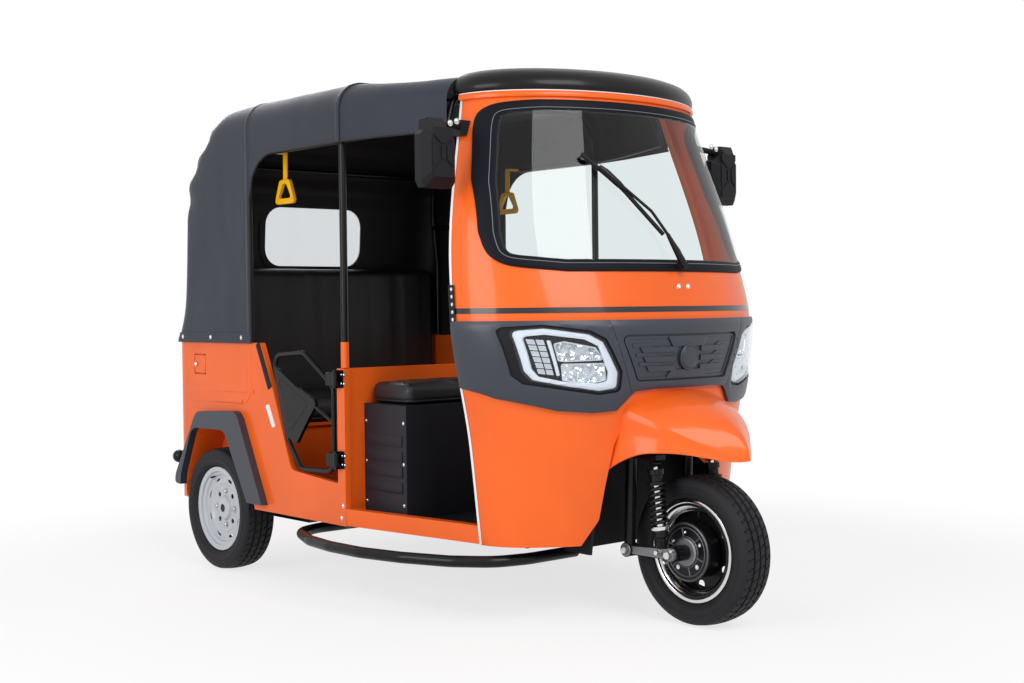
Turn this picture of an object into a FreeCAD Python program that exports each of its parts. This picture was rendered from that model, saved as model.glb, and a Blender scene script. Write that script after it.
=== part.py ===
"""A three-wheeled auto rickshaw: steel cowl, open cab, fabric canopy, leading-link front fork."""
import FreeCAD
import Part
import Sketcher
import math
import os

from FreeCAD import Vector

doc = FreeCAD.newDocument("AutoRickshaw")
sheet = doc.addObject("Spreadsheet::Sheet", "dims")

# Every driving size of the vehicle, in millimetres, degrees or a count.
# The front is towards -Y, the driver's left is +X, and Z = 0 is the ground.
SIZES = [
    ("wheelbase", 2020, "front axle to rear axle"),
    ("front_reach", 1098, "origin to front axle"),
    ("rear_track", 1194, "between the rear wheels' middle planes"),
    ("tyre_diameter", 494, "outside of the tyre"),
    ("tyre_width", 136, "section width of the tyre"),
    ("bead_diameter", 305, "seat of the tyre's bead on the rim"),
    ("flange_height", 17, "rim flange above the bead seat"),
    ("rim_width", 103, "over both rim flanges"),
    ("rim_sheet", 4, "sheet of the rim"),
    ("hub_radius", 34, "wheel hub"),
    ("hub_width", 64, "wheel hub along the axle"),
    ("axle_radius", 9, "front axle"),
    ("stub_radius", 16, "rear stub shaft"),
    ("shaft_fit", 0.05, "radial clearance of a running fit"),
    ("seat_gap", 0.3, "gap between two pieces that seat on each other"),
    ("moving_gap", 6, "gap between a moving piece and its surround"),
    ("drum_radius", 92, "brake drum"),
    ("drum_width", 48, "brake drum along the axle"),
    ("drum_inset", 14, "brake drum inboard of the wheel's disc"),
    ("well_depth", 14, "rim well below the bead seat"),
    ("disc_offset", 18, "rear wheel disc outboard of the wheel's middle"),
    ("cap_inset", 8, "rear hub cap inboard of the rim's edge"),
    ("cap_thickness", 7, "rear hub cap"),
    ("wheel_slots", 6, "openings in a wheel disc"),
    ("slot_width", 28, "opening in a wheel disc"),
    ("rake", 20, "steering axis from upright"),
    ("axis_ground_reach", 1140, "origin to where the steering axis meets the ground"),
    ("column_radius", 16, "steering column"),
    ("head_wall", 8, "wall of the head tube"),
    ("head_low", 705, "bottom of the head tube"),
    ("head_high", 860, "top of the head tube"),
    ("crown_height", 612, "middle of the fork crown"),
    ("fork_half_width", 140, "fork leg from the middle"),
    ("leg_radius", 19, "fork leg"),
    ("link_reach", 194, "link pivot to front axle"),
    ("link_thickness", 12, "leading link"),
    ("shock_radius", 27, "spring of the front shock absorber"),
    ("bar_half_width", 330, "handlebar from the middle"),
    ("bar_height", 1018, "handlebar grips"),
    ("bar_radius", 11, "handlebar tube"),
    ("grip_radius", 17, "handlebar grip"),
    ("cowl_wall", 14, "cowl panel with its inner stiffener"),
    ("pillar_width", 42, "return flange of the cowl at the door"),
    ("pillar_depth", 30, "return flange front to back"),
    ("cowl_foot", 272, "bottom of the cowl"),
    ("cowl_head", 1772, "top lip of the cowl"),
    ("lip_proud", 13, "top lip ahead of the cowl"),
    ("lip_height", 22, "top lip"),
    ("arch_half_width", 280, "wheel opening in the cowl"),
    ("arch_head", 700, "top of the wheel opening"),
    ("glass_thickness", 6, "windscreen"),
    ("gasket_width", 37, "windscreen rubber as seen"),
    ("gasket_proud", 7, "windscreen rubber above the cowl"),
    ("fascia_proud", 15, "front fascia above the cowl"),
    ("lamp_depth", 70, "headlamp behind the cowl's face"),
    ("lamp_proud", 20, "headlamp lens above the cowl's face"),
    ("grille_proud", 9, "grille panel above the cowl's face"),
    ("rib_proud", 7, "grille ribs above their panel"),
    ("emblem_radius", 40, "round boss in the grille"),
    ("fender_sheet", 6, "front fender"),
    ("liner_half_width", 300, "wheelhouse liner from the middle"),
    ("wheel_clearance", 96, "front tyre to the back of the wheelhouse liner"),
    ("liner_foot", 236, "bottom of the wheelhouse liner"),
    ("liner_head", 676, "top of the wheelhouse liner"),
    ("liner_sheet", 8, "wheelhouse liner"),
    ("dash_height", 1150, "top of the shelf under the windscreen"),
    ("dash_reach", 850, "origin to the driver's edge of the shelf"),
    ("floor_top", 312, "top of the floor"),
    ("floor_sheet", 8, "floor"),
    ("rail_half_spacing", 200, "inside of a chassis rail from the middle"),
    ("rail_width", 40, "chassis rail"),
    ("rail_height", 40, "chassis rail"),
    ("driver_seat_width", 1120, "driver's seat box across"),
    ("driver_seat_depth", 250, "driver's seat box front to back"),
    ("driver_base_height", 400, "driver's seat box above the floor"),
    ("driver_cushion", 82, "driver's cushion"),
    ("well_top", 586, "underside of the passengers' seat board"),
    ("seat_board", 14, "passengers' seat board"),
    ("seat_back_rear", 1240, "rear of the passengers' backrest"),
    ("seat_depth", 500, "passengers' cushion front to back"),
    ("seat_cushion", 110, "passengers' cushion"),
    ("seat_back_top", 1235, "top of the passengers' backrest"),
    ("engine_front", 690, "front of the engine"),
    ("engine_length", 380, "engine front to back"),
    ("engine_low", 190, "bottom of the engine"),
    ("engine_height", 340, "engine"),
    ("arm_width", 40, "trailing arm across"),
    ("arm_height", 46, "trailing arm"),
    ("arm_pivot_y", 515, "pivot of the trailing arms"),
    ("muffler_radius", 52, "exhaust silencer"),
    ("muffler_length", 340, "exhaust silencer"),
    ("muffler_y", 1132, "middle of the exhaust silencer"),
    ("bumper_half_width", 612, "rear bumper from the middle to an end ball"),
    ("tail_lamp_x", 540, "tail lamp from the middle"),
    ("tail_lamp_width", 84, "tail lamp"),
    ("tail_lamp_depth", 26, "tail lamp behind the body"),
    ("tail_lamp_low", 610, "bottom of the tail lamp"),
    ("tail_lamp_height", 190, "tail lamp"),
    ("plate_width", 240, "number plate board"),
    ("plate_low", 300, "bottom of the number plate board"),
    ("plate_height", 104, "number plate board"),
    ("plate_thickness", 4, "number plate board"),
    ("member_width", 40, "cross-member front to back"),
    ("rear_member_y", 1200, "front face of the rear cross-member"),
    ("tow_plate", 8, "plate of the tow eye"),
    ("seat_front", 575, "front of the passengers' seat box"),
    ("partition_rear", 48, "rear face of the partition behind the driver"),
    ("partition_wall", 26, "partition"),
    ("partition_height", 840, "top of the partition"),
    ("tub_half_width", 650, "rear body sides"),
    ("tub_front", 15, "front edge of the rear body"),
    ("tub_rear", 1268, "rear panel"),
    ("tub_wall", 22, "rear body wall"),
    ("tub_foot", 272, "bottom of the rear body"),
    ("belt_height", 925, "top of the rear body"),
    ("tub_corner", 80, "rear corner of the body"),
    ("well_inner", 500, "inside of the wheel well from the middle"),
    ("well_wall", 10, "wheel well sheet"),
    ("lid_half_width", 420, "rear lid from the middle"),
    ("lid_low", 480, "bottom of the rear lid"),
    ("lid_high", 870, "top of the rear lid"),
    ("flap_front", 1016, "front edge of the fuel flap"),
    ("flap_low", 797, "bottom of the fuel flap"),
    ("flap_length", 81, "fuel flap front to back"),
    ("flap_height", 72, "fuel flap"),
    ("flap_sheet", 4, "fuel flap"),
    ("flare_proud", 30, "wheel arch flare beside the body"),
    ("flare_band", 52, "width of the flare's face"),
    ("sill_height", 60, "door sill of the cab"),
    ("sill_width", 36, "door sill of the cab"),
    ("post_radius", 13.5, "side post"),
    ("post_top", 1646, "top of the side post"),
    ("rail_tube", 11, "tubes of the canopy frame"),
    ("canopy_wall", 9, "canopy fabric with its lining"),
        ("canopy_hem", 927, "hem of the canopy on the rear body"),
    ("roof_height", 1866, "top of the canopy"),
    ("side_head", 1652, "canopy edge over the doorway"),
    ("canopy_front", 462, "origin to the front edge of the canopy"),
    ("window_half_width", 260, "rear window"),
    ("window_low", 1240, "bottom of the rear window"),
    ("window_high", 1510, "top of the rear window"),
    ("door_gap", 16, "door frame inside the doorway"),
    ("door_tube", 9, "tube of the door frame"),
    ("pin_radius", 5, "hinge pin"),
    ("knuckle_wall", 5, "wall of a hinge knuckle"),
    ("step_radius", 19.5, "step bar tube"),
    ("step_height", 222, "middle of the step bar"),
    ("bumper_radius", 19, "rear bumper tube"),
    ("ball_radius", 28, "end ball of the rear bumper"),
    ("bumper_height", 430, "middle of the rear bumper"),
    ("bumper_reach", 1317, "origin to the middle of the rear bumper"),
    ("mirror_width", 140, "mirror housing"),
    ("mirror_height", 225, "mirror housing"),
    ("mirror_depth", 58, "mirror housing"),
    ("plate_spacing", 150, "between the holes of the number plate"),
    ("plate_hole", 3.5, "radius of a number plate hole"),
    ("tow_hole", 9, "radius of the tow eye's hole"),
]


class Size:
    """A size of the sheet, or one worked out from it: its number and its formula."""

    def __init__(self, number, formula):
        self.number = float(number)
        self.formula = formula

    def __float__(self):
        return self.number

    def __neg__(self):
        return Size(-self.number, f"(0 - {self.formula})")

    def __add__(self, other):
        other = sized(other)
        return Size(self.number + other.number, f"({self.formula} + {other.formula})")

    def __sub__(self, other):
        other = sized(other)
        return Size(self.number - other.number, f"({self.formula} - {other.formula})")

    def __mul__(self, other):
        other = sized(other)
        return Size(self.number * other.number, f"({self.formula} * {other.formula})")

    def __truediv__(self, other):
        other = sized(other)
        return Size(self.number / other.number, f"({self.formula} / {other.formula})")

    def __radd__(self, other):
        return sized(other) + self

    def __rsub__(self, other):
        return sized(other) - self

    def __rmul__(self, other):
        return sized(other) * self


def sized(value):
    """A plain number as a Size, so that both can stand in one formula."""
    if isinstance(value, Size):
        return value
    return Size(value, repr(float(value)) if value >= 0 else f"(0 - {-float(value)!r})")


class Sizes:
    """The sheet's sizes by name."""


size = Sizes()
for row, (alias, number, meaning) in enumerate(SIZES, start=1):
    sheet.set(f"A{row}", meaning)
    sheet.set(f"B{row}", str(number))
    sheet.setAlias(f"B{row}", alias)
doc.recompute()
for alias, number, meaning in SIZES:
    setattr(size, alias, Size(float(getattr(sheet, alias)), f"dims.{alias}"))

nodes = []


def node(thing, label):
    """Keep an object as one of the vehicle's named pieces."""
    thing.Label = label
    nodes.append(thing)
    return thing


def bind(thing, prop, value):
    """Set a property from a size, through its formula where it has one."""
    value = sized(value)
    thing.setExpression(prop, value.formula)


def place(thing, corner):
    """Bind an object's place to three sizes."""
    for axis, value in zip("xyz", corner):
        bind(thing, f"Placement.Base.{axis}", value)


def box(name, corner, lengths):
    """A box from its lowest corner and its three lengths."""
    thing = doc.addObject("Part::Box", name)
    for prop, value in zip(("Length", "Width", "Height"), lengths):
        bind(thing, prop, value)
    place(thing, corner)
    return thing


ALONG = {
    "x": FreeCAD.Rotation(Vector(0, 1, 0), 90),
    "y": FreeCAD.Rotation(Vector(1, 0, 0), -90),
    "z": FreeCAD.Rotation(),
}


def rod(name, start, along, radius, length):
    """A round rod from the middle of its first end."""
    thing = doc.addObject("Part::Cylinder", name)
    thing.Placement = FreeCAD.Placement(Vector(), ALONG[along])
    bind(thing, "Radius", radius)
    bind(thing, "Height", length)
    place(thing, start)
    return thing


def ball(name, middle, radius):
    """A sphere."""
    thing = doc.addObject("Part::Sphere", name)
    bind(thing, "Radius", radius)
    place(thing, middle)
    return thing


def fuse(name, pieces):
    """Several shapes joined into one."""
    thing = doc.addObject("Part::MultiFuse", name)
    thing.Shapes = pieces
    thing.Refine = True
    return thing


def cut(name, base, tool):
    """One shape less another."""
    thing = doc.addObject("Part::Cut", name)
    thing.Base = base
    thing.Tool = tool
    return thing


def feature(name, shape):
    """A shape that is worked out directly from the sizes."""
    thing = doc.addObject("Part::Feature", name)
    thing.Shape = shape
    return thing


def point(x, y, z):
    """A point from three sizes or numbers."""
    return Vector(float(x), float(y), float(z))


# Sketches on the planes of a body

PLANE = {"xy": "XY_Plane", "xz": "XZ_Plane", "yz": "YZ_Plane"}


def body(name):
    """An empty body."""
    return doc.addObject("PartDesign::Body", name)


def sketch(owner, name, plane, offset=0):
    """A sketch on one of a body's own planes, moved along the plane's normal."""
    drawing = owner.newObject("Sketcher::SketchObject", name)
    for origin_plane in owner.Origin.OriginFeatures:
        if origin_plane.Role == PLANE[plane]:
            drawing.AttachmentSupport = [(origin_plane, "")]
    drawing.MapMode = "FlatFace"
    bind(drawing, "AttachmentOffset.Base.z", offset)
    return drawing


def polygon(drawing, corners):
    """A closed outline whose corners are each held by two bound dimensions."""
    first = drawing.GeometryCount
    count = len(corners)
    for index in range(count):
        here = corners[index]
        there = corners[(index + 1) % count]
        line = Part.LineSegment(point(here[0], here[1], 0), point(there[0], there[1], 0))
        drawing.addGeometry(line, False)
    for index in range(count):
        edge = first + index
        following = first + (index + 1) % count
        drawing.addConstraint(Sketcher.Constraint("Coincident", edge, 2, following, 1))
    for index, corner in enumerate(corners):
        for kind, value in zip(("DistanceX", "DistanceY"), corner):
            number = drawing.addConstraint(
                Sketcher.Constraint(kind, first + index, 1, float(value)))
            bind(drawing, f"Constraints[{number}]", value)


def circle(drawing, middle, radius):
    """A circle held by its middle and its radius."""
    edge = drawing.addGeometry(
        Part.Circle(point(middle[0], middle[1], 0), Vector(0, 0, 1), float(radius)), False)
    for kind, value in zip(("DistanceX", "DistanceY"), middle):
        number = drawing.addConstraint(Sketcher.Constraint(kind, edge, 3, float(value)))
        bind(drawing, f"Constraints[{number}]", value)
    number = drawing.addConstraint(Sketcher.Constraint("Radius", edge, float(radius)))
    bind(drawing, f"Constraints[{number}]", radius)


def pad(owner, name, drawing, length, reversed_side=False, symmetric=False):
    """Material raised from a sketch."""
    thing = owner.newObject("PartDesign::Pad", name)
    thing.Profile = drawing
    bind(thing, "Length", length)
    thing.Reversed = reversed_side
    thing.Midplane = symmetric
    drawing.Visibility = False
    return thing


def pocket_through(owner, name, drawing):
    """A sketch cut all the way through on both sides of its plane."""
    thing = owner.newObject("PartDesign::Pocket", name)
    thing.Profile = drawing
    thing.Type = 1
    thing.Midplane = True
    return thing


def revolution(owner, name, drawing):
    """A sketch turned about its own horizontal axis."""
    thing = owner.newObject("PartDesign::Revolution", name)
    thing.Profile = drawing
    thing.ReferenceAxis = (drawing, ["H_Axis"])
    thing.Angle = 360
    return thing


# Outlines and solids worked out from the sizes

def rounded(corners, radius):
    """A closed wire through corners, each rounded as far as its two sides allow."""
    count = len(corners)
    radii = [radius] * count if not isinstance(radius, (list, tuple)) else radius
    edges = []
    ends = []
    for index, corner in enumerate(corners):
        before = corners[index - 1] - corner
        after = corners[(index + 1) % count] - corner
        angle = before.getAngle(after)
        turn = math.pi - angle
        reach = float(radii[index]) * math.tan(turn / 2)
        reach = min(reach, 0.49 * before.Length, 0.49 * after.Length)
        if reach < 0.01 or turn < 0.01:
            ends.append((corner, corner, None))
            continue
        before.normalize()
        after.normalize()
        fillet_radius = reach / math.tan(turn / 2)
        middle_line = (before + after).normalize()
        centre = corner + middle_line * (fillet_radius / math.sin(angle / 2))
        middle = centre - middle_line * fillet_radius
        ends.append((corner + before * reach, corner + after * reach, middle))
    for index, (start, finish, middle) in enumerate(ends):
        if middle is not None:
            edges.append(Part.Arc(start, middle, finish).toShape())
        following = ends[(index + 1) % count][0]
        if (following - finish).Length > 0.001:
            edges.append(Part.LineSegment(finish, following).toShape())
    return Part.Wire(edges)


def bent_path(corners, radius):
    """An open wire of straight runs joined by tangent arcs."""
    pieces = []
    start = corners[0]
    for index in range(1, len(corners) - 1):
        corner = corners[index]
        before = corners[index - 1] - corner
        after = corners[index + 1] - corner
        turn = math.pi - before.getAngle(after)
        share_before = 0.95 if index == 1 else 0.45
        share_after = 0.95 if index == len(corners) - 2 else 0.45
        reach = min(float(radius) * math.tan(turn / 2), share_before * before.Length,
                    share_after * after.Length)
        angle = before.getAngle(after)
        before.normalize()
        after.normalize()
        arc_radius = reach / math.tan(turn / 2)
        middle_line = (before + after).normalize()
        centre = corner + middle_line * (arc_radius / math.sin(angle / 2))
        pieces.append(Part.LineSegment(start, corner + before * reach).toShape())
        pieces.append(Part.Arc(corner + before * reach, centre - middle_line * arc_radius,
                               corner + after * reach).toShape())
        start = corner + after * reach
    pieces.append(Part.LineSegment(start, corners[-1]).toShape())
    return Part.Wire(pieces)


def tube(corners, radius, bend):
    """A round bar along straight runs and tangent arcs."""
    path = bent_path(corners, bend)
    direction = corners[1] - corners[0]
    ring = Part.Wire([Part.makeCircle(float(radius), corners[0], direction)])
    return path.makePipeShell([ring], True, False)


def prism(wire, direction):
    """A flat closed wire pushed along a direction."""
    return Part.Face(wire).extrude(direction)


def front_prism(outline, radius, start=-1500, depth=1500):
    """An outline in x and z pushed along the vehicle's length."""
    corners = [point(x, start, z) for x, z in outline]
    return prism(rounded(corners, radius), Vector(0, depth, 0))


def side_prism(outline, radius, left, right):
    """An outline in y and z pushed across the vehicle."""
    corners = [point(left, y, z) for y, z in outline]
    return prism(rounded(corners, radius), point(float(right) - float(left), 0, 0))


def plan_prism(outline, radius, low, high):
    """An outline in x and y pushed upwards."""
    corners = [point(x, y, low) for x, y in outline]
    return prism(rounded(corners, radius), point(0, 0, float(high) - float(low)))


def mirrored(shape):
    """The same shape on the vehicle's other side."""
    return shape.mirror(Vector(), Vector(1, 0, 0))


def both_sides(outline):
    """An outline from its right-hand half, listed from the middle outwards and round."""
    left = [(-float(x), z) for x, z in reversed(outline)]
    return [(float(x), z) for x, z in outline] + left


# The cowl's plan at each height is half an ellipse: half width, door edge, depth ahead of it
COWL_STATIONS = [
    (270, 561, -630, 315),
    (600, 600, -630, 361),
    (1000, 660, -620, 424),
    (1190, 648, -595, 402),
    (1720, 518, -499, 349),
    (1880, 470, -468, 330),
]


def station_slope(index, column):
    """The slope of one column of the stations, level where it turns over."""
    def rise(k):
        low = COWL_STATIONS[k]
        high = COWL_STATIONS[k + 1]
        return (high[column] - low[column]) / (high[0] - low[0])
    if index == 0:
        return rise(0)
    if index == len(COWL_STATIONS) - 1:
        return rise(index - 1)
    before = rise(index - 1)
    after = rise(index)
    if before * after <= 0:
        return 0.0
    return 2 * before * after / (before + after)


def cowl_plan(height):
    """Half width, door edge and depth of the cowl at a height, by a smooth curve."""
    height = float(height)
    index = 0
    while index < len(COWL_STATIONS) - 2 and height > COWL_STATIONS[index + 1][0]:
        index += 1
    low = COWL_STATIONS[index]
    high = COWL_STATIONS[index + 1]
    span = high[0] - low[0]
    t = (height - low[0]) / span
    values = []
    for column in (1, 2, 3):
        slope_low = station_slope(index, column) * span
        slope_high = station_slope(index + 1, column) * span
        values.append(
            low[column] * (2 * t ** 3 - 3 * t ** 2 + 1) + slope_low * (t ** 3 - 2 * t ** 2 + t)
            + high[column] * (3 * t ** 2 - 2 * t ** 3) + slope_high * (t ** 3 - t ** 2))
    return values


def cowl_front(height, x=0, offset=0):
    """Where the cowl's face is, at a height and a distance from the middle."""
    half, edge, depth = cowl_plan(height)
    half += float(offset)
    depth += float(offset)
    return edge - depth * math.sqrt(max(0.0, 1 - (float(x) / half) ** 2))


SECTION_STEP = 95
COWL_BACK = 1
COWL_REACH = (215, 1790)
cowl_solids = {}


def cowl_section(height, offset, back):
    """The cowl's closed outline at a height: half an ellipse with a straight back."""
    half, edge, depth = cowl_plan(height)
    half += offset
    depth += offset
    ellipse = Part.Ellipse(Vector(half, edge, height), Vector(0, edge - depth, height),
                           Vector(0, edge, height))
    right = Vector(-half, edge, height)
    left = Vector(half, edge, height)
    right_back = Vector(-half, edge + back, height)
    left_back = Vector(half, edge + back, height)
    return Part.Wire([
        Part.ArcOfEllipse(ellipse, 0, math.pi).toShape(),
        Part.LineSegment(right, right_back).toShape(),
        Part.LineSegment(right_back, left_back).toShape(),
        Part.LineSegment(left_back, left).toShape()])


def cowl_solid(offset, low, high, back=COWL_BACK):
    """The cowl as a full solid between two heights, grown by an offset and reaching back."""
    key = (round(float(offset), 3), back)
    if key not in cowl_solids:
        first, last = COWL_REACH
        count = int(math.ceil((last - first) / SECTION_STEP)) + 1
        heights = [first + (last - first) * index / (count - 1) for index in range(count)]
        cowl_solids[key] = Part.makeLoft(
            [cowl_section(height, float(offset), back) for height in heights], True, False)
    slab = Part.makeBox(3000, 3000, float(high) - float(low), Vector(-1500, -2500, float(low)))
    return cowl_solids[key].common(slab)


def cowl_slice(inner, outer, low, high):
    """A layer over the cowl between two offsets, ahead of the door edge."""
    return cowl_solid(outer, low, high).cut(cowl_solid(inner, float(low) - 1, float(high) + 1, 40))


# Places worked out from the driving sizes

RIGHT = -1
LEFT = 1
wheel_radius = size.tyre_diameter / 2
front_axle_y = -size.front_reach
rear_axle_y = size.wheelbase - size.front_reach
rear_wheel_x = size.rear_track / 2
liner_reach = size.front_reach - wheel_radius - size.wheel_clearance
rail_top = size.floor_top - size.floor_sheet - size.seat_gap
rail_bottom = rail_top - size.rail_height
rake = math.radians(float(size.rake))
steering_direction = Vector(0, math.sin(rake), math.cos(rake))


def axis_point(height):
    """Where the steering axis is at a height."""
    return point(0, -float(size.axis_ground_reach) + float(height) * math.tan(rake), height)


def axis_rod(low, high, radius):
    """A rod on the steering axis between two heights."""
    start = axis_point(low)
    length = (axis_point(high) - start).Length
    return Part.makeCylinder(float(radius), length, start, steering_direction)


# Wheels: a pressed rim with its disc and hub, and a tyre on its bead seats

def drum_hub(disc_x, outer_end, drum_start, drum_end, bore, cap_end=None):
    """Half section of a hub with its brake drum, from the disc's outer face round to its inner."""
    hub = size.hub_radius
    half_sheet = size.rim_sheet / 2
    if cap_end is None:
        outside = [(outer_end, hub), (outer_end, bore)]
    else:
        outside = [(outer_end, hub), (outer_end, sized(0)), (cap_end, sized(0)), (cap_end, bore)]
    return [(disc_x + half_sheet, hub)] + outside + [
        (drum_end, bore), (drum_end, size.drum_radius), (drum_start, size.drum_radius),
        (drum_start, hub), (disc_x - half_sheet, hub)]


def rim_profile(disc_x, hub_points):
    """Half section of a rim: along the axle, and out from it."""
    half = size.rim_width / 2
    bead = size.bead_diameter / 2
    flange = bead + size.flange_height
    thickness = size.rim_sheet
    well = bead - size.well_depth
    inside = well - thickness
    outside_face = [
        (-half, flange), (-half + thickness, flange), (-half + thickness, bead),
        (-half + 22, bead), (-half + 32, well), (half - 32, well), (half - 22, bead),
        (half - thickness, bead), (half - thickness, flange), (half, flange)]
    towards_hub = [
        (half, bead - thickness), (half - 20, bead - thickness), (half - 30, inside),
        (disc_x + thickness / 2, inside)]
    away_from_hub = [
        (disc_x - thickness / 2, inside), (-half + 30, inside),
        (-half + 20, bead - thickness), (-half, bead - thickness)]
    return outside_face + towards_hub + hub_points + away_from_hub


def rim(name, profile, middle, slot_distance, slot_radius):
    """A rim turned about its axle, with a ring of openings through its disc."""
    owner = body(name)
    section = sketch(owner, name + "_section", "xy")
    polygon(section, profile)
    revolution(owner, name + "_turned", section)
    doc.recompute()
    slot = sketch(owner, name + "_slot", "yz")
    circle(slot, (sized(0), slot_distance), slot_radius)
    opening = pocket_through(owner, name + "_opening", slot)
    pattern = owner.newObject("PartDesign::PolarPattern", name + "_openings")
    pattern.Originals = [opening]
    for axis in owner.Origin.OriginFeatures:
        if axis.Role == "X_Axis":
            pattern.Axis = (axis, [""])
    pattern.Angle = 360
    bind(pattern, "Occurrences", size.wheel_slots)
    owner.Tip = pattern
    place(owner, middle)
    return node(owner, name)


def tyre(name, middle):
    """A tyre turned about its axle."""
    owner = body(name)
    inside = size.rim_width / 2 - size.rim_sheet - size.seat_gap
    bead = size.bead_diameter / 2 + size.seat_gap
    flange = bead + size.flange_height
    half = size.tyre_width / 2
    left_half = [
        (inside, bead), (inside, flange + 3), (inside + 8, flange + 7), (half - 2, flange + 24),
        (half, flange + 38), (half - 2, wheel_radius - 22), (half - 9, wheel_radius - 9),
        (half - 22, wheel_radius - 2), (half - 45, wheel_radius)]
    right_half = [(-x, radius) for x, radius in reversed(left_half)]
    section = sketch(owner, name + "_section", "xy")
    polygon(section, left_half + right_half)
    revolution(owner, name + "_turned", section)
    place(owner, middle)
    return node(owner, name)


slot_distance = (size.drum_radius + size.bead_diameter / 2 - size.well_depth) / 2
slot_radius = size.slot_width / 2
front_middle = (sized(0), front_axle_y, wheel_radius)
front_drum_start = -size.drum_inset
front_drum_end = front_drum_start - size.drum_width
rim("front_rim",
    rim_profile(sized(0), drum_hub(
        sized(0), size.hub_width / 2, front_drum_start, front_drum_end,
        size.axle_radius + size.shaft_fit)),
    front_middle, slot_distance, slot_radius)
tyre("front_tyre", front_middle)

rear_disc_x = size.disc_offset
rear_drum_start = rear_disc_x - size.drum_inset
rear_drum_end = rear_drum_start - size.drum_width
rear_hub_end = size.rim_width / 2 - size.cap_inset
rear_profile = rim_profile(rear_disc_x, drum_hub(
    rear_disc_x, rear_hub_end, rear_drum_start, rear_drum_end,
    size.stub_radius + size.shaft_fit, rear_hub_end - size.cap_thickness))
for side, word in ((RIGHT, "right"), (LEFT, "left")):
    middle = (side * rear_wheel_x, rear_axle_y, wheel_radius)
    profile = rear_profile
    if side == RIGHT:
        profile = [(-x, radius) for x, radius in reversed(rear_profile)]
    rim(f"rear_rim_{word}", profile, middle, slot_distance, slot_radius)
    tyre(f"rear_tyre_{word}", middle)

# Steering: column, crown, legs and leading links in one; shock absorbers; handlebar

axle_y = float(front_axle_y)
axle_z = float(wheel_radius)
leg_x = float(size.fork_half_width)
pivot_y = axle_y + float(size.link_reach)
pivot_z = axle_z - 6
crown = axis_point(size.crown_height)
link_half = float(size.link_thickness) / 2
link_height = 36
shelf_low = float(size.crown_height) - 62
shelf_thickness = 16


def link_plate(x):
    """A leading link's plate from its pivot to the axle, round at both ends."""
    outline = [(pivot_y + 20, pivot_z - link_height / 2), (pivot_y + 20, pivot_z + link_height / 2),
               (axle_y - 20, axle_z + link_height / 2), (axle_y - 20, axle_z - link_height / 2)]
    return side_prism(outline, 16, x - link_half, x + link_half)


def fork_shape():
    """The steered frame of the front wheel."""
    pieces = [axis_rod(size.crown_height, size.bar_height - 40, size.column_radius)]
    crown_bar = Part.makeBox(2 * leg_x + 44, 64, 30, Vector(-leg_x - 22, -32, -15))
    crown_bar.rotate(Vector(), Vector(1, 0, 0), -float(size.rake))
    crown_bar.translate(crown)
    pieces.append(crown_bar)
    for side in (RIGHT, LEFT):
        x = side * leg_x
        pivot = Vector(x, pivot_y, pivot_z)
        top = Vector(x, crown.y, crown.z)
        pieces.append(Part.makeCylinder(
            float(size.leg_radius), (pivot - top).Length, top, pivot - top))
        pieces.append(Part.makeCylinder(24, 40, Vector(x - 20, pivot_y, pivot_z), Vector(1, 0, 0)))
        pieces.append(link_plate(x))
        pieces.append(Part.makeBox(
            44, 148, shelf_thickness, Vector(x - 22, shock_top_y - 28, shelf_low)))
        pieces.append(Part.makeCylinder(19, 26, Vector(x - 13, axle_y, axle_z), Vector(1, 0, 0)))
    pieces.append(Part.makeCylinder(
        float(size.axle_radius), 2 * leg_x, Vector(-leg_x, axle_y, axle_z), Vector(1, 0, 0)))
    plate_x = float(front_drum_end) - float(size.moving_gap)
    pieces.append(Part.makeCylinder(
        float(size.drum_radius) + 6, 8, Vector(plate_x - 8, axle_y, axle_z), Vector(1, 0, 0)))
    pieces.append(Part.makeCylinder(
        26, leg_x - link_half + plate_x - 8 + 1,
        Vector(-leg_x + link_half - 1, axle_y, axle_z), Vector(1, 0, 0)))
    return pieces[0].multiFuse(pieces[1:]).removeSplitter()


shock_top_y = -1020.0
shock_foot = (-1050.0, pivot_z + link_height / 2 + 5.2)


def shock_shape(side):
    """A spring over its damper, from the link up to the shelf on the fork."""
    foot = Vector(side * leg_x, shock_foot[0], shock_foot[1])
    head = Vector(side * leg_x, shock_top_y, shelf_low - float(size.seat_gap))
    direction = head - foot
    length = direction.Length
    spring = float(size.shock_radius)
    body_radius = spring * 0.55
    profile = [(0, 4), (body_radius, 4), (body_radius, 34), (spring, 36), (spring, 46)]
    coils = 8
    first = 46
    last = length - 34
    pitch = (last - first) / coils
    for coil in range(coils):
        start = first + coil * pitch
        profile += [(spring * 0.72, start + 0.04 * pitch), (spring * 0.72, start + 0.4 * pitch),
                    (spring, start + 0.55 * pitch), (spring, start + 0.9 * pitch)]
    profile += [(spring, last + 8), (body_radius, last + 12), (body_radius, length - 5),
                (0, length - 5)]
    wire = Part.makePolygon([Vector(radius, 0, height) for radius, height in profile]
                            + [Vector(profile[0][0], 0, profile[0][1])])
    shape = Part.Face(wire).revolve(Vector(), Vector(0, 0, 1), 360)
    turn = FreeCAD.Rotation(Vector(0, 0, 1), direction)
    shape.Placement = FreeCAD.Placement(foot, turn)
    foot_eye = Part.makeCylinder(13, 30, foot + Vector(-15, 0, 13), Vector(1, 0, 0))
    head_eye = Part.makeCylinder(13, 30, head + Vector(-15, -1, -13), Vector(1, 0, 0))
    return shape.fuse([foot_eye, head_eye]).removeSplitter()


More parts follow.
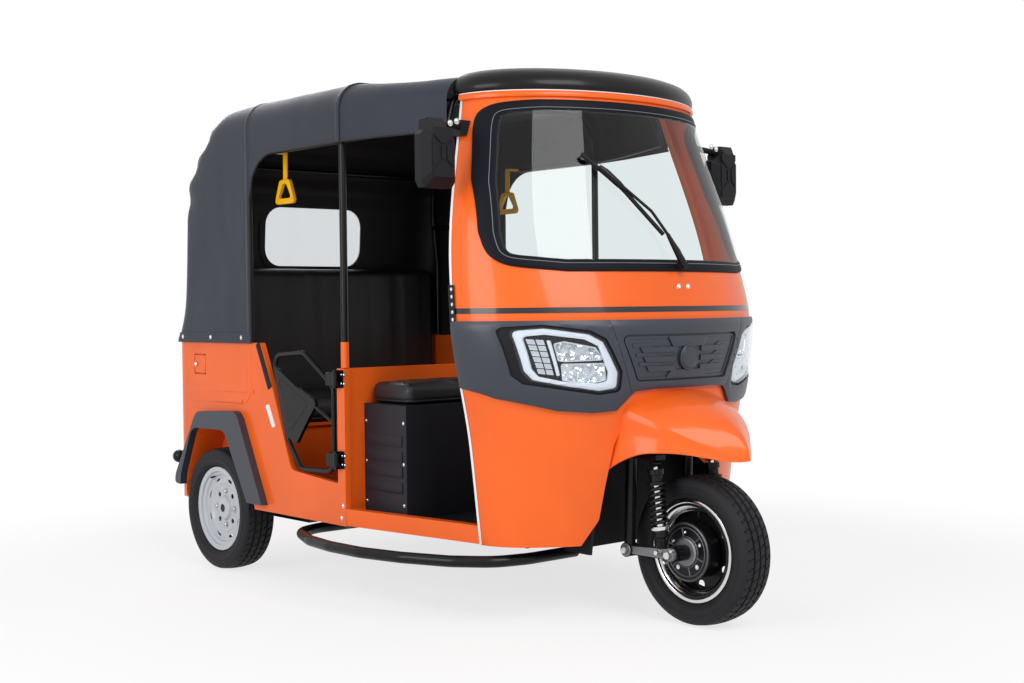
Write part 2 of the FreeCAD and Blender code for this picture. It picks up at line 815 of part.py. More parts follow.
def handlebar_shape():
    """A bent bar on the column's head with its grips and a plain instrument housing."""
    half = float(size.bar_half_width)
    head = axis_point(size.bar_height - 40)
    height = float(size.bar_height)
    start = head + steering_direction * 1.0
    corners = [Vector(-half, head.y + 60, height), Vector(-150, head.y + 30, height + 6),
               Vector(-70, start.y, start.z + 14), Vector(70, start.y, start.z + 14),
               Vector(150, head.y + 30, height + 6), Vector(half, head.y + 60, height)]
    pieces = [tube(corners, size.bar_radius, 60)]
    for side in (RIGHT, LEFT):
        end = Vector(side * half, head.y + 60, height)
        inner = Vector(side * 150, head.y + 30, height + 6)
        direction = (inner - end).normalize()
        pieces.append(Part.makeCylinder(float(size.grip_radius), 125, end, direction))
    clamp = Part.makeCylinder(24, 30, start, steering_direction)
    pod = Part.makeBox(170, 62, 66, Vector(-85, start.y - 40, start.z + 18))
    pod = pod.makeFillet(12, pod.Edges)
    return pieces[0].multiFuse(pieces[1:] + [clamp, pod]).removeSplitter()


node(feature("fork", fork_shape()), "fork")
shocks = Part.makeCompound([shock_shape(RIGHT), shock_shape(LEFT)])
node(feature("shock_absorbers", shocks), "shock_absorbers")
node(feature("handlebar", handlebar_shape()), "handlebar")

# The front of the body

FAR_AHEAD = -1500

SCREEN = both_sides([(-420, 1170), (-606, 1190), (-603, 1300), (-575, 1470), (-529, 1640),
                     (-503, 1728), (-380, 1737)])
FASCIA = both_sides([(-135, 782), (-212, 777), (-272, 716), (-346, 711), (-454, 721), (-596, 762),
                     (-652, 800), (-720, 830), (-720, 1010)])
LAMP = [(-588, 982), (-510, 990), (-381, 969), (-335, 944), (-277, 841), (-276, 785),
        (-337, 778), (-444, 797), (-530, 817), (-554, 848)]
GRILLE = both_sides([(-212, 808), (-282, 962)])
WHEEL_OPENING = both_sides([(-225, 700), (-262, 600), (-280, 460), (-290, 355), (-330, 292),
                            (-362, 240)])


def grown(outline, radius, offset, start=FAR_AHEAD, depth=1500):
    """An outline's prism with its edge moved outwards, or inwards if the offset is negative."""
    wire = rounded([point(x, start, z) for x, z in outline], radius)
    offset = float(offset)
    if abs(offset) > 0.001:
        wire = wire.makeOffset2D(offset)
    return prism(wire, Vector(0, depth, 0))


screen_depth = 940


def screen_prism(offset):
    """The windscreen's outline pushed back through the cowl's face."""
    return grown(SCREEN, 50, offset, FAR_AHEAD, screen_depth)


def lamp_prism(side, offset):
    """One headlamp's outline pushed back through the cowl's face."""
    outline = LAMP if side == RIGHT else [(-x, z) for x, z in LAMP]
    return grown(outline, 14, offset, FAR_AHEAD, 800)


lamp_prisms = [lamp_prism(side, 1.0) for side in (RIGHT, LEFT)]
grille_prism = grown(GRILLE, 18, 1.0)


def door_pillar(side):
    """The return flange along the cowl's door edge."""
    wires = []
    foot = float(size.cowl_foot)
    head = float(size.cowl_head)
    count = 17
    for index in range(count):
        z = foot + (head - foot) * index / (count - 1)
        half, edge, depth = cowl_plan(z)
        outer = side * (half - 6)
        inner = side * (half - float(size.pillar_width))
        front = edge - float(size.pillar_depth)
        wires.append(Part.makePolygon([
            Vector(outer, front, z), Vector(outer, edge, z), Vector(inner, edge, z),
            Vector(inner, front, z), Vector(outer, front, z)]))
    return Part.makeLoft(wires, True, False)


def front_cowl_shape():
    """The curved steel front: shell, door flanges and top lip, with its openings cut."""
    foot = size.cowl_foot
    head = size.cowl_head
    outer = cowl_solid(0, foot, head)
    inner = cowl_solid(-size.cowl_wall, foot - 5, head + 5, 40)
    shell = outer.cut(inner)
    lip = cowl_slice(-2, size.lip_proud, head - size.lip_height, head)
    shell = shell.multiFuse([lip, door_pillar(RIGHT), door_pillar(LEFT)])
    opening = grown(WHEEL_OPENING, 30, 0, FAR_AHEAD, 800)
    return shell.cut([screen_prism(0), opening] + lamp_prisms).removeSplitter()


def fascia_shape():
    """The dark band across the cowl round the lamps and the grille."""
    band = cowl_slice(size.seat_gap, size.fascia_proud, 690, 1012)
    band = band.common(grown(FASCIA, 12, 0))
    return band.cut(lamp_prisms + [grille_prism])


def grille_shape():
    """The grille's panel with its stepped ribs and a plain round boss."""
    panel = cowl_slice(2 * size.seat_gap, size.grille_proud, 780, 1000)
    panel = panel.common(grown(GRILLE, 18, 0.4))
    rib_layer = cowl_slice(size.grille_proud - 1, size.grille_proud + size.rib_proud, 780, 1000)
    ribs = []
    for side in (RIGHT, LEFT):
        for row in range(4):
            low = 826 + row * 34
            reach = 205 + row * 15
            bar = [(side * 62, low), (side * reach, low), (side * (reach + 6), low + 16),
                   (side * 62, low + 16)]
            ribs.append(rib_layer.common(grown(bar, 4, 0)))
    middle = 889
    front = cowl_front(middle) - float(size.grille_proud)
    boss = Part.makeCylinder(float(size.emblem_radius), 12, Vector(0, front + 2, middle),
                             Vector(0, -1, 0))
    return panel.multiFuse(ribs + [boss]).removeSplitter()


def lamp_shape(side):
    """A headlamp: lens and housing as one closed form."""
    block = cowl_slice(-size.lamp_depth, size.lamp_proud, 760, 1005)
    return block.common(lamp_prism(side, 0.6))


node(feature("front_cowl", front_cowl_shape()), "front_cowl")
node(feature("fascia", fascia_shape()), "fascia")
node(feature("grille", grille_shape()), "grille")
node(feature("headlamp_right", lamp_shape(RIGHT)), "headlamp_right")
node(feature("headlamp_left", lamp_shape(LEFT)), "headlamp_left")
gasket = cowl_slice(-size.cowl_wall + 4, size.gasket_proud, 1150, 1760)
gasket = gasket.common(screen_prism(-0.3)).cut(screen_prism(-size.gasket_width))
node(feature("windscreen_gasket", gasket), "windscreen_gasket")
glass = cowl_slice(-size.glass_thickness, 0, 1150, 1760)
glass = glass.common(screen_prism(-size.gasket_width - size.seat_gap))
node(feature("windscreen", glass), "windscreen")


def lofted(sections, ruled=True):
    """A solid through closed polygons that have the same number of corners."""
    wires = [Part.makePolygon(corners + [corners[0]]) for corners in sections]
    return Part.makeLoft(wires, True, ruled)


# Front fender: distance ahead, crest height, half width, lip height
FENDER_STATIONS = [
    (-880, 806, 268, 500),
    (-960, 792, 262, 512),
    (-1043, 768, 248, 545),
    (-1150, 734, 226, 562),
    (-1250, 690, 184, 556),
    (-1318, 645, 112, 552),
    (-1340, 606, 52, 556),
]


def fender_section(station, inset):
    """The fender's arched cross-section, drawn inwards by its sheet, as a closed wire."""
    y, crest, half, lip = station
    half -= inset
    crest -= inset
    rise = crest - lip
    right = [Vector(-half, y, lip), Vector(-half * 0.985, y, lip + rise * 0.30),
             Vector(-half * 0.84, y, lip + rise * 0.68), Vector(-half * 0.48, y, lip + rise * 0.92)]
    left = [Vector(-corner.x, y, corner.z) for corner in reversed(right)]
    arch = Part.BSplineCurve()
    arch.interpolate(right + [Vector(0, y, crest)] + left)
    return Part.Wire([arch.toShape(), Part.makeLine(left[-1], right[0])])


def fender_shape():
    """The beak over the front wheel, seated on the cowl."""
    sheet_thickness = float(size.fender_sheet)
    outer = Part.makeLoft([fender_section(station, 0) for station in FENDER_STATIONS], True, False)
    hollow_stations = [(y + 8 if index else y + 20, crest, half, lip - 20)
                       for index, (y, crest, half, lip) in enumerate(FENDER_STATIONS)]
    inner = Part.makeLoft([fender_section(station, sheet_thickness) for station in hollow_stations],
                          True, False)
    shell = outer.cut(inner)
    return shell.cut(cowl_solid(size.seat_gap, 420, 900, 200))


def wheelhouse_shape():
    """The dark liner behind and over the front wheel."""
    half = float(size.liner_half_width)
    rear = -float(liner_reach)
    low = float(size.liner_foot)
    high = float(size.liner_head)
    sheet_thickness = float(size.liner_sheet)
    outer = Part.makeBox(2 * half, 500, high - low, Vector(-half, rear - 500, low))
    inner = Part.makeBox(
        2 * (half - sheet_thickness), 500, high - low,
        Vector(-half + sheet_thickness, rear - 500 - sheet_thickness, low - sheet_thickness))
    shell = outer.cut(inner)
    clearance = axis_rod(high - 60, high + 60, size.column_radius + 26)
    inside_cowl = cowl_solid(-size.cowl_wall - size.seat_gap, low - 10, high + 10, 100)
    return shell.common(inside_cowl).cut(clearance)


def visor_shape():
    """The dark peak over the windscreen that carries the front of the canopy."""
    head = float(size.cowl_head) + float(size.seat_gap)
    rear = -float(size.canopy_front) - float(size.seat_gap)
    levels = [(0, 14), (22, 16), (46, 6), (66, -16), (80, -52)]

    def stack(inset, drop):
        wires = []
        for rise, offset in levels:
            half, edge, depth = cowl_plan(float(size.cowl_head))
            half += offset - inset
            depth += offset - inset
            z = head + rise - drop * (1 if rise else 0) - (2 if inset and not rise else 0)
            ellipse = Part.Ellipse(Vector(half, edge, z), Vector(0, edge - depth, z),
                                   Vector(0, edge, z))
            back = rear + (30 if inset else 0)
            corners = [Vector(-half, edge, z), Vector(-half, back, z), Vector(half, back, z),
                       Vector(half, edge, z)]
            wires.append(Part.Wire([Part.ArcOfEllipse(ellipse, 0, math.pi).toShape()] + [
                Part.LineSegment(corners[k], corners[k + 1]).toShape() for k in range(3)]))
        return Part.makeLoft(wires, True, False)

    return stack(0, 0).cut(stack(10, 10))


def dash_shape():
    """The shelf under the windscreen."""
    low = float(size.dash_height) - 30
    slab = cowl_solid(-size.cowl_wall - size.seat_gap, low, size.dash_height)
    back = Part.makeBox(1400, 700, 60, Vector(-700, -float(size.dash_reach), low - 5))
    return slab.cut(back)


WIPER_PIVOT = (0, 1186)
WIPER_ROUTE = [(0, 1186), (-8, 1232), (-100, 1366), (-196, 1446)]
WIPER_BLADE = [(-60, 1290), (-196, 1446), (-309, 1552)]


def over_screen(x, z, clear):
    """A point ahead of the cowl's face."""
    return Vector(x, cowl_front(z, x) - clear, z)


def wiper_shape():
    """The wiper: its pivot, arm and blade."""
    pivot_x, pivot_height = WIPER_PIVOT
    base = over_screen(pivot_x, pivot_height, float(size.gasket_proud) + 2.8)
    arm_clear = 34
    pivot = Part.makeCylinder(11, arm_clear, base, Vector(0, -1, 0))
    arm = tube([over_screen(x, z, arm_clear) for x, z in WIPER_ROUTE], 5, 60)
    blade = tube([over_screen(x, z, 24) for x, z in WIPER_BLADE], 7, 400)
    return pivot.multiFuse([arm, blade]).removeSplitter()


node(feature("front_fender", fender_shape()), "front_fender")
node(feature("wheelhouse", wheelhouse_shape()), "wheelhouse")
node(feature("roof_visor", visor_shape()), "roof_visor")
node(feature("dashboard", dash_shape()), "dashboard")
node(feature("wiper", wiper_shape()), "wiper")

# Floor, sills, partition and the frame beneath

outer_x = size.tub_half_width
inner_x = outer_x - size.tub_wall
cab_rear = size.tub_front - size.seat_gap
door_edge_y = cowl_plan(300)[1] + COWL_BACK + float(size.seat_gap)
sill_front_x = cowl_plan(300)[0]
sill_width = float(size.sill_width)

FLOOR = both_sides([(-470, -float(liner_reach) + float(size.seat_gap)),
                    (-512, -700), (-(sill_front_x - float(size.pillar_width) - 3), door_edge_y - 34),
                    (-(sill_front_x - float(size.pillar_width) - 3), door_edge_y),
                    (-(float(outer_x) - sill_width - 2), float(cab_rear)),
                    (-(float(inner_x) - 0.3), float(cab_rear) + 1),
                    (-(float(inner_x) - 0.3), float(size.seat_front) + 30)])


STRUT_SETBACK = 26
STRUT_RADIUS = 14


def floor_shape():
    """The pressed floor of the cab and of the passengers' foot space, with raised ribs."""
    top = float(size.floor_top)
    thickness = float(size.floor_sheet)
    sheet_solid = plan_prism(FLOOR, 6, top - thickness, top)
    ribs = []
    for index in range(5):
        x = -360 + index * 180
        ribs.append(Part.makeBox(60, 190, 4, Vector(x - 30, -560, top)))
        ribs.append(Part.makeBox(60, 300, 4, Vector(x - 30, 150, top)))
    notches = [plan_prism([(side * 120, -800), (side * 180, -800),
                           (side * 180, -float(liner_reach) + STRUT_SETBACK + STRUT_RADIUS + 6),
                           (side * 120, -float(liner_reach) + STRUT_SETBACK + STRUT_RADIUS + 6)],
                          0, top - 2 * thickness, top + thickness) for side in (RIGHT, LEFT)]
    return sheet_solid.multiFuse(ribs).cut(notches).removeSplitter()


def sill_shape(side):
    """The painted sill under the cab's doorway."""
    outer_front = sill_front_x
    outer_rear = float(outer_x)
    outline = [(side * outer_front, door_edge_y), (side * outer_rear, cab_rear),
               (side * (outer_rear - sill_width), cab_rear),
               (side * (outer_front - sill_width), door_edge_y)]
    low = float(size.tub_foot) + 3
    return plan_prism(outline, 2, low, low + float(size.sill_height))


node(feature("floor_pan", floor_shape()), "floor_pan")
sills = Part.makeCompound([sill_shape(RIGHT), sill_shape(LEFT)])
node(feature("door_sills", sills), "door_sills")

partition_front = size.partition_rear - size.partition_wall
node(box("partition", (-inner_x + size.seat_gap, partition_front, size.floor_top + size.seat_gap),
         (2 * (inner_x - size.seat_gap), size.partition_wall,
          size.partition_height - size.floor_top - size.seat_gap)), "partition")

member_width = size.member_width
tub_reach = inner_x - size.seat_gap


def member(name, y, half_length):
    """A cross-member in three lengths: between the rails and outside each of them."""
    outside = size.rail_half_spacing + size.rail_width
    spans = [(-half_length, half_length - outside),
             (-size.rail_half_spacing, 2 * size.rail_half_spacing),
             (outside, half_length - outside)]
    return [box(f"{name}_{index}", (start, y, rail_bottom),
                (length, member_width, size.rail_height))
            for index, (start, length) in enumerate(spans)]


tow_plate_rear = size.tub_rear + 42


def head_support_shape():
    """The head tube of the steering with the two struts that carry it."""
    bore = axis_rod(size.head_low - 5, size.head_high + 5, size.column_radius + size.shaft_fit)
    head = axis_rod(size.head_low, size.head_high,
                    size.column_radius + size.shaft_fit + size.head_wall)
    pieces = [head]
    foot_y = -float(liner_reach) + STRUT_SETBACK
    upper = axis_point(float(size.head_low) + 95)
    lower = axis_point(float(size.head_low) + 35)
    for side in (RIGHT, LEFT):
        foot = Vector(side * 150, foot_y, float(rail_top) - 6)
        elbow = Vector(side * 110, foot_y, float(size.head_low) - 20)
        pieces.append(tube([foot, elbow, Vector(0, upper.y + 6, upper.z)], STRUT_RADIUS, 60))
    gusset = Part.makeBox(24, foot_y + 20 - lower.y, 60, Vector(-12, lower.y, lower.z))
    cross = Part.makeCylinder(12, 220, Vector(-110, foot_y, lower.z + 12), Vector(1, 0, 0))
    seat = Part.makeBox(600, 200, 200, Vector(
        -300, foot_y - 100, float(rail_top) + float(size.seat_gap) - 200))
    return pieces[0].multiFuse(pieces[1:] + [gusset, cross]).cut([bore, seat]).removeSplitter()


front_member_y = -liner_reach + size.seat_gap
rails = [
    box("rail_right", (-size.rail_half_spacing - size.rail_width, front_member_y, rail_bottom),
        (size.rail_width, size.rear_member_y + member_width - front_member_y, size.rail_height)),
    box("rail_left", (size.rail_half_spacing, front_member_y, rail_bottom),
        (size.rail_width, size.rear_member_y + member_width - front_member_y, size.rail_height)),
]
rails_group = doc.addObject("Part::Compound", "frame_rails")
rails_group.Links = rails
node(rails_group, "frame_rails")
members = (member("front_member", front_member_y, sized(470))
           + member("middle_member", size.tub_front + size.seat_gap, tub_reach)
           + member("seat_member", size.seat_front, tub_reach)
           + member("rear_member", size.rear_member_y, size.well_inner - size.seat_gap))
members_group = doc.addObject("Part::Compound", "cross_members")
members_group.Links = members
node(members_group, "cross_members")
tow_board = box("tow_board", (sized(-30), size.rear_member_y + member_width, rail_bottom),
                (sized(60), tow_plate_rear - size.rear_member_y - member_width, size.tow_plate))
tow_eye = rod("tow_eye", (sized(0), tow_plate_rear - 20, rail_bottom - 1), "z", size.tow_hole,
              size.tow_plate + 2)
node(cut("tow_plate", tow_board, tow_eye), "tow_plate")
node(feature("head_support", head_support_shape()), "head_support")

# Rear body

DOORWAY = [(590, 0), (493, 739), (374, 448), (62, 423), (62, 840), (0, 840), (0, 0)]
ARCH_OPENING = [(636, 255), (646, 289), (822, 574), (1082, 571), (1180, 370), (1192, 255)]
FLARE_OUTSIDE = [(1232, 330), (1225, 368), (1046, 639), (726, 655), (542, 299), (538, 285)]


def tub_shape():
    """The rear body: sides, rear panel and wheel wells, with its doorways and wheel arches."""
    foot = float(size.tub_foot)
    belt = float(size.belt_height)
    half = float(outer_x)
    wall = float(size.tub_wall)
    rear = float(size.tub_rear)
    front = float(size.tub_front)
    corner = float(size.tub_corner)
    block = plan_prism([(-half, front), (-half, rear), (half, rear), (half, front)],
                       [0, corner, corner, 0], foot, belt)
    hollow = plan_prism([(-half + wall, front - 20), (-half + wall, rear - wall),
                         (half - wall, rear - wall), (half - wall, front - 20)],
                        [0, corner - wall, corner - wall, 0], foot - 5, belt + 5)
    shell = block.cut(hollow)
    doorway = [(y, z if z else belt + 20) for y, z in DOORWAY]
    shell = shell.cut(side_prism(doorway, [0, 40, 40, 8, 6, 0, 0], -half - 50, half + 50))
    arch = grown_side(ARCH_OPENING, 60, 0, -half - 50, half + 50)
    shell = shell.cut(arch)
    sheet_thickness = float(size.well_wall)
    wells = []
    for side in (RIGHT, LEFT):
        near = side * float(size.well_inner)
        far = side * (half - 1)
        well = grown_side(ARCH_OPENING, 60, sheet_thickness, near, far)
        cavity = grown_side(ARCH_OPENING, 60, 0, near + side * sheet_thickness, far + side * 30)
        well = well.cut(cavity)
        below = Part.makeBox(3000, 3000, 60, Vector(-1500, -1500, foot - 60))
        wells.append(well.cut(below))
    shell = shell.multiFuse(wells)
    lid_half = float(size.lid_half_width) + float(size.moving_gap)
    lid_low = float(size.lid_low) - float(size.moving_gap)
    lid_high = float(size.lid_high) + float(size.moving_gap)
    lid_hole = grown([(-lid_half, lid_low), (lid_half, lid_low), (lid_half, lid_high),
                      (-lid_half, lid_high)], 30, 0, rear - 80, 200)
    gap = float(size.moving_gap)
    recess = Part.makeBox(
        float(size.flap_sheet) + gap, float(size.flap_length) + 2 * gap,
        float(size.flap_height) + 2 * gap,
        Vector(-half, float(size.flap_front) - gap, float(size.flap_low) - gap))
    plate_z = float(size.plate_low + size.plate_height / 2)
    bolts = [Part.makeCylinder(float(size.plate_hole), wall + 20,
                               Vector(side * float(size.plate_spacing) / 2, rear - wall - 10, plate_z),
                               Vector(0, 1, 0)) for side in (RIGHT, LEFT)]
    return shell.cut([lid_hole, recess] + bolts).removeSplitter()


def grown_side(outline, radius, offset, left, right):
    """A side outline's prism across the vehicle, with its edge moved outwards."""
    wire = rounded([point(left, y, z) for y, z in outline], radius)
    if offset:
        wire = wire.makeOffset2D(float(offset))
    return prism(wire, point(float(right) - float(left), 0, 0))


node(feature("rear_tub", tub_shape()), "rear_tub")

flares = []
for side in (RIGHT, LEFT):
    near = side * (float(outer_x) + float(size.seat_gap))
    far = near + side * float(size.flare_proud)
    flare = side_prism(FLARE_OUTSIDE, 60, near, far).cut(
        grown_side(ARCH_OPENING + [], 60, 0, near - side, far + side))
    below = Part.makeBox(3000, 3000, 200, Vector(-1500, -1500, 299 - 200))
    flares.append(flare.cut(below))
node(feature("arch_flares", Part.makeCompound(flares)), "arch_flares")

# Canopy: frame of tubes, fabric over it, clear rear window, side posts

canopy_wall = float(size.canopy_wall)
canopy_half = float(outer_x) + float(size.seat_gap) + canopy_wall
roof = float(size.roof_height)
hem = float(size.canopy_hem)

# Distance from the origin, half width, top and shoulder radius of the roof's sections
ROOF_STATIONS = [
    (-float(size.canopy_front), 548, roof - 28, 84),
    (-160, 628, roof - 14, 96),
    (30, canopy_half, roof, 104),
    (650, canopy_half, roof, 104),
    (1400, canopy_half, roof - 61, 104),
]
canopy_corner = float(size.tub_corner) + canopy_wall
shoulder_corner = 150
waist_high = roof - 366
tail = float(size.tub_rear) + canopy_wall
# The rear's straight runs over the hoops: y and z of the top and the foot, and the corner's radius at each
REAR_RUNS = [
    ((872, roof - 19, shoulder_corner), (1000, roof - 90, shoulder_corner)),
    ((1000, roof - 90, shoulder_corner), (1100, roof - 180, shoulder_corner)),
    ((1100, roof - 180, shoulder_corner), (1180, roof - 286, shoulder_corner)),
    ((1180, roof - 286, shoulder_corner), (1208, waist_high, shoulder_corner)),
    ((1208, waist_high, 0), (tail, hem, 0)),
    ((tail, waist_high, canopy_corner), (tail, hem, canopy_corner)),
]
SIDE_MARGIN = 0.2
ROUND_STEPS = 6
SIDE_OPENING = [(-600, 700), (633, 700), (633, 1652), (-600, 1652)]


def roof_section(station, inset, floor):
    """An arch across the vehicle, square at the foot and rounded at the shoulders."""
    y, half, top, shoulder = station
    half -= inset
    top -= inset
    shoulder = max(20, shoulder - inset)
    right = [Vector(-half, y, floor)]
    for step in range(ROUND_STEPS + 1):
        turn = math.radians(90 * step / ROUND_STEPS)
        right.append(Vector(-half + shoulder * (1 - math.cos(turn)), y,
                            top - shoulder + shoulder * math.sin(turn)))
    left = [Vector(-corner.x, y, corner.z) for corner in reversed(right)]
    return right + left


def rear_outline(y, z, corner, inset):
    """The canopy's plan at one height: straight sides and a rear wall with faceted round corners."""
    half = canopy_half - inset + SIDE_MARGIN
    front = -float(size.canopy_front) - 200
    corner = max(0, corner - inset)
    right = [Vector(-half, front, z)]
    for step in range(ROUND_STEPS + 1):
        turn = math.radians(90 * step / ROUND_STEPS)
        right.append(Vector(-half + corner * (1 - math.cos(turn)), y - corner * (1 - math.sin(turn)),
                            z))
    if not corner:
        right = right[:2]
    left = [Vector(-place.x, place.y, place.z) for place in reversed(right)]
    return Part.makePolygon(right + left + right[:1])


def rear_slope(top, foot, inset):
    """The space ahead of one straight run of the rear wall, extended both ways along its slope."""
    run = Vector(0, top[0] - foot[0], top[1] - foot[1])
    reach = inset * run.Length / run.z
    start = hem - 40
    down = (foot[1] - start) / run.z
    outline = rear_outline(foot[0] - reach - run.y * down, start, foot[2], inset)
    return Part.Face(outline).extrude(run * ((roof + 10 - start) / run.z))


def canopy_block(inset):
    """The space inside the canopy's outer face, drawn inwards."""
    low = hem if not inset else hem - 20
    stations = [station for station in ROOF_STATIONS]
    if inset:
        stations[0] = (stations[0][0] - 20,) + stations[0][1:]
    block = lofted([roof_section(station, inset, low) for station in stations])
    for top, foot in REAR_RUNS:
        block = block.common(rear_slope(top, foot, inset))
    return block


def window_prism(offset):
    """The rear window's outline pushed through the rear wall."""
    half = float(size.window_half_width)
    low = float(size.window_low)
    high = float(size.window_high)
    return grown([(-half, low), (half, low), (half, high), (-half, high)], 50, offset, 1000, 500)


canopy_shell = canopy_block(0).cut(canopy_block(canopy_wall))
opening = side_prism(SIDE_OPENING, [0, 0, 170, 0], -900, 900)
canopy_shell = canopy_shell.cut(opening)
node(feature("canopy", canopy_shell.cut(window_prism(0))), "canopy")
node(feature("rear_window", canopy_shell.common(window_prism(-size.seat_gap))), "rear_window")

frame_radius = float(size.rail_tube)
hoop_x = float(outer_x) - frame_radius
hoop_top = roof - canopy_wall - frame_radius - 4
belt_seat = float(size.belt_height) + float(size.seat_gap)


FRONT_HOOP = 42
REAR_HOOP = 665
CORNER_HOOP_X = 618
CORNER_HOOP_Y = 1105


def hoop(route, bend):
    """A tube over the cab from one side to the other, by the corners of its right-hand half."""
    right = [Vector(-x, y, z) for x, y, z in route]
    left = [Vector(-corner.x, corner.y, corner.z) for corner in reversed(right)]
    return tube(right + left, frame_radius, bend)


def rail_reach(y):
    """Half width at which a rail runs just inside the fabric."""
    for (start, near, *_), (end, far, *_) in zip(ROOF_STATIONS, ROOF_STATIONS[1:]):
        if y <= end:
            half = near + (far - near) * (y - start) / (end - start)
            return half - canopy_wall - frame_radius - 3
    return hoop_x


def canopy_frame_shape():
    """Side rails and hoops that carry the fabric."""
    rail_z = float(size.post_top) + float(size.seat_gap) + frame_radius
    rail_radius = frame_radius - 0.5
    front_y = -float(size.canopy_front) + 20
    front_z = hoop_top - 50
    front_x = rail_reach(front_y)
    waist = ROOF_STATIONS[1][0]
    pieces = [hoop([(hoop_x, FRONT_HOOP, rail_z), (hoop_x, FRONT_HOOP, hoop_top)], 140),
              hoop([(hoop_x, REAR_HOOP, belt_seat), (hoop_x, REAR_HOOP, hoop_top)], 140),
              hoop([(hoop_x, CORNER_HOOP_Y - 5, belt_seat), (hoop_x, CORNER_HOOP_Y - 5, 1250),
                    (CORNER_HOOP_X, CORNER_HOOP_Y, 1480),
                    (CORNER_HOOP_X - 20, CORNER_HOOP_Y - 35, 1655)], 120)]
    for side in (RIGHT, LEFT):
        pieces.append(tube([Vector(side * front_x, front_y, rail_z + 20),
                            Vector(side * rail_reach(waist), waist, rail_z + 6),
                            Vector(side * hoop_x, FRONT_HOOP, rail_z),
                            Vector(side * hoop_x, REAR_HOOP, rail_z)], rail_radius, 200))
        pieces.append(tube([Vector(side * hoop_x, REAR_HOOP, 1420),
                            Vector(side * hoop_x, 920, 1425),
                            Vector(side * CORNER_HOOP_X, CORNER_HOOP_Y - 1, 1430)],
                           rail_radius, 200))
    pieces.append(tube([Vector(-front_x, front_y, rail_z + 20),
                        Vector(-front_x + 35, front_y, front_z),
                        Vector(front_x - 35, front_y, front_z),
                        Vector(front_x, front_y, rail_z + 20)], frame_radius, 90))
    whole = pieces[0]
    for piece in pieces[1:]:
        whole = whole.fuse(piece)
    return whole


node(feature("canopy_frame", canopy_frame_shape()), "canopy_frame")

post_x = outer_x - size.post_radius - 2
post_y = size.tub_front + size.post_radius + 2
posts = []
for side, word in ((RIGHT, "right"), (LEFT, "left")):
    start = size.partition_height + size.seat_gap
    posts.append(rod(f"post_{word}", (side * post_x, post_y, start), "z", size.post_radius,
                     size.post_top - start))
posts_group = doc.addObject("Part::Compound", "side_posts")
posts_group.Links = posts
node(posts_group, "side_posts")

# Seats

seat_base_front = -size.driver_seat_depth + partition_front - size.seat_gap
driver_base = body("driver_seat_base")
drawing = sketch(driver_base, "driver_base_plan", "xy", size.floor_top + size.seat_gap)
base_half = size.driver_seat_width / 2
polygon(drawing, [(-base_half, seat_base_front), (base_half, seat_base_front),
                  (base_half, partition_front - size.seat_gap),
                  (-base_half, partition_front - size.seat_gap)])
pad(driver_base, "driver_base_block", drawing, size.driver_base_height)
doc.recompute()
node(driver_base, "driver_seat_base")

cushion_low = size.floor_top + size.driver_base_height + 2 * size.seat_gap
cushion_base = box("cushion_block", (-base_half + 20, seat_base_front + 6, cushion_low),
                   (2 * base_half - 40, size.driver_seat_depth - 10, size.driver_cushion))
cushion = doc.addObject("Part::Fillet", "driver_seat_cushion")
doc.recompute()
cushion.Base = cushion_base
cushion.Edges = [(number + 1, 24.0, 24.0) for number, edge in enumerate(cushion_base.Shape.Edges)
                 if edge.BoundBox.ZMin > float(cushion_low) + 1]
node(cushion, "driver_seat_cushion")

seat_half = inner_x - size.seat_gap
board_low = size.well_top
seat_front_panel = box("seat_front_panel", (-seat_half, size.seat_front + 42, size.floor_top + 6),
                       (2 * seat_half, sized(16), board_low - size.floor_top - 6))
seat_board = box("seat_board", (-seat_half, size.seat_front + 20, board_low),
                 (2 * seat_half, size.tub_rear - size.tub_corner - size.seat_front - 20,
                  size.seat_board))
node(fuse("passenger_seat_base", [seat_front_panel, seat_board]), "passenger_seat_base")
seat_low = board_low + size.seat_board + size.seat_gap
rear_cushion_block = box(
    "seat_cushion_block", (-seat_half + 3, size.seat_front, seat_low),
    (2 * seat_half - 6, size.seat_depth, size.seat_cushion))
rear_cushion = doc.addObject("Part::Fillet", "passenger_seat_cushion")
doc.recompute()
rear_cushion.Base = rear_cushion_block
rear_cushion.Edges = [
    (number + 1, 30.0, 30.0) for number, edge in enumerate(rear_cushion_block.Shape.Edges)
    if edge.BoundBox.ZMin > float(seat_low) + 1]
node(rear_cushion, "passenger_seat_cushion")

back_foot = float(size.seat_front + size.seat_depth + size.seat_gap)
back_low = float(seat_low)
BACK = [(back_foot, back_low), (back_foot, back_low + float(size.seat_cushion)),
        (back_foot + 20, float(size.seat_back_top)), (float(size.seat_back_rear) - 40,
                                                      float(size.seat_back_top)),
        (float(size.seat_back_rear) - 16, back_low)]
back_shape = side_prism(BACK, [4, 30, 40, 20, 4], -float(seat_half) + 14, float(seat_half) - 14)
node(feature("passenger_seat_back", back_shape), "passenger_seat_back")

# Engine, rear suspension and exhaust

engine_half = size.rail_half_spacing - size.seat_gap
engine_block = box("engine_block", (-engine_half, size.engine_front, size.engine_low),
                   (2 * engine_half, size.engine_length, size.engine_height))
node(engine_block, "engine_block")

arm_x = size.well_inner - size.arm_width - 6
arm_pivot_y = size.arm_pivot_y


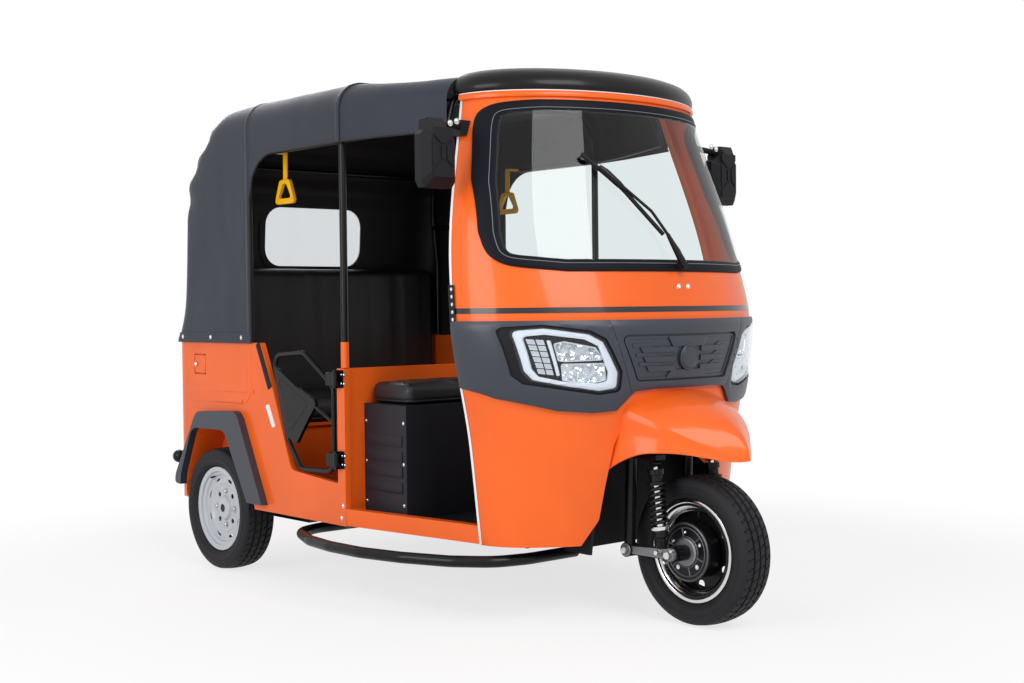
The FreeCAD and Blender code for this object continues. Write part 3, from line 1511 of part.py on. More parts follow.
def rear_suspension_shape():
    """Trailing arms on their cross tube, with the brake plates, stub shafts and half shafts."""
    pivot_radius = float(wheel_radius - rail_bottom) * -1 - float(size.seat_gap)
    y = float(arm_pivot_y)
    z = float(wheel_radius)
    axle = float(rear_axle_y)
    x = float(arm_x)
    width = float(size.arm_width)
    arm_height = float(size.arm_height)
    pieces = [Part.makeCylinder(pivot_radius, 2 * x + 2, Vector(-x - 1, y, z), Vector(1, 0, 0))]
    plate_x = float(rear_wheel_x + rear_drum_end - size.moving_gap)
    stub_end = float(rear_wheel_x + rear_hub_end - size.cap_thickness) - 1
    for side in (RIGHT, LEFT):
        near = side * x if side == LEFT else -x - width
        pieces.append(Part.makeBox(
            width, axle - y + 40, arm_height,
            Vector(near, y - 20, float(rail_bottom) - float(size.seat_gap) - arm_height)))
        plate = Part.makeCylinder(float(size.drum_radius) + 8, 8,
                                  Vector(side * plate_x, axle, z), Vector(-side, 0, 0))
        boss = Part.makeCylinder(24, plate_x - x - 2, Vector(side * (plate_x - 1), axle, z),
                                 Vector(-side, 0, 0))
        stub = Part.makeCylinder(float(size.stub_radius), stub_end - x,
                                 Vector(side * x, axle, z), Vector(side, 0, 0))
        pieces += [plate, boss, stub]
        shaft = Part.makeCylinder(
            13, x + 2 - float(engine_half + size.seat_gap),
            Vector(side * float(engine_half + size.seat_gap), axle, z), Vector(side, 0, 0))
        joint_boot = Part.makeCone(
            32, 18, 60, Vector(side * (float(size.rail_half_spacing + size.rail_width) + 8), axle, z),
            Vector(side, 0, 0))
        pieces += [shaft, joint_boot]
    return pieces[0].multiFuse(pieces[1:]).removeSplitter()


node(feature("rear_suspension", rear_suspension_shape()), "rear_suspension")


def muffler_shape():
    """The exhaust silencer across the rear with its tail pipe."""
    radius = float(size.muffler_radius)
    length = float(size.muffler_length)
    y = float(size.muffler_y)
    z = float(rail_bottom) - float(size.seat_gap) - radius
    can = Part.makeCylinder(radius, length, Vector(-length / 2, y, z), Vector(1, 0, 0))
    can = can.makeFillet(radius * 0.4, [edge for edge in can.Edges
                                        if edge.Curve.TypeId == "Part::GeomCircle"])
    pipe = tube([Vector(-length / 2 + 20, y, z), Vector(-length / 2 - 50, y, z),
                 Vector(-length / 2 - 60, y + 120, z - 10)], 14, 40)
    inlet_y = float(size.engine_front + size.engine_length)
    inlet = Part.makeCylinder(15, y - inlet_y - float(size.seat_gap),
                              Vector(60, inlet_y + float(size.seat_gap), z + 20), Vector(0, 1, 0))
    return can.multiFuse([pipe, inlet]).removeSplitter()


node(feature("muffler", muffler_shape()), "muffler")

# Step bars and rear bumper

STEP_ROUTE = [(218, 336), (560, 336), (668, 292), (743, 110), (764, -49), (760, -224), (720, -399),
              (648, -576), (552, -690), (430, -722), (218, -722)]


def step_bar_shape(side):
    """A step bar from the frame, out round the cab's doorway and back."""
    z = float(size.step_height)
    corners = [Vector(side * x, y, z) for x, y in STEP_ROUTE]
    bar = tube(corners, size.step_radius, 150)
    pieces = [bar]
    for x, y in (STEP_ROUTE[0], STEP_ROUTE[-1]):
        pieces.append(Part.makeBox(
            36, 36, float(rail_bottom) - float(size.seat_gap) - z,
            Vector(side * x - 18, y - 18, z)))
    return pieces[0].multiFuse(pieces[1:]).removeSplitter()


steps = Part.makeCompound([step_bar_shape(RIGHT), step_bar_shape(LEFT)])
node(feature("step_bars", steps), "step_bars")


def bumper_shape():
    """The bar across the rear with its end balls and two mounting stubs."""
    y = float(size.bumper_reach)
    z = float(size.bumper_height)
    half = float(size.bumper_half_width)
    pieces = [Part.makeCylinder(float(size.bumper_radius), 2 * half, Vector(-half, y, z),
                                Vector(1, 0, 0))]
    reach = y - float(size.tub_rear) - float(size.seat_gap)
    for side in (RIGHT, LEFT):
        pieces.append(Part.makeSphere(float(size.ball_radius), Vector(side * half, y, z)))
        pieces.append(Part.makeCylinder(16, reach, Vector(side * 470, y, z), Vector(0, -1, 0)))
        foot = float(size.tub_rear) + float(size.seat_gap)
        pieces.append(Part.makeCylinder(34, 6, Vector(side * 470, foot, z), Vector(0, 1, 0)))
    return pieces[0].multiFuse(pieces[1:]).removeSplitter()


node(feature("rear_bumper", bumper_shape()), "rear_bumper")

# Lamps and plate at the rear

rear_seat_y = size.tub_rear + size.seat_gap
lamp_blocks = []
for side, word in ((RIGHT, "right"), (LEFT, "left")):
    low_x = size.tail_lamp_x - size.tail_lamp_width / 2
    near = low_x if side == LEFT else -low_x - size.tail_lamp_width
    lamp_blocks.append(box(f"tail_{word}", (near, rear_seat_y, size.tail_lamp_low),
                           (size.tail_lamp_width, size.tail_lamp_depth, size.tail_lamp_height)))
tail_group = doc.addObject("Part::Compound", "tail_lamps")
tail_group.Links = lamp_blocks
node(tail_group, "tail_lamps")

plate_board = box("plate_board", (-size.plate_width / 2, rear_seat_y, size.plate_low),
                  (size.plate_width, size.plate_thickness, size.plate_height))
plate_mid_z = size.plate_low + size.plate_height / 2
plate_holes = fuse("plate_holes", [
    rod("plate_hole_right", (-size.plate_spacing / 2, rear_seat_y - 1, plate_mid_z), "y",
        size.plate_hole, size.plate_thickness + 2),
    rod("plate_hole_left", (size.plate_spacing / 2, rear_seat_y - 1, plate_mid_z), "y",
        size.plate_hole, size.plate_thickness + 2)])
node(cut("plate_bracket", plate_board, plate_holes), "plate_bracket")


# The mirror housing seen from the front: shares of its half width inwards and of its height down
MIRROR_RIM = [(-0.74, 0), (0.36, 0), (0.44, 0.17), (1, 0.27), (1, 0.9), (0.76, 1), (-0.82, 1),
              (-1, 0.9), (-1, 0.24), (-0.78, 0.17)]


def mirror_shape(side):
    """A mirror: faceted housing on its arm, with the foot on the cowl's pillar."""
    x = side * 702
    y = -575
    top = 1665
    height = float(size.mirror_height)
    half = float(size.mirror_width) / 2
    depth = float(size.mirror_depth)
    middle = top - height / 2
    rim = [Vector(x - side * across * half, y, top - down * height) for across, down in MIRROR_RIM]
    brow = [Vector(corner.x, y - depth * 0.55, corner.z) for corner in rim]
    face = [Vector(x + (corner.x - x) * 0.66, y - depth, middle + (corner.z - middle) * 0.72)
            for corner in rim]
    housing = Part.makeLoft([rounded(rim, 8), rounded(brow, 8), rounded(face, 6)], True, True)
    arm = tube([Vector(side * 520, -535, 1650), Vector(side * 600, -560, 1655),
                Vector(side * 690, -592, 1640)], 11, 40)
    foot = Part.makeBox(46, 60, 50, Vector(side * 545 - 23, -560, 1625))
    fused = housing.multiFuse([arm, foot])
    return fused.cut(cowl_solid(size.seat_gap, 1500, 1770, 40)).removeSplitter()


mirrors = Part.makeCompound([mirror_shape(RIGHT), mirror_shape(LEFT)])
node(feature("mirrors", mirrors), "mirrors")


def grab_handle_shape(side):
    """A triangular pull handle on its strap, hung from the canopy's side rail."""
    x = side * 570
    y = 510
    rail_z = float(size.post_top) + float(size.seat_gap) + frame_radius
    triangle = [(y - 34, 1556), (y + 34, 1556), (y + 72, 1462), (y - 72, 1462)]
    hole = [(y - 12, 1540), (y + 12, 1540), (y + 48, 1484), (y - 48, 1484)]
    ring = side_prism(triangle, 16, x - 8, x + 8).cut(side_prism(hole, 8, x - 10, x + 10))
    strap = Part.makeBox(6, 26, rail_z - 1548, Vector(x - 3, y - 13, 1548))
    near = x if side == LEFT else -hoop_x + frame_radius + 0.3
    bracket = Part.makeBox(hoop_x - frame_radius - 0.3 - 570 + 3, 26, 8,
                           Vector(near if side == RIGHT else x - 3, y - 13, rail_z - 4))
    return ring.multiFuse([strap, bracket]).removeSplitter()


handles = Part.makeCompound([grab_handle_shape(RIGHT), grab_handle_shape(LEFT)])
node(feature("grab_handles", handles), "grab_handles")

# Doors: a tube loop with a panel, on pins along the rear body's front edge

pin_x = float(outer_x) + 20
pin_y = float(size.tub_front) + 28
HINGE_HEIGHTS = (478, 770)
HINGE_SPAN = 64
DOOR_LOOP = [(502, 880), (290, 893), (96, 772), (96, 462), (318, 455), (404, 560)]
DOOR_PANEL = [(492, 842), (330, 760), (212, 716), (206, 700), (262, 640), (340, 548), (410, 575)]
door_x = float(outer_x) - float(size.door_tube)


def door_shape(side):
    """A door: the loop, its panel and the knuckles round the pins."""
    x = side * door_x
    corners = [Vector(x, y, z) for y, z in DOOR_LOOP]
    middle = (corners[3] + corners[4]) * 0.5
    loop = tube([middle] + corners[4:] + corners[:4] + [middle + Vector(0, -0.01, 0)],
                size.door_tube, 45)
    half_panel = float(size.door_tube) - 2
    panel = side_prism(DOOR_PANEL, 14, x - half_panel, x + half_panel)
    brace = tube([Vector(x, 230, 700), Vector(x, 96, 640)], half_panel, 20)
    pieces = [panel, brace]
    knuckle = float(size.pin_radius) + float(size.shaft_fit) + float(size.knuckle_wall)
    for low in HINGE_HEIGHTS:
        start = Vector(side * pin_x, pin_y, low + 8)
        sleeve = Part.makeCylinder(knuckle, HINGE_SPAN - 16, start)
        plate_y = pin_y
        leaf = Part.makeBox(6, 96 - pin_y + 6, HINGE_SPAN - 16,
                            Vector(side * pin_x - 3, plate_y, low + 8))
        reach = pin_x - door_x
        web = Part.makeBox(reach, 8, HINGE_SPAN - 16,
                           Vector(x - reach if side == RIGHT else x, 96 - 2, low + 8))
        pieces += [sleeve, leaf, web]
    whole = loop.multiFuse(pieces)
    bores = [Part.makeCylinder(float(size.pin_radius) + float(size.shaft_fit), HINGE_SPAN + 20,
                               Vector(side * pin_x, pin_y, low - 10)) for low in HINGE_HEIGHTS]
    return whole.cut(bores).removeSplitter()


def hinge_shape(side, low):
    """A fixed hinge half: plate on the pillar, two ears and the pin."""
    near = float(outer_x) + float(size.seat_gap)
    plate = Part.makeBox(4, 36, HINGE_SPAN, Vector(near, float(size.tub_front) + 4, low))
    ears = [Part.makeBox(pin_x + 8 - near, 16, 7.7, Vector(near, pin_y - 8, height))
            for height in (low, low + HINGE_SPAN - 7.7)]
    pin = Part.makeCylinder(float(size.pin_radius), HINGE_SPAN, Vector(pin_x, pin_y, low))
    whole = plate.multiFuse(ears + [pin]).removeSplitter()
    return whole if side == LEFT else mirrored(whole)


hinges = [hinge_shape(side, low) for side in (RIGHT, LEFT) for low in HINGE_HEIGHTS]
node(feature("door_hinges", Part.makeCompound(hinges)), "door_hinges")
node(feature("door_right", door_shape(RIGHT)), "door_right")
node(feature("door_left", door_shape(LEFT)), "door_left")

# Fuel flap and rear lid

FLAP_BARREL = 4
FLAP_PIN = 2
flap_gap = float(size.moving_gap)
flap_pin_x = float(outer_x) - FLAP_BARREL
flap_pin_y = float(size.flap_front) + FLAP_BARREL


def flap_shape():
    """The fuel flap in its recess, with its hinge barrel at the front edge."""
    low = float(size.flap_low)
    height = float(size.flap_height)
    plate = Part.makeBox(float(size.flap_sheet), float(size.flap_length) - FLAP_BARREL, height,
                         Vector(-float(outer_x), flap_pin_y, low))
    lock = Part.makeCylinder(9, 3, Vector(-float(outer_x), float(size.flap_front) + 64, low + 36),
                             Vector(-1, 0, 0))
    barrel = Part.makeCylinder(FLAP_BARREL, height, Vector(-flap_pin_x, flap_pin_y, low))
    bore = Part.makeCylinder(FLAP_PIN + float(size.shaft_fit), height + 20,
                             Vector(-flap_pin_x, flap_pin_y, low - 10))
    return plate.multiFuse([lock, barrel]).cut(bore).removeSplitter()


def flap_hinge_shape():
    """The flap's pin between two ears on the back of the recess."""
    low = float(size.flap_low)
    height = float(size.flap_height)
    ear = flap_gap - 1.2
    back = float(outer_x) - float(size.flap_sheet) - flap_gap + float(size.seat_gap)
    pin = Part.makeCylinder(FLAP_PIN, height + 2 * ear + 1.2,
                            Vector(-flap_pin_x, flap_pin_y, low - ear - 0.6))
    ears = [Part.makeBox(flap_pin_x + 3 - back, 7, ear,
                         Vector(-flap_pin_x - 3, flap_pin_y - 3.5, z))
            for z in (low - ear - 0.6, low + height + 0.6)]
    return pin.multiFuse(ears).removeSplitter()


node(feature("fuel_flap", flap_shape()), "fuel_flap")
node(feature("flap_hinge", flap_hinge_shape()), "flap_hinge")

lid_pin_y = float(size.tub_rear) + 14
lid_pin_z = float(size.lid_high) + 8
LID_HINGES = (-260, 200)
LID_HINGE_LENGTH = 60


def lid_shape():
    """The rear lid with its hinge arms and a recessed pull."""
    half = float(size.lid_half_width)
    low = float(size.lid_low)
    high = float(size.lid_high)
    plate = grown([(-half, low), (half, low), (half, high), (-half, high)], 24, 0,
                  float(size.tub_rear) - float(size.tub_wall), float(size.tub_wall))
    pull = Part.makeBox(120, 14, 34, Vector(-60, float(size.tub_rear) - 14, low + 40))
    pieces = []
    bores = []
    for x in LID_HINGES:
        pieces.append(Part.makeCylinder(10, LID_HINGE_LENGTH, Vector(x, lid_pin_y, lid_pin_z),
                                        Vector(1, 0, 0)))
        pieces.append(Part.makeBox(LID_HINGE_LENGTH, 9, 50, Vector(
            x, float(size.tub_rear) - 1, high - 50)))
        pieces.append(Part.makeBox(LID_HINGE_LENGTH, 8, lid_pin_z - high + 10, Vector(
            x, float(size.tub_rear) + float(size.seat_gap), high - 10)))
        bores.append(Part.makeCylinder(
            float(size.pin_radius) + float(size.shaft_fit), LID_HINGE_LENGTH + 20,
            Vector(x - 10, lid_pin_y, lid_pin_z), Vector(1, 0, 0)))
    return plate.cut(pull).multiFuse(pieces).cut(bores).removeSplitter()


def lid_hinge_shape(x):
    """A fixed hinge half of the rear lid."""
    seat = float(size.tub_rear) + float(size.seat_gap)
    ears = [Part.makeBox(10, lid_pin_y + 9 - seat, 34, Vector(start, seat, lid_pin_z - 9))
            for start in (x - 10.3, x + LID_HINGE_LENGTH + 0.3)]
    pin = Part.makeCylinder(float(size.pin_radius), LID_HINGE_LENGTH + 20.6,
                            Vector(x - 10.3, lid_pin_y, lid_pin_z), Vector(1, 0, 0))
    return ears[0].multiFuse([ears[1], pin]).removeSplitter()


node(feature("rear_lid", lid_shape()), "rear_lid")
lid_hinges = Part.makeCompound([lid_hinge_shape(x) for x in LID_HINGES])
node(feature("lid_hinges", lid_hinges), "lid_hinges")

# Check every object and write the pieces

doc.recompute()
for thing in doc.Objects:
    if "Invalid" in thing.State or "Error" in thing.State:
        raise RuntimeError(f"{thing.Name} failed: {thing.State}")
os.makedirs("parts", exist_ok=True)
whole_box = FreeCAD.BoundBox()
for thing in nodes:
    shape = thing.Shape
    if shape.isNull() or not shape.isValid():
        raise RuntimeError(f"{thing.Label} has no valid shape")
    shape.exportStep(f"parts/{thing.Label}.step")
    whole_box.add(shape.BoundBox)
    print(thing.Label, len(shape.Solids), round(shape.Volume / 1e6, 2))
print(len(nodes), "pieces", whole_box)
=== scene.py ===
# %% [markdown]
# This lesson dresses an auto rickshaw, a three-wheeled taxi with a steel cowl, open sides and a cloth
# top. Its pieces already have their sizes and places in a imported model, which is loaded here as a fixed
# frame. Everything below is in metres in that frame: it drives towards -Y, +X is the driver's left and +Z
# is up.

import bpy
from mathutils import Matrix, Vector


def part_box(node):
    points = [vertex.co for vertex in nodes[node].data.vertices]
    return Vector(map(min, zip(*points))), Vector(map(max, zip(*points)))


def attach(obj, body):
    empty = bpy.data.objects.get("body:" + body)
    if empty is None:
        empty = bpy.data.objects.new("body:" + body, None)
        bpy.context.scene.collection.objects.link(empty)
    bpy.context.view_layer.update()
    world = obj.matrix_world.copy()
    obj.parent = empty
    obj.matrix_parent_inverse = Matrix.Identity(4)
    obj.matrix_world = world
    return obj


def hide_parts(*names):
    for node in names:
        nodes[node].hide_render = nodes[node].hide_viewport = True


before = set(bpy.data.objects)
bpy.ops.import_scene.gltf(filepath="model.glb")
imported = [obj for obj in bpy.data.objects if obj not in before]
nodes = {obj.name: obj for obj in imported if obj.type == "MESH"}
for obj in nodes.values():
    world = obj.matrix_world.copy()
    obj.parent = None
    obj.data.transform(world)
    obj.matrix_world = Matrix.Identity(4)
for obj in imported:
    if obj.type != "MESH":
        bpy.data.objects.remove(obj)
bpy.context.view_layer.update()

# %% Modules
import math
import random

import bmesh
import bpy
import numpy as np
from mathutils import Matrix, Vector, noise
from mathutils.geometry import delaunay_2d_cdt

RIGHT = -1
LEFT = 1
SIDES = (RIGHT, LEFT)
WORDS = {RIGHT: "right", LEFT: "left"}

# %% [markdown]
# The camera stands ahead and to the right of the vehicle at a standing person's chest height. Its place,
# aim and lens were fitted to known points of the object, such as wheel centres and roof corners, so that
# the picture lines up with the photograph. A slight roll is part of that fit.

# %% Camera
CAMERA_PLACE = Vector((-3.565, -4.221, 1.057))
CAMERA_YAW = math.radians(48.733)
CAMERA_PITCH = math.radians(-1.415)
CAMERA_ROLL = math.radians(-0.616)
CAMERA_LENS = 50.14


def make_camera():
    """A camera whose axes are worked out from yaw, pitch and roll."""
    ahead = Vector((math.cos(CAMERA_PITCH) * math.cos(CAMERA_YAW),
                    math.cos(CAMERA_PITCH) * math.sin(CAMERA_YAW), math.sin(CAMERA_PITCH)))
    across = Vector((math.sin(CAMERA_YAW), -math.cos(CAMERA_YAW), 0))
    upward = across.cross(ahead)
    right = across * math.cos(CAMERA_ROLL) + upward * math.sin(CAMERA_ROLL)
    up = upward * math.cos(CAMERA_ROLL) - across * math.sin(CAMERA_ROLL)
    lens = bpy.data.cameras.new("camera")
    lens.sensor_width = 36
    lens.lens = CAMERA_LENS
    camera = bpy.data.objects.new("camera", lens)
    camera.matrix_world = Matrix((
        (right.x, up.x, -ahead.x, CAMERA_PLACE.x), (right.y, up.y, -ahead.y, CAMERA_PLACE.y),
        (right.z, up.z, -ahead.z, CAMERA_PLACE.z), (0, 0, 0, 1)))
    bpy.context.scene.collection.objects.link(camera)
    bpy.context.scene.camera = camera


make_camera()
bpy.context.scene.view_settings.view_transform = "Standard"
print("camera at", tuple(CAMERA_PLACE))

# %% [markdown]
# A finish is a small graph of shader nodes. Written node by node it is long and hard to read, so a socket
# is wrapped in a class whose operators add the Math nodes: 1 - mask * 0.3 then reads as what it is. Two
# plain numbers never reach a node, because Python has worked them out before.

# %% Shader values as expressions


class Signal:
    """A shader node's output that can be used in an expression."""

    def __init__(self, finish, socket):
        self.finish = finish
        self.socket = socket

    def combine(self, operation, *values):
        """A Math node."""
        return self.finish.node("ShaderNodeMath", {"operation": operation}, dict(enumerate(values)))

    def __add__(self, other):
        return self.combine("ADD", self, other)

    def __radd__(self, other):
        return self.combine("ADD", other, self)

    def __sub__(self, other):
        return self.combine("SUBTRACT", self, other)

    def __rsub__(self, other):
        return self.combine("SUBTRACT", other, self)

    def __mul__(self, other):
        return self.combine("MULTIPLY", self, other)

    def __rmul__(self, other):
        return self.combine("MULTIPLY", self, other)

    def wave(self, period):
        """A sine of this value, from -1 to 1, with a period in metres."""
        return self.combine("SINE", self * (2 * math.pi / period))

    def between(self, low, high):
        """0 below low, 1 above high, and smooth between them."""
        return self.finish.node(
            "ShaderNodeMapRange", {"interpolation_type": "SMOOTHSTEP"},
            {"Value": self, "From Min": low, "From Max": high})


class Graph:
    """A tree of shader nodes that ends in one output."""

    def __init__(self, tree, output):
        self.tree = tree
        self.tree.nodes.clear()
        self.output = self.tree.nodes.new(output)

    def feed(self, socket, value):
        """A number, a colour or a signal into one socket."""
        if isinstance(value, Signal):
            self.tree.links.new(value.socket, socket)
        elif socket.type == "RGBA" and len(value) == 3:
            socket.default_value = (*value, 1)
        else:
            socket.default_value = value

    def node(self, kind, settings=None, sockets=None, output=0):
        """Any node: its settings come first, then its sockets."""
        made = self.tree.nodes.new(kind)
        for key, value in (settings or {}).items():
            setattr(made, key, value)
        for key, value in (sockets or {}).items():
            self.feed(made.inputs[key], value)
        return Signal(self, made.outputs[output])

    def end_with(self, signal):
        """The shader that reaches the output."""
        self.tree.links.new(signal.socket, self.output.inputs[0])

    def seen_directly(self):
        """1 for camera, mirror and glass rays, and 0 for all other light."""
        seen = self.node("ShaderNodeLightPath", output="Is Camera Ray")
        for name in ("Is Glossy Ray", "Is Transmission Ray"):
            other = self.node("ShaderNodeLightPath", output=name)
            seen = seen.combine("MAXIMUM", seen, other)
        return seen


class Finish(Graph):
    """A material round one Principled shader."""

    def __init__(self, name, **settings):
        self.material = bpy.data.materials.new(name)
        self.material.use_nodes = True
        super().__init__(self.material.node_tree, "ShaderNodeOutputMaterial")
        self.shader = self.node("ShaderNodeBsdfPrincipled")
        self.end_with(self.shader)
        self.set(**settings)

    def set(self, **sockets):
        """The shader's own sockets, with underscores for the spaces in their names."""
        for key, value in sockets.items():
            name = key.replace("_", " ").title().replace("Ior", "IOR")
            self.feed(self.shader.socket.node.inputs[name], value)

    def place(self):
        """Where a point of the piece is, in metres."""
        return self.node("ShaderNodeTexCoord", output="Object")

    def axes(self):
        """The same place as three separate signals."""
        split = self.node("ShaderNodeSeparateXYZ", {}, {0: self.place()})
        outputs = split.socket.node.outputs
        return [Signal(self, outputs[index]) for index in range(3)]

    def noise(self, size, detail=3.0, roughness=0.5):
        """Smooth noise, about 0 to 1, whose features are of a size in metres."""
        return self.node("ShaderNodeTexNoise", {}, {
            "Vector": self.place(), "Scale": 1 / size, "Detail": detail, "Roughness": roughness})

    def blend(self, mask, first, second):
        """One colour into another along a mask."""
        return self.node("ShaderNodeMix", {"data_type": "RGBA"}, {0: mask, 6: first, 7: second},
                         output=2)

    def bump(self, height, depth):
        """A height in 0 to 1 as a relief of a depth in metres."""
        self.set(normal=self.node("ShaderNodeBump", {}, {"Distance": depth, "Height": height}))

    def tint(self, mask, colour, deepest):
        """The base colour, which drifts along a mask from a deeper shade to the colour itself."""
        deep = tuple(channel * deepest for channel in colour)
        self.set(base_color=self.blend(mask, deep, colour))


print("shader expressions are ready")

# %% [markdown]
# The body is bright orange enamel under clear lacquer. Sprayed paint is never optically flat: a faint
# orange-peel relief a couple of millimetres wide softens its reflections, and the colour drifts a little.
# Lacquer is the shader's coat, so the colour beneath can stay soft while the reflections stay sharp.

# %% Paints
ORANGE = (0.86, 0.125, 0.010)


def enamel(name, colour, roughness=0.42, coat=0.34, peel=0.00006, specular=0.2):
    """Sprayed paint with a clear coat."""
    finish = Finish(name, roughness=roughness, coat_weight=coat, coat_roughness=0.10,
                    specular_ior_level=specular)
    drift = finish.noise(0.35, 2.0)
    finish.tint(drift.between(0.35, 0.65), colour, 0.93)
    finish.bump(finish.noise(0.004, 1.0), peel)
    return finish.material


orange_paint = enamel("orange_enamel", ORANGE)
black_paint = enamel("black_enamel", (0.004, 0.004, 0.005), 0.34, 0.14, 0.00012, 0.16)
stripe_paint = enamel("pinstripe_black", (0.014, 0.014, 0.016), 0.3, 0.6, 0.00003)
silver_paint = enamel("wheel_silver", (0.50, 0.52, 0.56), 0.34, 0.5, 0.00008)
# One white for the real edging strip on the door edges and for a painted highlight along the cowl's lip.
edging_and_highlight = enamel("edging_and_painted_highlight", (0.82, 0.83, 0.84), 0.25, 0.6, 0.00002)
dull_line = enamel("dull_line", (0.20, 0.21, 0.23), 0.3, 0.3, 0.00002)
print("paints:", orange_paint.name, black_paint.name, silver_paint.name)

# %% [markdown]
# The band round the lamps, the arches and the mirrors are moulded in a blue-black plastic with a fine
# grain. The grain comes from the mould, so it is even all over: small cells, each a fraction of a
# millimetre deep.

# %% Moulded plastics


def moulded(name, colour, roughness=0.42, cell=0.0011, depth=0.00012, specular=0.3):
    """Moulded plastic with a grained face."""
    finish = Finish(name, specular_ior_level=specular)
    cells = finish.node("ShaderNodeTexVoronoi", {"feature": "SMOOTH_F1"}, {
        "Vector": finish.place(), "Scale": 1 / cell})
    patches = finish.noise(0.12, 3.0)
    finish.tint(patches, colour, 0.85)
    finish.set(roughness=roughness + patches * 0.08)
    finish.bump(cells, depth)
    return finish.material


dark_plastic = moulded("dark_moulding", (0.026, 0.031, 0.046), 0.36, specular=0.5)
trim_plastic = moulded("black_moulding", (0.007, 0.007, 0.010), 0.5, specular=0.2)
seat_shell = moulded("seat_shell", (0.014, 0.015, 0.021), 0.46, specular=0.25)
yellow_plastic = moulded("yellow_moulding", (0.93, 0.47, 0.008), 0.32, 0.002, 0.00003)
white_plastic = moulded("white_lightguide", (0.86, 0.88, 0.90), 0.25, 0.003, 0.00002)
rubber = moulded("black_rubber", (0.005, 0.006, 0.010), 0.5, 0.0016, 0.0001, 0.1)
print("plastics:", dark_plastic.name, yellow_plastic.name)

# %% [markdown]
# The top is a coated cloth, dark slate with a soft sheen, and its threads show only close up. Threads
# crossing at right angles are a product of sine waves. The top wraps round every axis, so all three pairs
# are summed.

# %% Coated cloth


def coated_cloth(name, colour, thread=0.0016):
    """A woven cloth under a matt coat, with faint wide wrinkles."""
    finish = Finish(name, specular_ior_level=0.22, sheen_weight=0.10, sheen_roughness=0.5)
    x, y, z = [axis.wave(thread) for axis in finish.axes()]
    weave = (x * y + y * z + x * z) * 0.16 + 0.5
    cloud = finish.noise(0.16, 4.0)
    fine = finish.noise(0.022, 3.0)
    finish.tint(cloud, colour, 0.78)
    finish.set(roughness=0.44 + fine * 0.12)
    finish.bump(weave * 0.10 + cloud * 0.55 + fine * 0.12, 0.0016)
    return finish.material


canopy_cloth = coated_cloth("canopy_cloth", (0.022, 0.026, 0.042))
lining_cloth = coated_cloth("lining_cloth", (0.011, 0.011, 0.013), 0.002)
print("cloths:", canopy_cloth.name, lining_cloth.name)

# %% [markdown]
# The seats are covered in black vinyl. Its print imitates hide: small uneven cells with soft creases
# between them, which a smooth Voronoi gives, with a wider noise under it so that the shine breaks up.

# %% Vinyl


def grained_vinyl(name, colour, roughness):
    """Sheet vinyl printed with a hide grain."""
    finish = Finish(name, specular_ior_level=0.35, coat_weight=0.10, coat_roughness=0.3)
    cells = finish.node("ShaderNodeTexVoronoi", {"feature": "DISTANCE_TO_EDGE"}, {
        "Vector": finish.place(), "Scale": 1 / 0.0026})
    creases = cells.between(0.0, 0.16)
    wide = finish.noise(0.05, 4.0)
    finish.tint(wide, colour, 0.8)
    finish.set(roughness=roughness + wide * 0.14 - creases * 0.05)
    finish.bump(creases * 0.4 + wide * 0.6, 0.0006)
    return finish.material


seat_vinyl = grained_vinyl("seat_vinyl", (0.009, 0.009, 0.012), 0.36)
print("vinyl:", seat_vinyl.name)

# %% [markdown]
# Metals differ in how they were made: a casting is rough and dull, zinc is mottled, and polished steel is
# plain. The metallic value is a constant on the shader, and only roughness and colour drift with noise.

# %% Metals


def bare_metal(name, colour, roughness, mottle=0.02, relief=0.0001, metallic=1.0):
    """Bare or plated metal whose shine varies in patches."""
    finish = Finish(name, metallic=metallic)
    patches = finish.noise(mottle, 4.0)
    finish.tint(patches, colour, 0.72)
    finish.set(roughness=roughness + patches * 0.16)
    finish.bump(finish.noise(mottle * 0.12, 3.0), relief)
    return finish.material


zinc = bare_metal("zinc_plate", (0.56, 0.56, 0.57), 0.24)
chrome = bare_metal("chrome_plate", (0.80, 0.80, 0.81), 0.06, 0.05, 0.00001)
casting = bare_metal("raw_casting", (0.26, 0.26, 0.27), 0.48, 0.03, 0.0004)
drum_iron = bare_metal("drum_iron", (0.12, 0.12, 0.13), 0.40, 0.03, 0.0003)
reflector_metal = bare_metal("lamp_reflector", (0.86, 0.87, 0.88), 0.10, 0.03, 0.00001)
print("metals:", zinc.name, casting.name)

# %% [markdown]
# Glass is thin here, so a refracting solid would only cost light: a mix of a clear pass-through and a
# gloss, weighted by Fresnel, looks the same and lets the seats show through the windscreen.

# %% Glass, lenses and clear film
GLASS_INDEX = 1.42
GLASS_SHINE = 0.7
HAZE_COLOUR = (0.8, 0.8, 0.8)


def thin_glass(name, tint, gloss_roughness=0.0, haze=0.0):
    """A thin clear sheet: tinted pass-through, reflections by Fresnel and an optional haze."""
    finish = Finish(name)
    clear = finish.node("ShaderNodeBsdfTransparent", {}, {"Color": tint})
    gloss = finish.node("ShaderNodeBsdfGlossy", {}, {
        "Color": (1, 1, 1), "Roughness": gloss_roughness})
    fresnel = finish.node("ShaderNodeFresnel", {}, {"IOR": GLASS_INDEX})
    leaving = finish.node("ShaderNodeNewGeometry", output="Backfacing")
    reflected = fresnel * (1 - leaving) * GLASS_SHINE
    sheet_shader = finish.node("ShaderNodeMixShader", {}, {0: reflected, 1: clear, 2: gloss})
    if haze:
        milk = finish.node("ShaderNodeBsdfDiffuse", {}, {"Color": HAZE_COLOUR})
        sheet_shader = finish.node("ShaderNodeMixShader", {}, {0: haze, 1: sheet_shader, 2: milk})
    finish.end_with(sheet_shader)
    finish.tree.nodes.remove(finish.shader.socket.node)
    return finish.material


screen_glass = thin_glass("screen_glass", (0.86, 0.90, 0.90))
window_film = thin_glass("window_film", (0.93, 0.95, 0.96), 0.08, 0.14)
lens_clear = thin_glass("lamp_lens", (0.93, 0.95, 0.97), 0.02)


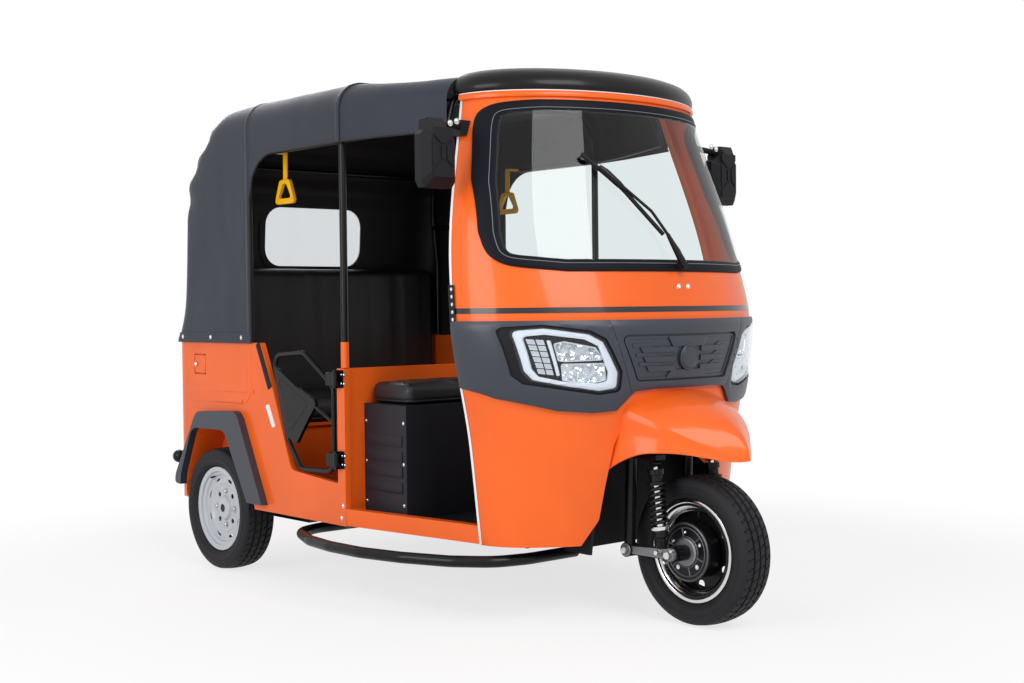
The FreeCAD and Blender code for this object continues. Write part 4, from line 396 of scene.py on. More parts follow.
def lit_lens(name, colour):
    """A coloured lens, glossy with a prismatic back."""
    finish = Finish(name, base_color=colour, roughness=0.16, coat_weight=0.3, specular_ior_level=0.3)
    x, y, z = [axis.wave(0.006) for axis in finish.axes()]
    finish.bump((x * y + y * z + x * z) * 0.16 + 0.5, 0.0012)
    return finish.material


red_lens = lit_lens("red_lens", (0.42, 0.006, 0.006))
mirror_face = bare_metal("mirror_face", (0.78, 0.79, 0.80), 0.0, 0.2, 0.0)


def tyre_rubber():
    """Vulcanised rubber: nearly black, dull, with a dusty bloom in patches."""
    finish = Finish("tyre_rubber", specular_ior_level=0.2)
    bloom = finish.noise(0.06, 5.0)
    finish.set(base_color=finish.blend(bloom, (0.009, 0.009, 0.011), (0.019, 0.019, 0.022)),
               roughness=0.52 + bloom * 0.16)
    finish.bump(finish.noise(0.0025, 4.0), 0.0003)
    return finish.material


tyre_black = tyre_rubber()

# %% [markdown]
# Meshes are built from points and faces in a small class, so that a bent tube, a turned ring and a
# pressed plate can be added to one another before they become a piece. Each piece then gets its material,
# its shading and the body that it rides on, and where it stands for a solid of the frame, that solid is
# hidden.

# %% Outlines with rounded corners
NEARLY_STRAIGHT = math.radians(89.5)
MOST_OF_A_SIDE = 0.48
LEAST_LEAN = 0.35


def arc_corner(before, corner, after, radius, steps):
    """The points of an arc that rounds one corner of an outline or a route."""
    towards = before - corner
    away = after - corner
    half = towards.angle(away) / 2
    if half > NEARLY_STRAIGHT:
        return [corner]
    reach = min(radius / math.tan(half), MOST_OF_A_SIDE * towards.length, MOST_OF_A_SIDE * away.length)
    bend = reach * math.tan(half)
    middle = corner + (towards.normalized() + away.normalized()).normalized() * bend / math.sin(half)
    start = corner + towards.normalized() * reach - middle
    end = corner + away.normalized() * reach - middle
    turn = start.angle(end)
    return [middle + (start * math.sin(turn * (1 - t)) + end * math.sin(turn * t)) / math.sin(turn)
            for t in (step / steps for step in range(steps + 1))]


def rounded(corners, radius, steps=5):
    """A closed outline in a plane with its corners rounded, by one radius or one for each."""
    corners = [Vector(corner) for corner in corners]
    radii = radius if isinstance(radius, (list, tuple)) else [radius] * len(corners)
    points = []
    for index, corner in enumerate(corners):
        if radii[index] <= 0:
            points.append(corner)
            continue
        points += arc_corner(corners[index - 1], corner, corners[(index + 1) % len(corners)],
                             radii[index], steps)
    return points


def bent(corners, radius, steps=6):
    """An open route with rounded corners."""
    corners = [Vector(corner) for corner in corners]
    points = [corners[0]]
    for index in range(1, len(corners) - 1):
        points += arc_corner(corners[index - 1], corners[index], corners[index + 1], radius, steps)
    return points + [corners[-1]]


def shifted(outline, distance):
    """A closed outline, listed clockwise or not, with every point moved inwards by a distance."""
    count = len(outline)
    area = sum(outline[k - 1][0] * outline[k][1] - outline[k][0] * outline[k - 1][1]
               for k in range(count))
    side = 1 if area > 0 else -1
    points = []
    for k, point in enumerate(outline):
        before = Vector(outline[k - 1])
        after = Vector(outline[(k + 1) % count])
        first = (Vector(point) - before).normalized()
        second = (after - Vector(point)).normalized()
        ahead = (first + second).normalized()
        lean = max(LEAST_LEAN, first.dot(ahead))
        points.append(Vector(point) + Vector((-ahead.y, ahead.x)) * side * distance / lean)
    return points


def flipped(outline):
    """An outline on the other side of the vehicle."""
    return [(-x, z) for x, z in outline]


def mirrored(outline):
    """A closed outline from its right-hand half, listed from the middle outwards and round."""
    return outline + flipped(outline[::-1])


def relaxed(outline, rounds):
    """A closed outline whose points move towards their neighbours, which takes out its kinks."""
    points = [Vector(p) for p in outline]
    for _ in range(rounds):
        points = [(points[k - 1] + points[k] * 2 + points[(k + 1) % len(points)]) / 4
                  for k in range(len(points))]
    return points


def spaced(low, high, count):
    """Evenly spaced values from one to another."""
    return [low + (high - low) * k / (count - 1) for k in range(count)]


# %% [markdown]
# A flat outline can be bent over any surface. Its inside is first filled with an even net of points by a
# constrained Delaunay triangulation, which also leaves out its holes, and every point is then mapped.

# %% A net inside an outline
CLOSEST = 1e-6
ROW_SHARE = 0.87
RIM_SHARE = 0.55
SAME_POINT = 1e-7
NOTHING = 1e-9


def inside(point, outline):
    """Whether a point is within a closed outline, by counting crossings."""
    x, y = point
    within = False
    for index, (ax, ay) in enumerate(outline):
        bx, by = outline[index - 1]
        if (ay > y) != (by > y) and x < (bx - ax) * (y - ay) / (by - ay) + ax:
            within = not within
    return within


def divided(outline, spacing):
    """A closed outline with points added so that none lie further apart than the spacing."""
    points = []
    for index, (x, y) in enumerate(outline):
        next_x, next_y = outline[(index + 1) % len(outline)]
        gap = math.hypot(next_x - x, next_y - y)
        if gap >= CLOSEST:
            count = max(1, math.ceil(gap / spacing))
            points += [(x + (next_x - x) * k / count, y + (next_y - y) * k / count) for k in range(count)]
    return points


def net(outline, holes=(), spacing=0.02):
    """Points and triangles that fill an outline, apart from its holes."""
    border, *gaps = [divided(loop, spacing) for loop in (outline, *holes)]

    def wanted(place):
        return inside(place, border) and not any(inside(place, gap) for gap in gaps)

    points = []
    edges = []
    for loop in (border, *gaps):
        first = len(points)
        points += [Vector(p) for p in loop]
        edges += [(first + k, first + (k + 1) % len(loop)) for k in range(len(loop))]
    left, foot = [min(p[axis] for p in border) for axis in (0, 1)]
    right, head = [max(p[axis] for p in border) for axis in (0, 1)]
    rows = max(1, int((head - foot) / (spacing * ROW_SHARE)))
    columns = max(1, int((right - left) / spacing))
    rims = np.array([tuple(p) for p in points])
    for row in range(1, rows):
        y = foot + (head - foot) * row / rows
        for column in range(columns + 1):
            x = left + (right - left) * (column + 0.5 * (row % 2)) / columns
            near = np.min(np.hypot(rims[:, 0] - x, rims[:, 1] - y))
            if near > spacing * RIM_SHARE and wanted((x, y)):
                points.append(Vector((x, y)))
    made, _, triangles, *_ = delaunay_2d_cdt(points, edges, [], 0, SAME_POINT)
    kept = [tuple(triangle) for triangle in triangles
            if wanted(sum((made[k] for k in triangle), Vector((0, 0))) / 3)]
    return made, kept


def border_edges(faces):
    """The edges that belong to one face only, in that face's order."""
    seen = {}
    for face in faces:
        for k, start in enumerate(face):
            end = face[(k + 1) % len(face)]
            seen.setdefault(frozenset((start, end)), []).append((start, end))
    return [pairs[0] for pairs in seen.values() if len(pairs) == 1]


# %% The shape class
SHARP = 32


def circle(middle, across, upward, radius, steps):
    """Points of a circle round a place, in the plane of two directions."""
    return [middle + (across * math.cos(turn) + upward * math.sin(turn)) * radius
            for turn in (2 * math.pi * k / steps for k in range(steps))]


def put_round(thing, width, segments=2, angle=35):
    """Rounded edges, wherever faces meet at more than an angle."""
    rounding = thing.modifiers.new("rounded_edges", "BEVEL")
    rounding.width = width
    rounding.segments = segments
    rounding.limit_method = "ANGLE"
    rounding.angle_limit = math.radians(angle)
    rounding.harden_normals = True


class Shape:
    """Points and faces that grow by tubes, turned rings, plates and skins."""

    def __init__(self):
        self.points = []
        self.faces = []

    def add(self, points, faces):
        """More points and faces."""
        first = len(self.points)
        self.points += [Vector(point) for point in points]
        self.faces += [tuple(first + k for k in face) for face in faces]
        return self

    def rings(self, rings, closed=False, caps=True):
        """A skin over rings that all have the same number of points."""
        count = len(rings[0])
        faces = []
        spans = len(rings) if closed else len(rings) - 1
        for row in range(spans):
            base = row * count
            after = ((row + 1) % len(rings)) * count
            faces += [(base + k, base + (k + 1) % count, after + (k + 1) % count, after + k)
                      for k in range(count)]
        if caps and not closed:
            faces.append(tuple(reversed(range(count))))
            last = (len(rings) - 1) * count
            faces.append(tuple(range(last, last + count)))
        return self.add([point for ring in rings for point in ring], faces)

    def tube(self, route, radius, sides=14, closed=False):
        """A round bar along a route."""
        route = [Vector(point) for point in route]
        count = len(route)
        rings = []
        across = None
        for index, point in enumerate(route):
            before = route[index - 1] if index or closed else point
            after = route[(index + 1) % count] if index < count - 1 or closed else point
            ahead = (after - before).normalized()
            if across is None:
                across = ahead.orthogonal().normalized()
            across = (across - ahead * across.dot(ahead)).normalized()
            rings.append(circle(point, across, ahead.cross(across), radius, sides))
        return self.rings(rings, closed)

    def turned(self, profile, middle, axis, steps=48, closed=False):
        """A half section turned about an axis: each point is a distance along and a radius."""
        axis = Vector(axis).normalized()
        across = axis.orthogonal().normalized()
        upward = axis.cross(across)
        rings = [circle(Vector(middle) + axis * along, across, upward, radius, steps)
                 for along, radius in profile]
        return self.rings(rings, closed, caps=not closed)

    def plate(self, outline, at, near, far):
        """An outline pushed from one depth to another; at(u, v, depth) places its points."""
        return self.rings([[at(u, v, depth) for u, v in outline] for depth in (near, far)])

    def skin(self, flat, at, inner, outer, edge=0.0):
        """A flat net bent over a surface as a closed sheet between two offsets.

        The outer face's rim drops by edge, which rounds it like a pressed or moulded rim."""
        points, faces = flat
        count = len(points)
        rim = border_edges(faces)
        on_rim = {k for pair in rim for k in pair}
        top = [at(u, v, outer - (edge if k in on_rim else 0)) for k, (u, v) in enumerate(points)]
        bottom = [at(u, v, inner) for u, v in points]
        turned_over = [tuple(count + k for k in reversed(face)) for face in faces]
        walls = [(start, count + start, count + end, end) for start, end in rim]
        return self.add(top + bottom, list(faces) + turned_over + walls)

    def join(self, other):
        """Another shape's points and faces."""
        return self.add(other.points, other.faces)

    def mirror(self):
        """The same again on the vehicle's other side."""
        points = [Vector((-p.x, p.y, p.z)) for p in self.points]
        return self.add(points, [tuple(reversed(face)) for face in self.faces])

    def piece(self, name, material, body="root", replaces=None, slot=None, smooth=SHARP, bevel=0.0,
              subdivide=0):
        """The finished object, with its shading, body and the solid that it stands for, which is hidden;
        slot is not used.
        """
        mesh = bpy.data.meshes.new(name)
        mesh.from_pydata(self.points, [], self.faces)
        mesh.validate()
        work = bmesh.new()
        work.from_mesh(mesh)
        bmesh.ops.remove_doubles(work, verts=work.verts, dist=CLOSEST)
        bmesh.ops.recalc_face_normals(work, faces=work.faces)
        work.to_mesh(mesh)
        work.free()
        thing = bpy.data.objects.new(name, mesh)
        bpy.context.scene.collection.objects.link(thing)
        mesh.materials.append(material)
        mesh.polygons.foreach_set("use_smooth", [True] * len(mesh.polygons))
        mesh.set_sharp_from_angle(angle=math.radians(smooth))
        if bevel:
            put_round(thing, bevel)
        if subdivide:
            finer = thing.modifiers.new("finer", "SUBSURF")
            finer.levels = finer.render_levels = subdivide
        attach(thing, body)
        if replaces:
            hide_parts(replaces)
        return thing


def carve(thing, cutter, smooth):
    """The object with another shape cut out of it."""
    knife = cutter.piece("knife", thing.data.materials[0])
    cut = thing.modifiers.new("cut", "BOOLEAN")
    cut.operation = "DIFFERENCE"
    cut.object = knife
    cut.solver = "EXACT"
    mesh = bpy.data.meshes.new_from_object(thing.evaluated_get(bpy.context.evaluated_depsgraph_get()))
    thing.modifiers.clear()
    thing.data = mesh
    mesh.set_sharp_from_angle(angle=math.radians(smooth))
    bpy.data.objects.remove(knife)


def make_all(*builders):
    """Runs the functions that make pieces and prints what each made."""
    for builder in builders:
        print(builder().name)


print("shapes are ready")

# %% [markdown]
# Bolts and screws repeat all over the vehicle. Each group of them is one joined mesh: a dished head with
# a washer under it, which catches a small highlight as the real ones do.

# %% Bolt heads
BOLT_PROFILE = [(-0.4, 1.2), (0, 1.7), (0.28, 1.7), (0.30, 1), (0.75, 0.98), (1, 0.72), (1.08, 0.1)]
BOLT_SIDES = 14


def bolts(name, places, radius, material=chrome, body="root"):
    """One mesh of bolt heads; places are (seat, direction) pairs."""
    profile = [(along * radius, reach * radius) for along, reach in BOLT_PROFILE]
    shape = Shape()
    for seat, direction in places:
        shape.turned(profile, seat, direction, BOLT_SIDES)
    return shape.piece(name, material, body, smooth=40)


def on_flanks(across, places):
    """Seats and directions on both sides of the vehicle, from places along and up."""
    return [(Vector((side * across, y, z)), Vector((side, 0, 0))) for side in SIDES for y, z in places]


print("bolt heads are ready")

# %% [markdown]
# The cowl is one curved steel pressing. In plan it is half an ellipse at every height, and the ellipse's
# width, depth and door edge change smoothly upwards. A place on it is given by a distance u round the
# curve and a height, so outlines drawn from the front can be laid on it without stretching at the sides.

# %% The cowl's surface
COWL_STATIONS = [
    (0.270, 0.561, -0.630, 0.315),
    (0.600, 0.600, -0.630, 0.361),
    (1.000, 0.660, -0.620, 0.424),
    (1.190, 0.648, -0.595, 0.402),
    (1.720, 0.518, -0.499, 0.349),
    (1.880, 0.470, -0.468, 0.330),
]
COWL_ROUND = 0.5
COWL_REACH = COWL_ROUND * math.pi / 2
FORWARD = Vector((0, -1, 0))


def station_rise(index, column):
    """How fast one column of the stations changes above a station."""
    low, high = COWL_STATIONS[index:index + 2]
    return (high[column] - low[column]) / (high[0] - low[0])


def station_slope(index, column):
    """The slope of one column of the stations, level where it turns over."""
    last = len(COWL_STATIONS) - 1
    before = station_rise(max(index - 1, 0), column)
    after = station_rise(min(index, last - 1), column)
    if index in (0, last):
        return before
    return 0.0 if before * after <= 0 else 2 * before * after / (before + after)


def cowl_plan(height):
    """Half width, door edge and depth of the cowl at a height."""
    index = 0
    while index < len(COWL_STATIONS) - 2 and height > COWL_STATIONS[index + 1][0]:
        index += 1
    low, high = COWL_STATIONS[index:index + 2]
    span = high[0] - low[0]
    t = (height - low[0]) / span
    plan = []
    for column in (1, 2, 3):
        leaving = station_slope(index, column) * span
        arriving = station_slope(index + 1, column) * span
        plan.append(low[column] * (2 * t ** 3 - 3 * t ** 2 + 1) + leaving * (t ** 3 - 2 * t ** 2 + t)
                    + high[column] * (3 * t ** 2 - 2 * t ** 3) + arriving * (t ** 3 - t ** 2))
    return plan


def cowl_at(u, z, offset=0.0):
    """The point of the cowl at a distance round its curve and a height."""
    half, edge, depth = cowl_plan(z)
    turn = u / COWL_ROUND
    return Vector(((half + offset) * math.sin(turn), edge - (depth + offset) * math.cos(turn), z))


def cowl_u(x, z):
    """The distance round the curve of a point seen from the front."""
    half = cowl_plan(z)[0]
    return COWL_ROUND * math.asin(max(-1.0, min(1.0, x / half)))


def on_cowl(outline, radius=0.0, spacing=0.03):
    """An outline in x and z with its corners rounded, laid on the cowl as u and z."""
    soft = rounded(outline, radius) if radius else outline
    return [(cowl_u(x, z), z) for x, z in divided(soft, spacing)]


def front_point(x, z, offset=0.0):
    """A point ahead of the cowl's face, seen from the front."""
    return cowl_at(cowl_u(x, z), z, offset)


print("cowl half width at 1 m:", round(cowl_plan(1.0)[0], 3))

# %% Outlines seen from the front
COWL_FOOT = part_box("front_cowl")[0].z
COWL_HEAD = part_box("front_cowl")[1].z
SCREEN = mirrored([(-0.420, 1.170), (-0.606, 1.190), (-0.603, 1.300), (-0.575, 1.470),
                   (-0.529, 1.640), (-0.503, 1.728), (-0.380, 1.737)])
LAMP = [(-0.588, 0.982), (-0.510, 0.990), (-0.381, 0.969), (-0.335, 0.944), (-0.277, 0.841),
        (-0.276, 0.785), (-0.337, 0.778), (-0.444, 0.797), (-0.530, 0.817), (-0.554, 0.848)]
LAMP_SEAT = [(-0.614, 0.990), (-0.510, 0.998), (-0.377, 0.977), (-0.328, 0.950), (-0.268, 0.844),
             (-0.267, 0.777), (-0.337, 0.769), (-0.446, 0.788), (-0.546, 0.808), (-0.574, 0.836)]
GRILLE = mirrored([(-0.212, 0.808), (-0.282, 0.962)])
WHEEL_OPENING = mirrored([(-0.342, COWL_FOOT), (-0.330, 0.292), (-0.290, 0.355), (-0.280, 0.460),
                          (-0.262, 0.600), (-0.225, 0.700)])
SCREEN_LINE = relaxed(divided(rounded(SCREEN, 0.06, 6), 0.012), 14)


# %% Cowl
PANEL = 0.012
DOOR_EDGE_X = 0.7


def cowl_shell():
    """The pressing with its openings for the screen, the lamps and the front wheel."""
    border = ([(-DOOR_EDGE_X, COWL_FOOT)] + WHEEL_OPENING
              + [(DOOR_EDGE_X, COWL_FOOT), (DOOR_EDGE_X, COWL_HEAD), (-DOOR_EDGE_X, COWL_HEAD)])
    radii = [0, 0] + [0.03] * 10 + [0, 0, 0, 0]
    outline = on_cowl(rounded(border, radii))
    holes = [on_cowl(SCREEN_LINE), on_cowl(LAMP, 0.014, 0.02), on_cowl(flipped(LAMP), 0.014, 0.02)]
    shell = Shape().skin(net(outline, holes, 0.022), cowl_at, -PANEL, 0.0, 0.0008)
    return shell.piece("cowl_pressing", orange_paint, replaces="front_cowl", smooth=30)


cowl = cowl_shell()
print("cowl", len(cowl.data.vertices), "points")

# %% [markdown]
# The door edges of the cowl are folded back into box-shaped pillars and closed by a bright edging strip.
# The top edge rolls outwards into a lip under the roof peak; a white line on it is a painted highlight.

# %% Pillars, edging and lip
PILLAR_WIDTH = 0.042
PILLAR_DEPTH = 0.030
EDGE_STEPS = 40
LIP_TURNS = spaced(-COWL_REACH, COWL_REACH, 49)


def door_edge(z, inward=0.0, back=0.0):
    """A point beside the cowl's door edge on the right-hand side."""
    half, edge, _ = cowl_plan(z)
    return Vector((-(half - inward), edge + back, z))


def along_edge(low, high, steps, section):
    """A strip along both door edges; its section holds places inward and back."""
    rings = [[door_edge(z, inward, back) for inward, back in section] for z in spaced(low, high, steps)]
    return Shape().rings(rings).mirror()


def pillars():
    """The folded flanges along both door edges."""
    section = [(0.004, -PILLAR_DEPTH), (0.004, 0.0), (PILLAR_WIDTH, 0.0), (PILLAR_WIDTH, -PILLAR_DEPTH)]
    folds = along_edge(COWL_FOOT, COWL_HEAD, EDGE_STEPS, section)
    return folds.piece("cowl_pillars", orange_paint, bevel=0.003)


def edging():
    """The bright strip that closes the door edge."""
    section = [(-0.0022, -0.009), (-0.0022, 0.0028), (0.007, 0.0028), (0.007, -0.001)]
    strip = along_edge(COWL_FOOT + 0.002, COWL_HEAD - 0.02, EDGE_STEPS, section)
    return strip.piece("door_edging", edging_and_highlight, bevel=0.001)


def cowl_lip():
    """The rolled lip under the roof peak."""
    section = [(-0.024, 0.0), (-0.021, 0.010), (-0.012, 0.0145), (-0.003, 0.013), (0.0, 0.006),
               (0.0, -0.008)]
    rings = [[cowl_at(u, COWL_HEAD + rise, offset) for rise, offset in section] for u in LIP_TURNS]
    return Shape().rings(rings).piece("cowl_lip", orange_paint, smooth=60)


def lip_highlight():
    """A white line along the top of the lip, which is a painted highlight."""
    # A painted highlight: a thin white tube where the lip's top catches the light.
    route = [cowl_at(u, COWL_HEAD - 0.0015, 0.0105) for u in LIP_TURNS]
    return Shape().tube(route, 0.0024, 8).piece("lip_highlight", edging_and_highlight)


make_all(pillars, edging, cowl_lip, lip_highlight)

# %% [markdown]
# A black pinstripe runs round the cowl above the lamps, as tape does: it follows the panel and stands
# proud by its own thickness only. Below it a strip of orange shows before the dark band begins.

# %% Pinstripe and bolts on the cowl
STRIPE_LOW = 1.034
STRIPE_HIGH = 1.052
TAPE_PROUD = 0.0012
SCREW_HEIGHT = 1.116
SCREWS_AT = (-0.016, 0.030)


def pinstripe():
    """A thin strip round the cowl between two heights."""
    outline = [(-COWL_REACH, STRIPE_LOW), (COWL_REACH, STRIPE_LOW), (COWL_REACH, STRIPE_HIGH),
               (-COWL_REACH, STRIPE_HIGH)]
    return Shape().skin(net(outline, (), 0.016), cowl_at, 0.0, TAPE_PROUD).piece("pinstripe", stripe_paint)


def cowl_screws():
    """Two screws under the windscreen."""
    places = [(front_point(x, SCREW_HEIGHT), FORWARD) for x in SCREWS_AT]
    return bolts("cowl_screws", places, 0.006)


make_all(pinstripe, cowl_screws)

# %% [markdown]
# The dark band is moulded in three parts that meet at slanting seams. Its ends fold back towards the
# doors along a crease, and round each lamp it steps down into a deep black bezel. The relief is a
# function of the place: a mould maker would also describe it as faces that meet at creases.

# %% Dark band
SEAM_TOP = (-0.318, 1.010)
SEAM_FOOT = (-0.224, 0.766)
BAND_SIDE = [(-0.272, 0.716), (-0.346, 0.711), (-0.454, 0.721), (-0.596, 0.762), (-0.652, 0.800),
             (-0.700, 0.830), (-0.700, 1.010)]
CREASE_TOP = (-0.655, 1.010)
CREASE_FOOT = (-0.545, 0.772)
BAND_PROUD = 0.015
BAND_INSIDE = 0.004
BAND_LEAST = 0.002
FOLD_SLOPE = 0.12
ROLL_DEPTH = 0.004
ROLL_WIDTH = 0.02
SEAM_GAP = 0.0013


def beside(x, z, top, foot):
    """The distance of a point outboard of a slanting line, for the right-hand side."""
    line = Vector((foot[0] - top[0], foot[1] - top[1])).normalized()
    return line.y * (x - top[0]) - line.x * (z - top[1])


def band_relief(u, z, offset):
    """The band's own relief laid over the cowl."""
    x = -abs(cowl_at(u, z).x)
    if offset > BAND_INSIDE:
        offset -= max(0.0, beside(x, z, CREASE_TOP, CREASE_FOOT)) * FOLD_SLOPE
        offset -= ROLL_DEPTH * max(0.0, 1 - abs(z - SEAM_TOP[1]) / ROLL_WIDTH)
    return cowl_at(u, z, max(BAND_LEAST, offset))


def on_side(outline, side):
    """A right-hand outline on the side that is asked for."""
    return outline if side == RIGHT else flipped(outline)


def band_part(outline, hole, corner):
    """One moulding of the band, with an opening in it."""
    flat = net(on_cowl(outline, 0, 0.015), [on_cowl(hole, corner, 0.012)], 0.013)
    return Shape().skin(flat, band_relief, 0.0006, BAND_PROUD, 0.0022)


def lamp_band():
    """The band: two ends with openings for the lamps, and a middle round the grille's pocket."""
    inner = [(SEAM_TOP[0] - SEAM_GAP, SEAM_TOP[1]), (SEAM_FOOT[0] - SEAM_GAP, SEAM_FOOT[1])]
    end = rounded(inner + BAND_SIDE, [0, 0] + [0.012] * 5 + [0, 0])
    shape = Shape()
    for side in SIDES:
        shape.join(band_part(on_side(end, side), on_side(LAMP_SEAT, side), 0.016))
    middle = mirrored([SEAM_TOP, SEAM_FOOT, (-0.212, 0.777), (-0.135, 0.782)])
    shape.join(band_part(middle, GRILLE, 0.018))
    return shape.piece("lamp_band", dark_plastic, replaces="fascia", smooth=24)


def bezels():
    """The deep black frames between the band and the lamps."""
    shape = Shape()
    for side in SIDES:
        flat = net(on_cowl(on_side(LAMP_SEAT, side), 0.016, 0.012),
                   [on_cowl(on_side(LAMP, side), 0.014, 0.012)], 0.012)
        shape.skin(flat, cowl_at, 0.001, 0.0055)
    return shape.piece("lamp_bezels", trim_plastic, smooth=24)


make_all(lamp_band, bezels)

# %% [markdown]
# The grille is a moulded panel sunk in its pocket. A raised bead follows its edge, tabs reach in from top
# and bottom, three stepped ribs interlock on each side, and a plain round boss sits in the middle.

# %% Grille
GRILLE_PANEL = mirrored([(-0.206, 0.814), (-0.273, 0.955)])
GRILLE_TAB_TOP = [(-0.098, 0.953), (-0.076, 0.920), (0.076, 0.920), (0.098, 0.953)]
GRILLE_TAB_FOOT = [(-0.098, 0.816), (-0.076, 0.842), (0.076, 0.842), (0.098, 0.816)]
RIB_ROWS = ((0.902, 0.198), (0.871, 0.184), (0.840, 0.170))
RIB_HEIGHT = 0.017
BOSS_RADIUS = 0.040
GRILLE_FACE = 0.004
SUNK = 0.001
BOSS_PROFILE = [(0.0, 1.10), (0.012, 1.10), (0.014, 1.05), (0.0148, 0.97), (0.0135, 0.94), (0.0135, 0.90),
                (0.0155, 0.86), (0.0170, 0.5), (0.0172, 0.0125)]
GRILLE_MIDDLE = 0.884


def grille_skin(shape, outline, low, high, edge, hole=None, spacing=0.012, fill=0.012):
    """A moulded form on the grille, between two heights above the cowl."""
    flat = net(on_cowl(outline, 0, spacing), [on_cowl(hole, 0, spacing)] if hole else (), fill)
    shape.skin(flat, cowl_at, low, high, edge)


def grille_panel(shape):
    """The sunk panel with its bead and tabs."""
    edge = rounded(GRILLE_PANEL, 0.012, 4)
    grille_skin(shape, edge, 0.0, GRILLE_FACE, 0.0, None, 0.015, 0.016)
    grille_skin(shape, shifted(edge, -0.0085), 0.0003, 0.0016, 0.0, None, 0.015, 0.02)
    grille_skin(shape, edge, GRILLE_FACE - SUNK, GRILLE_FACE + 0.004, 0.001, shifted(edge, 0.007))
    for tab in (GRILLE_TAB_TOP, GRILLE_TAB_FOOT):
        grille_skin(shape, rounded(tab, 0.003), GRILLE_FACE - SUNK, GRILLE_FACE + 0.0085, 0.002)


def grille_ribs(shape):
    """Stepped ribs: each has a tall face near the middle and a low tail towards the edge."""
    for side in SIDES:
        for low, reach in RIB_ROWS:
            high = low + RIB_HEIGHT
            tall = [(side * 0.060, low), (side * reach, low), (side * (reach + 0.010), high),
                    (side * 0.060, high)]
            tail = [(side * (reach - 0.06), high), (side * (reach + 0.034), high),
                    (side * (reach + 0.040), high + 0.013), (side * (reach - 0.03), high + 0.013)]
            for outline, lift in ((tall, 0.0085), (tail, 0.0045)):
                grille_skin(shape, outline, GRILLE_FACE - SUNK, GRILLE_FACE + lift, 0.0016, None, 0.02)


def boss(shape):
    """The bare round boss in the grille's middle, on a collar."""
    lean = front_point(0, GRILLE_MIDDLE + 0.05) - front_point(0, GRILLE_MIDDLE - 0.05)
    profile = [(along, BOSS_RADIUS * share) for along, share in BOSS_PROFILE]
    shape.turned(profile, front_point(0, GRILLE_MIDDLE), (0, -lean.z, lean.y), 56)


def grille():
    """The whole moulding."""
    shape = Shape()
    for form in (grille_panel, grille_ribs, boss):
        form(shape)
    return shape.piece("grille_moulding", dark_plastic, replaces="grille", smooth=26)


make_all(grille)

# %% [markdown]
# Behind each clear lens lie a dark bowl, a white light guide that follows the lens's edge, a strip of
# small square reflectors outboard, a smoky main-beam chamber above and a bright dipped-beam chamber
# below. The chambers are made of many small facets, which is what makes a real reflector sparkle.

# %% Headlamps
GUIDE_OUTER = [(-0.585, 0.979), (-0.510, 0.986), (-0.383, 0.965), (-0.338, 0.940), (-0.281, 0.840),
               (-0.280, 0.789), (-0.338, 0.782), (-0.444, 0.801), (-0.527, 0.821), (-0.550, 0.850)]
GUIDE_INNER = [(-0.562, 0.960), (-0.508, 0.966), (-0.396, 0.949), (-0.352, 0.927), (-0.312, 0.842),
               (-0.312, 0.812), (-0.345, 0.806), (-0.446, 0.814), (-0.516, 0.832), (-0.534, 0.856)]
CELL_STRIP = [(-0.556, 0.952), (-0.508, 0.948), (-0.473, 0.832), (-0.517, 0.838)]
GUIDE_BAR = [(-0.503, 0.948), (-0.493, 0.947), (-0.459, 0.833), (-0.468, 0.833)]
MAIN_CHAMBER = [(-0.480, 0.934), (-0.455, 0.940), (-0.360, 0.919), (-0.334, 0.884), (-0.449, 0.881),
                (-0.466, 0.884)]
CHAMBER_FLOOR = -0.024
CELL_ROWS = 6
CELL_SHARE = 0.86
LENS_LIFT = 0.010
DIP_CHAMBER = [(-0.456, 0.868), (-0.328, 0.868), (-0.318, 0.818), (-0.368, 0.808), (-0.448, 0.820)]


def lamp_net(outline, side, radius, spacing=0.010, holes=()):
    """A lamp's inner outline laid on the cowl, on one side."""
    border, *gaps = [on_cowl(on_side(rounded(loop, radius, 3), side), 0, spacing)
                     for loop in (outline, *holes)]
    return net(border, gaps, spacing)


def faceted(shape, outline, side, depth, seed):
    """A bowl of small flat facets: the net's points are pushed in and out at random."""
    chooser = random.Random(seed)
    points, faces = lamp_net(outline, side, 0.006, 0.0085)
    rim = {k for pair in border_edges(faces) for k in pair}
    shape.add([cowl_at(u, z, CHAMBER_FLOOR + (depth if k in rim else chooser.uniform(-0.5, 0.5) * depth))
               for k, (u, z) in enumerate(points)], faces)


def strip_point(across, down):
    """A point of the reflector strip by shares across and down."""
    a, b, c, d = [Vector(p) for p in CELL_STRIP]
    return a.lerp(b, across).lerp(d.lerp(c, across), down)


def reflector_cells(shape, side):
    """The strip of small square reflectors."""
    for row in range(CELL_ROWS):
        for column in range(2):
            a, b = row / CELL_ROWS, (row + CELL_SHARE) / CELL_ROWS
            c, d = column / 2, (column + CELL_SHARE) / 2
            cell = [strip_point(c, a), strip_point(d, a), strip_point(d, b), strip_point(c, b)]
            shape.skin(lamp_net(cell, side, 0.001, 0.02), cowl_at, -0.030, -0.016, 0.003)


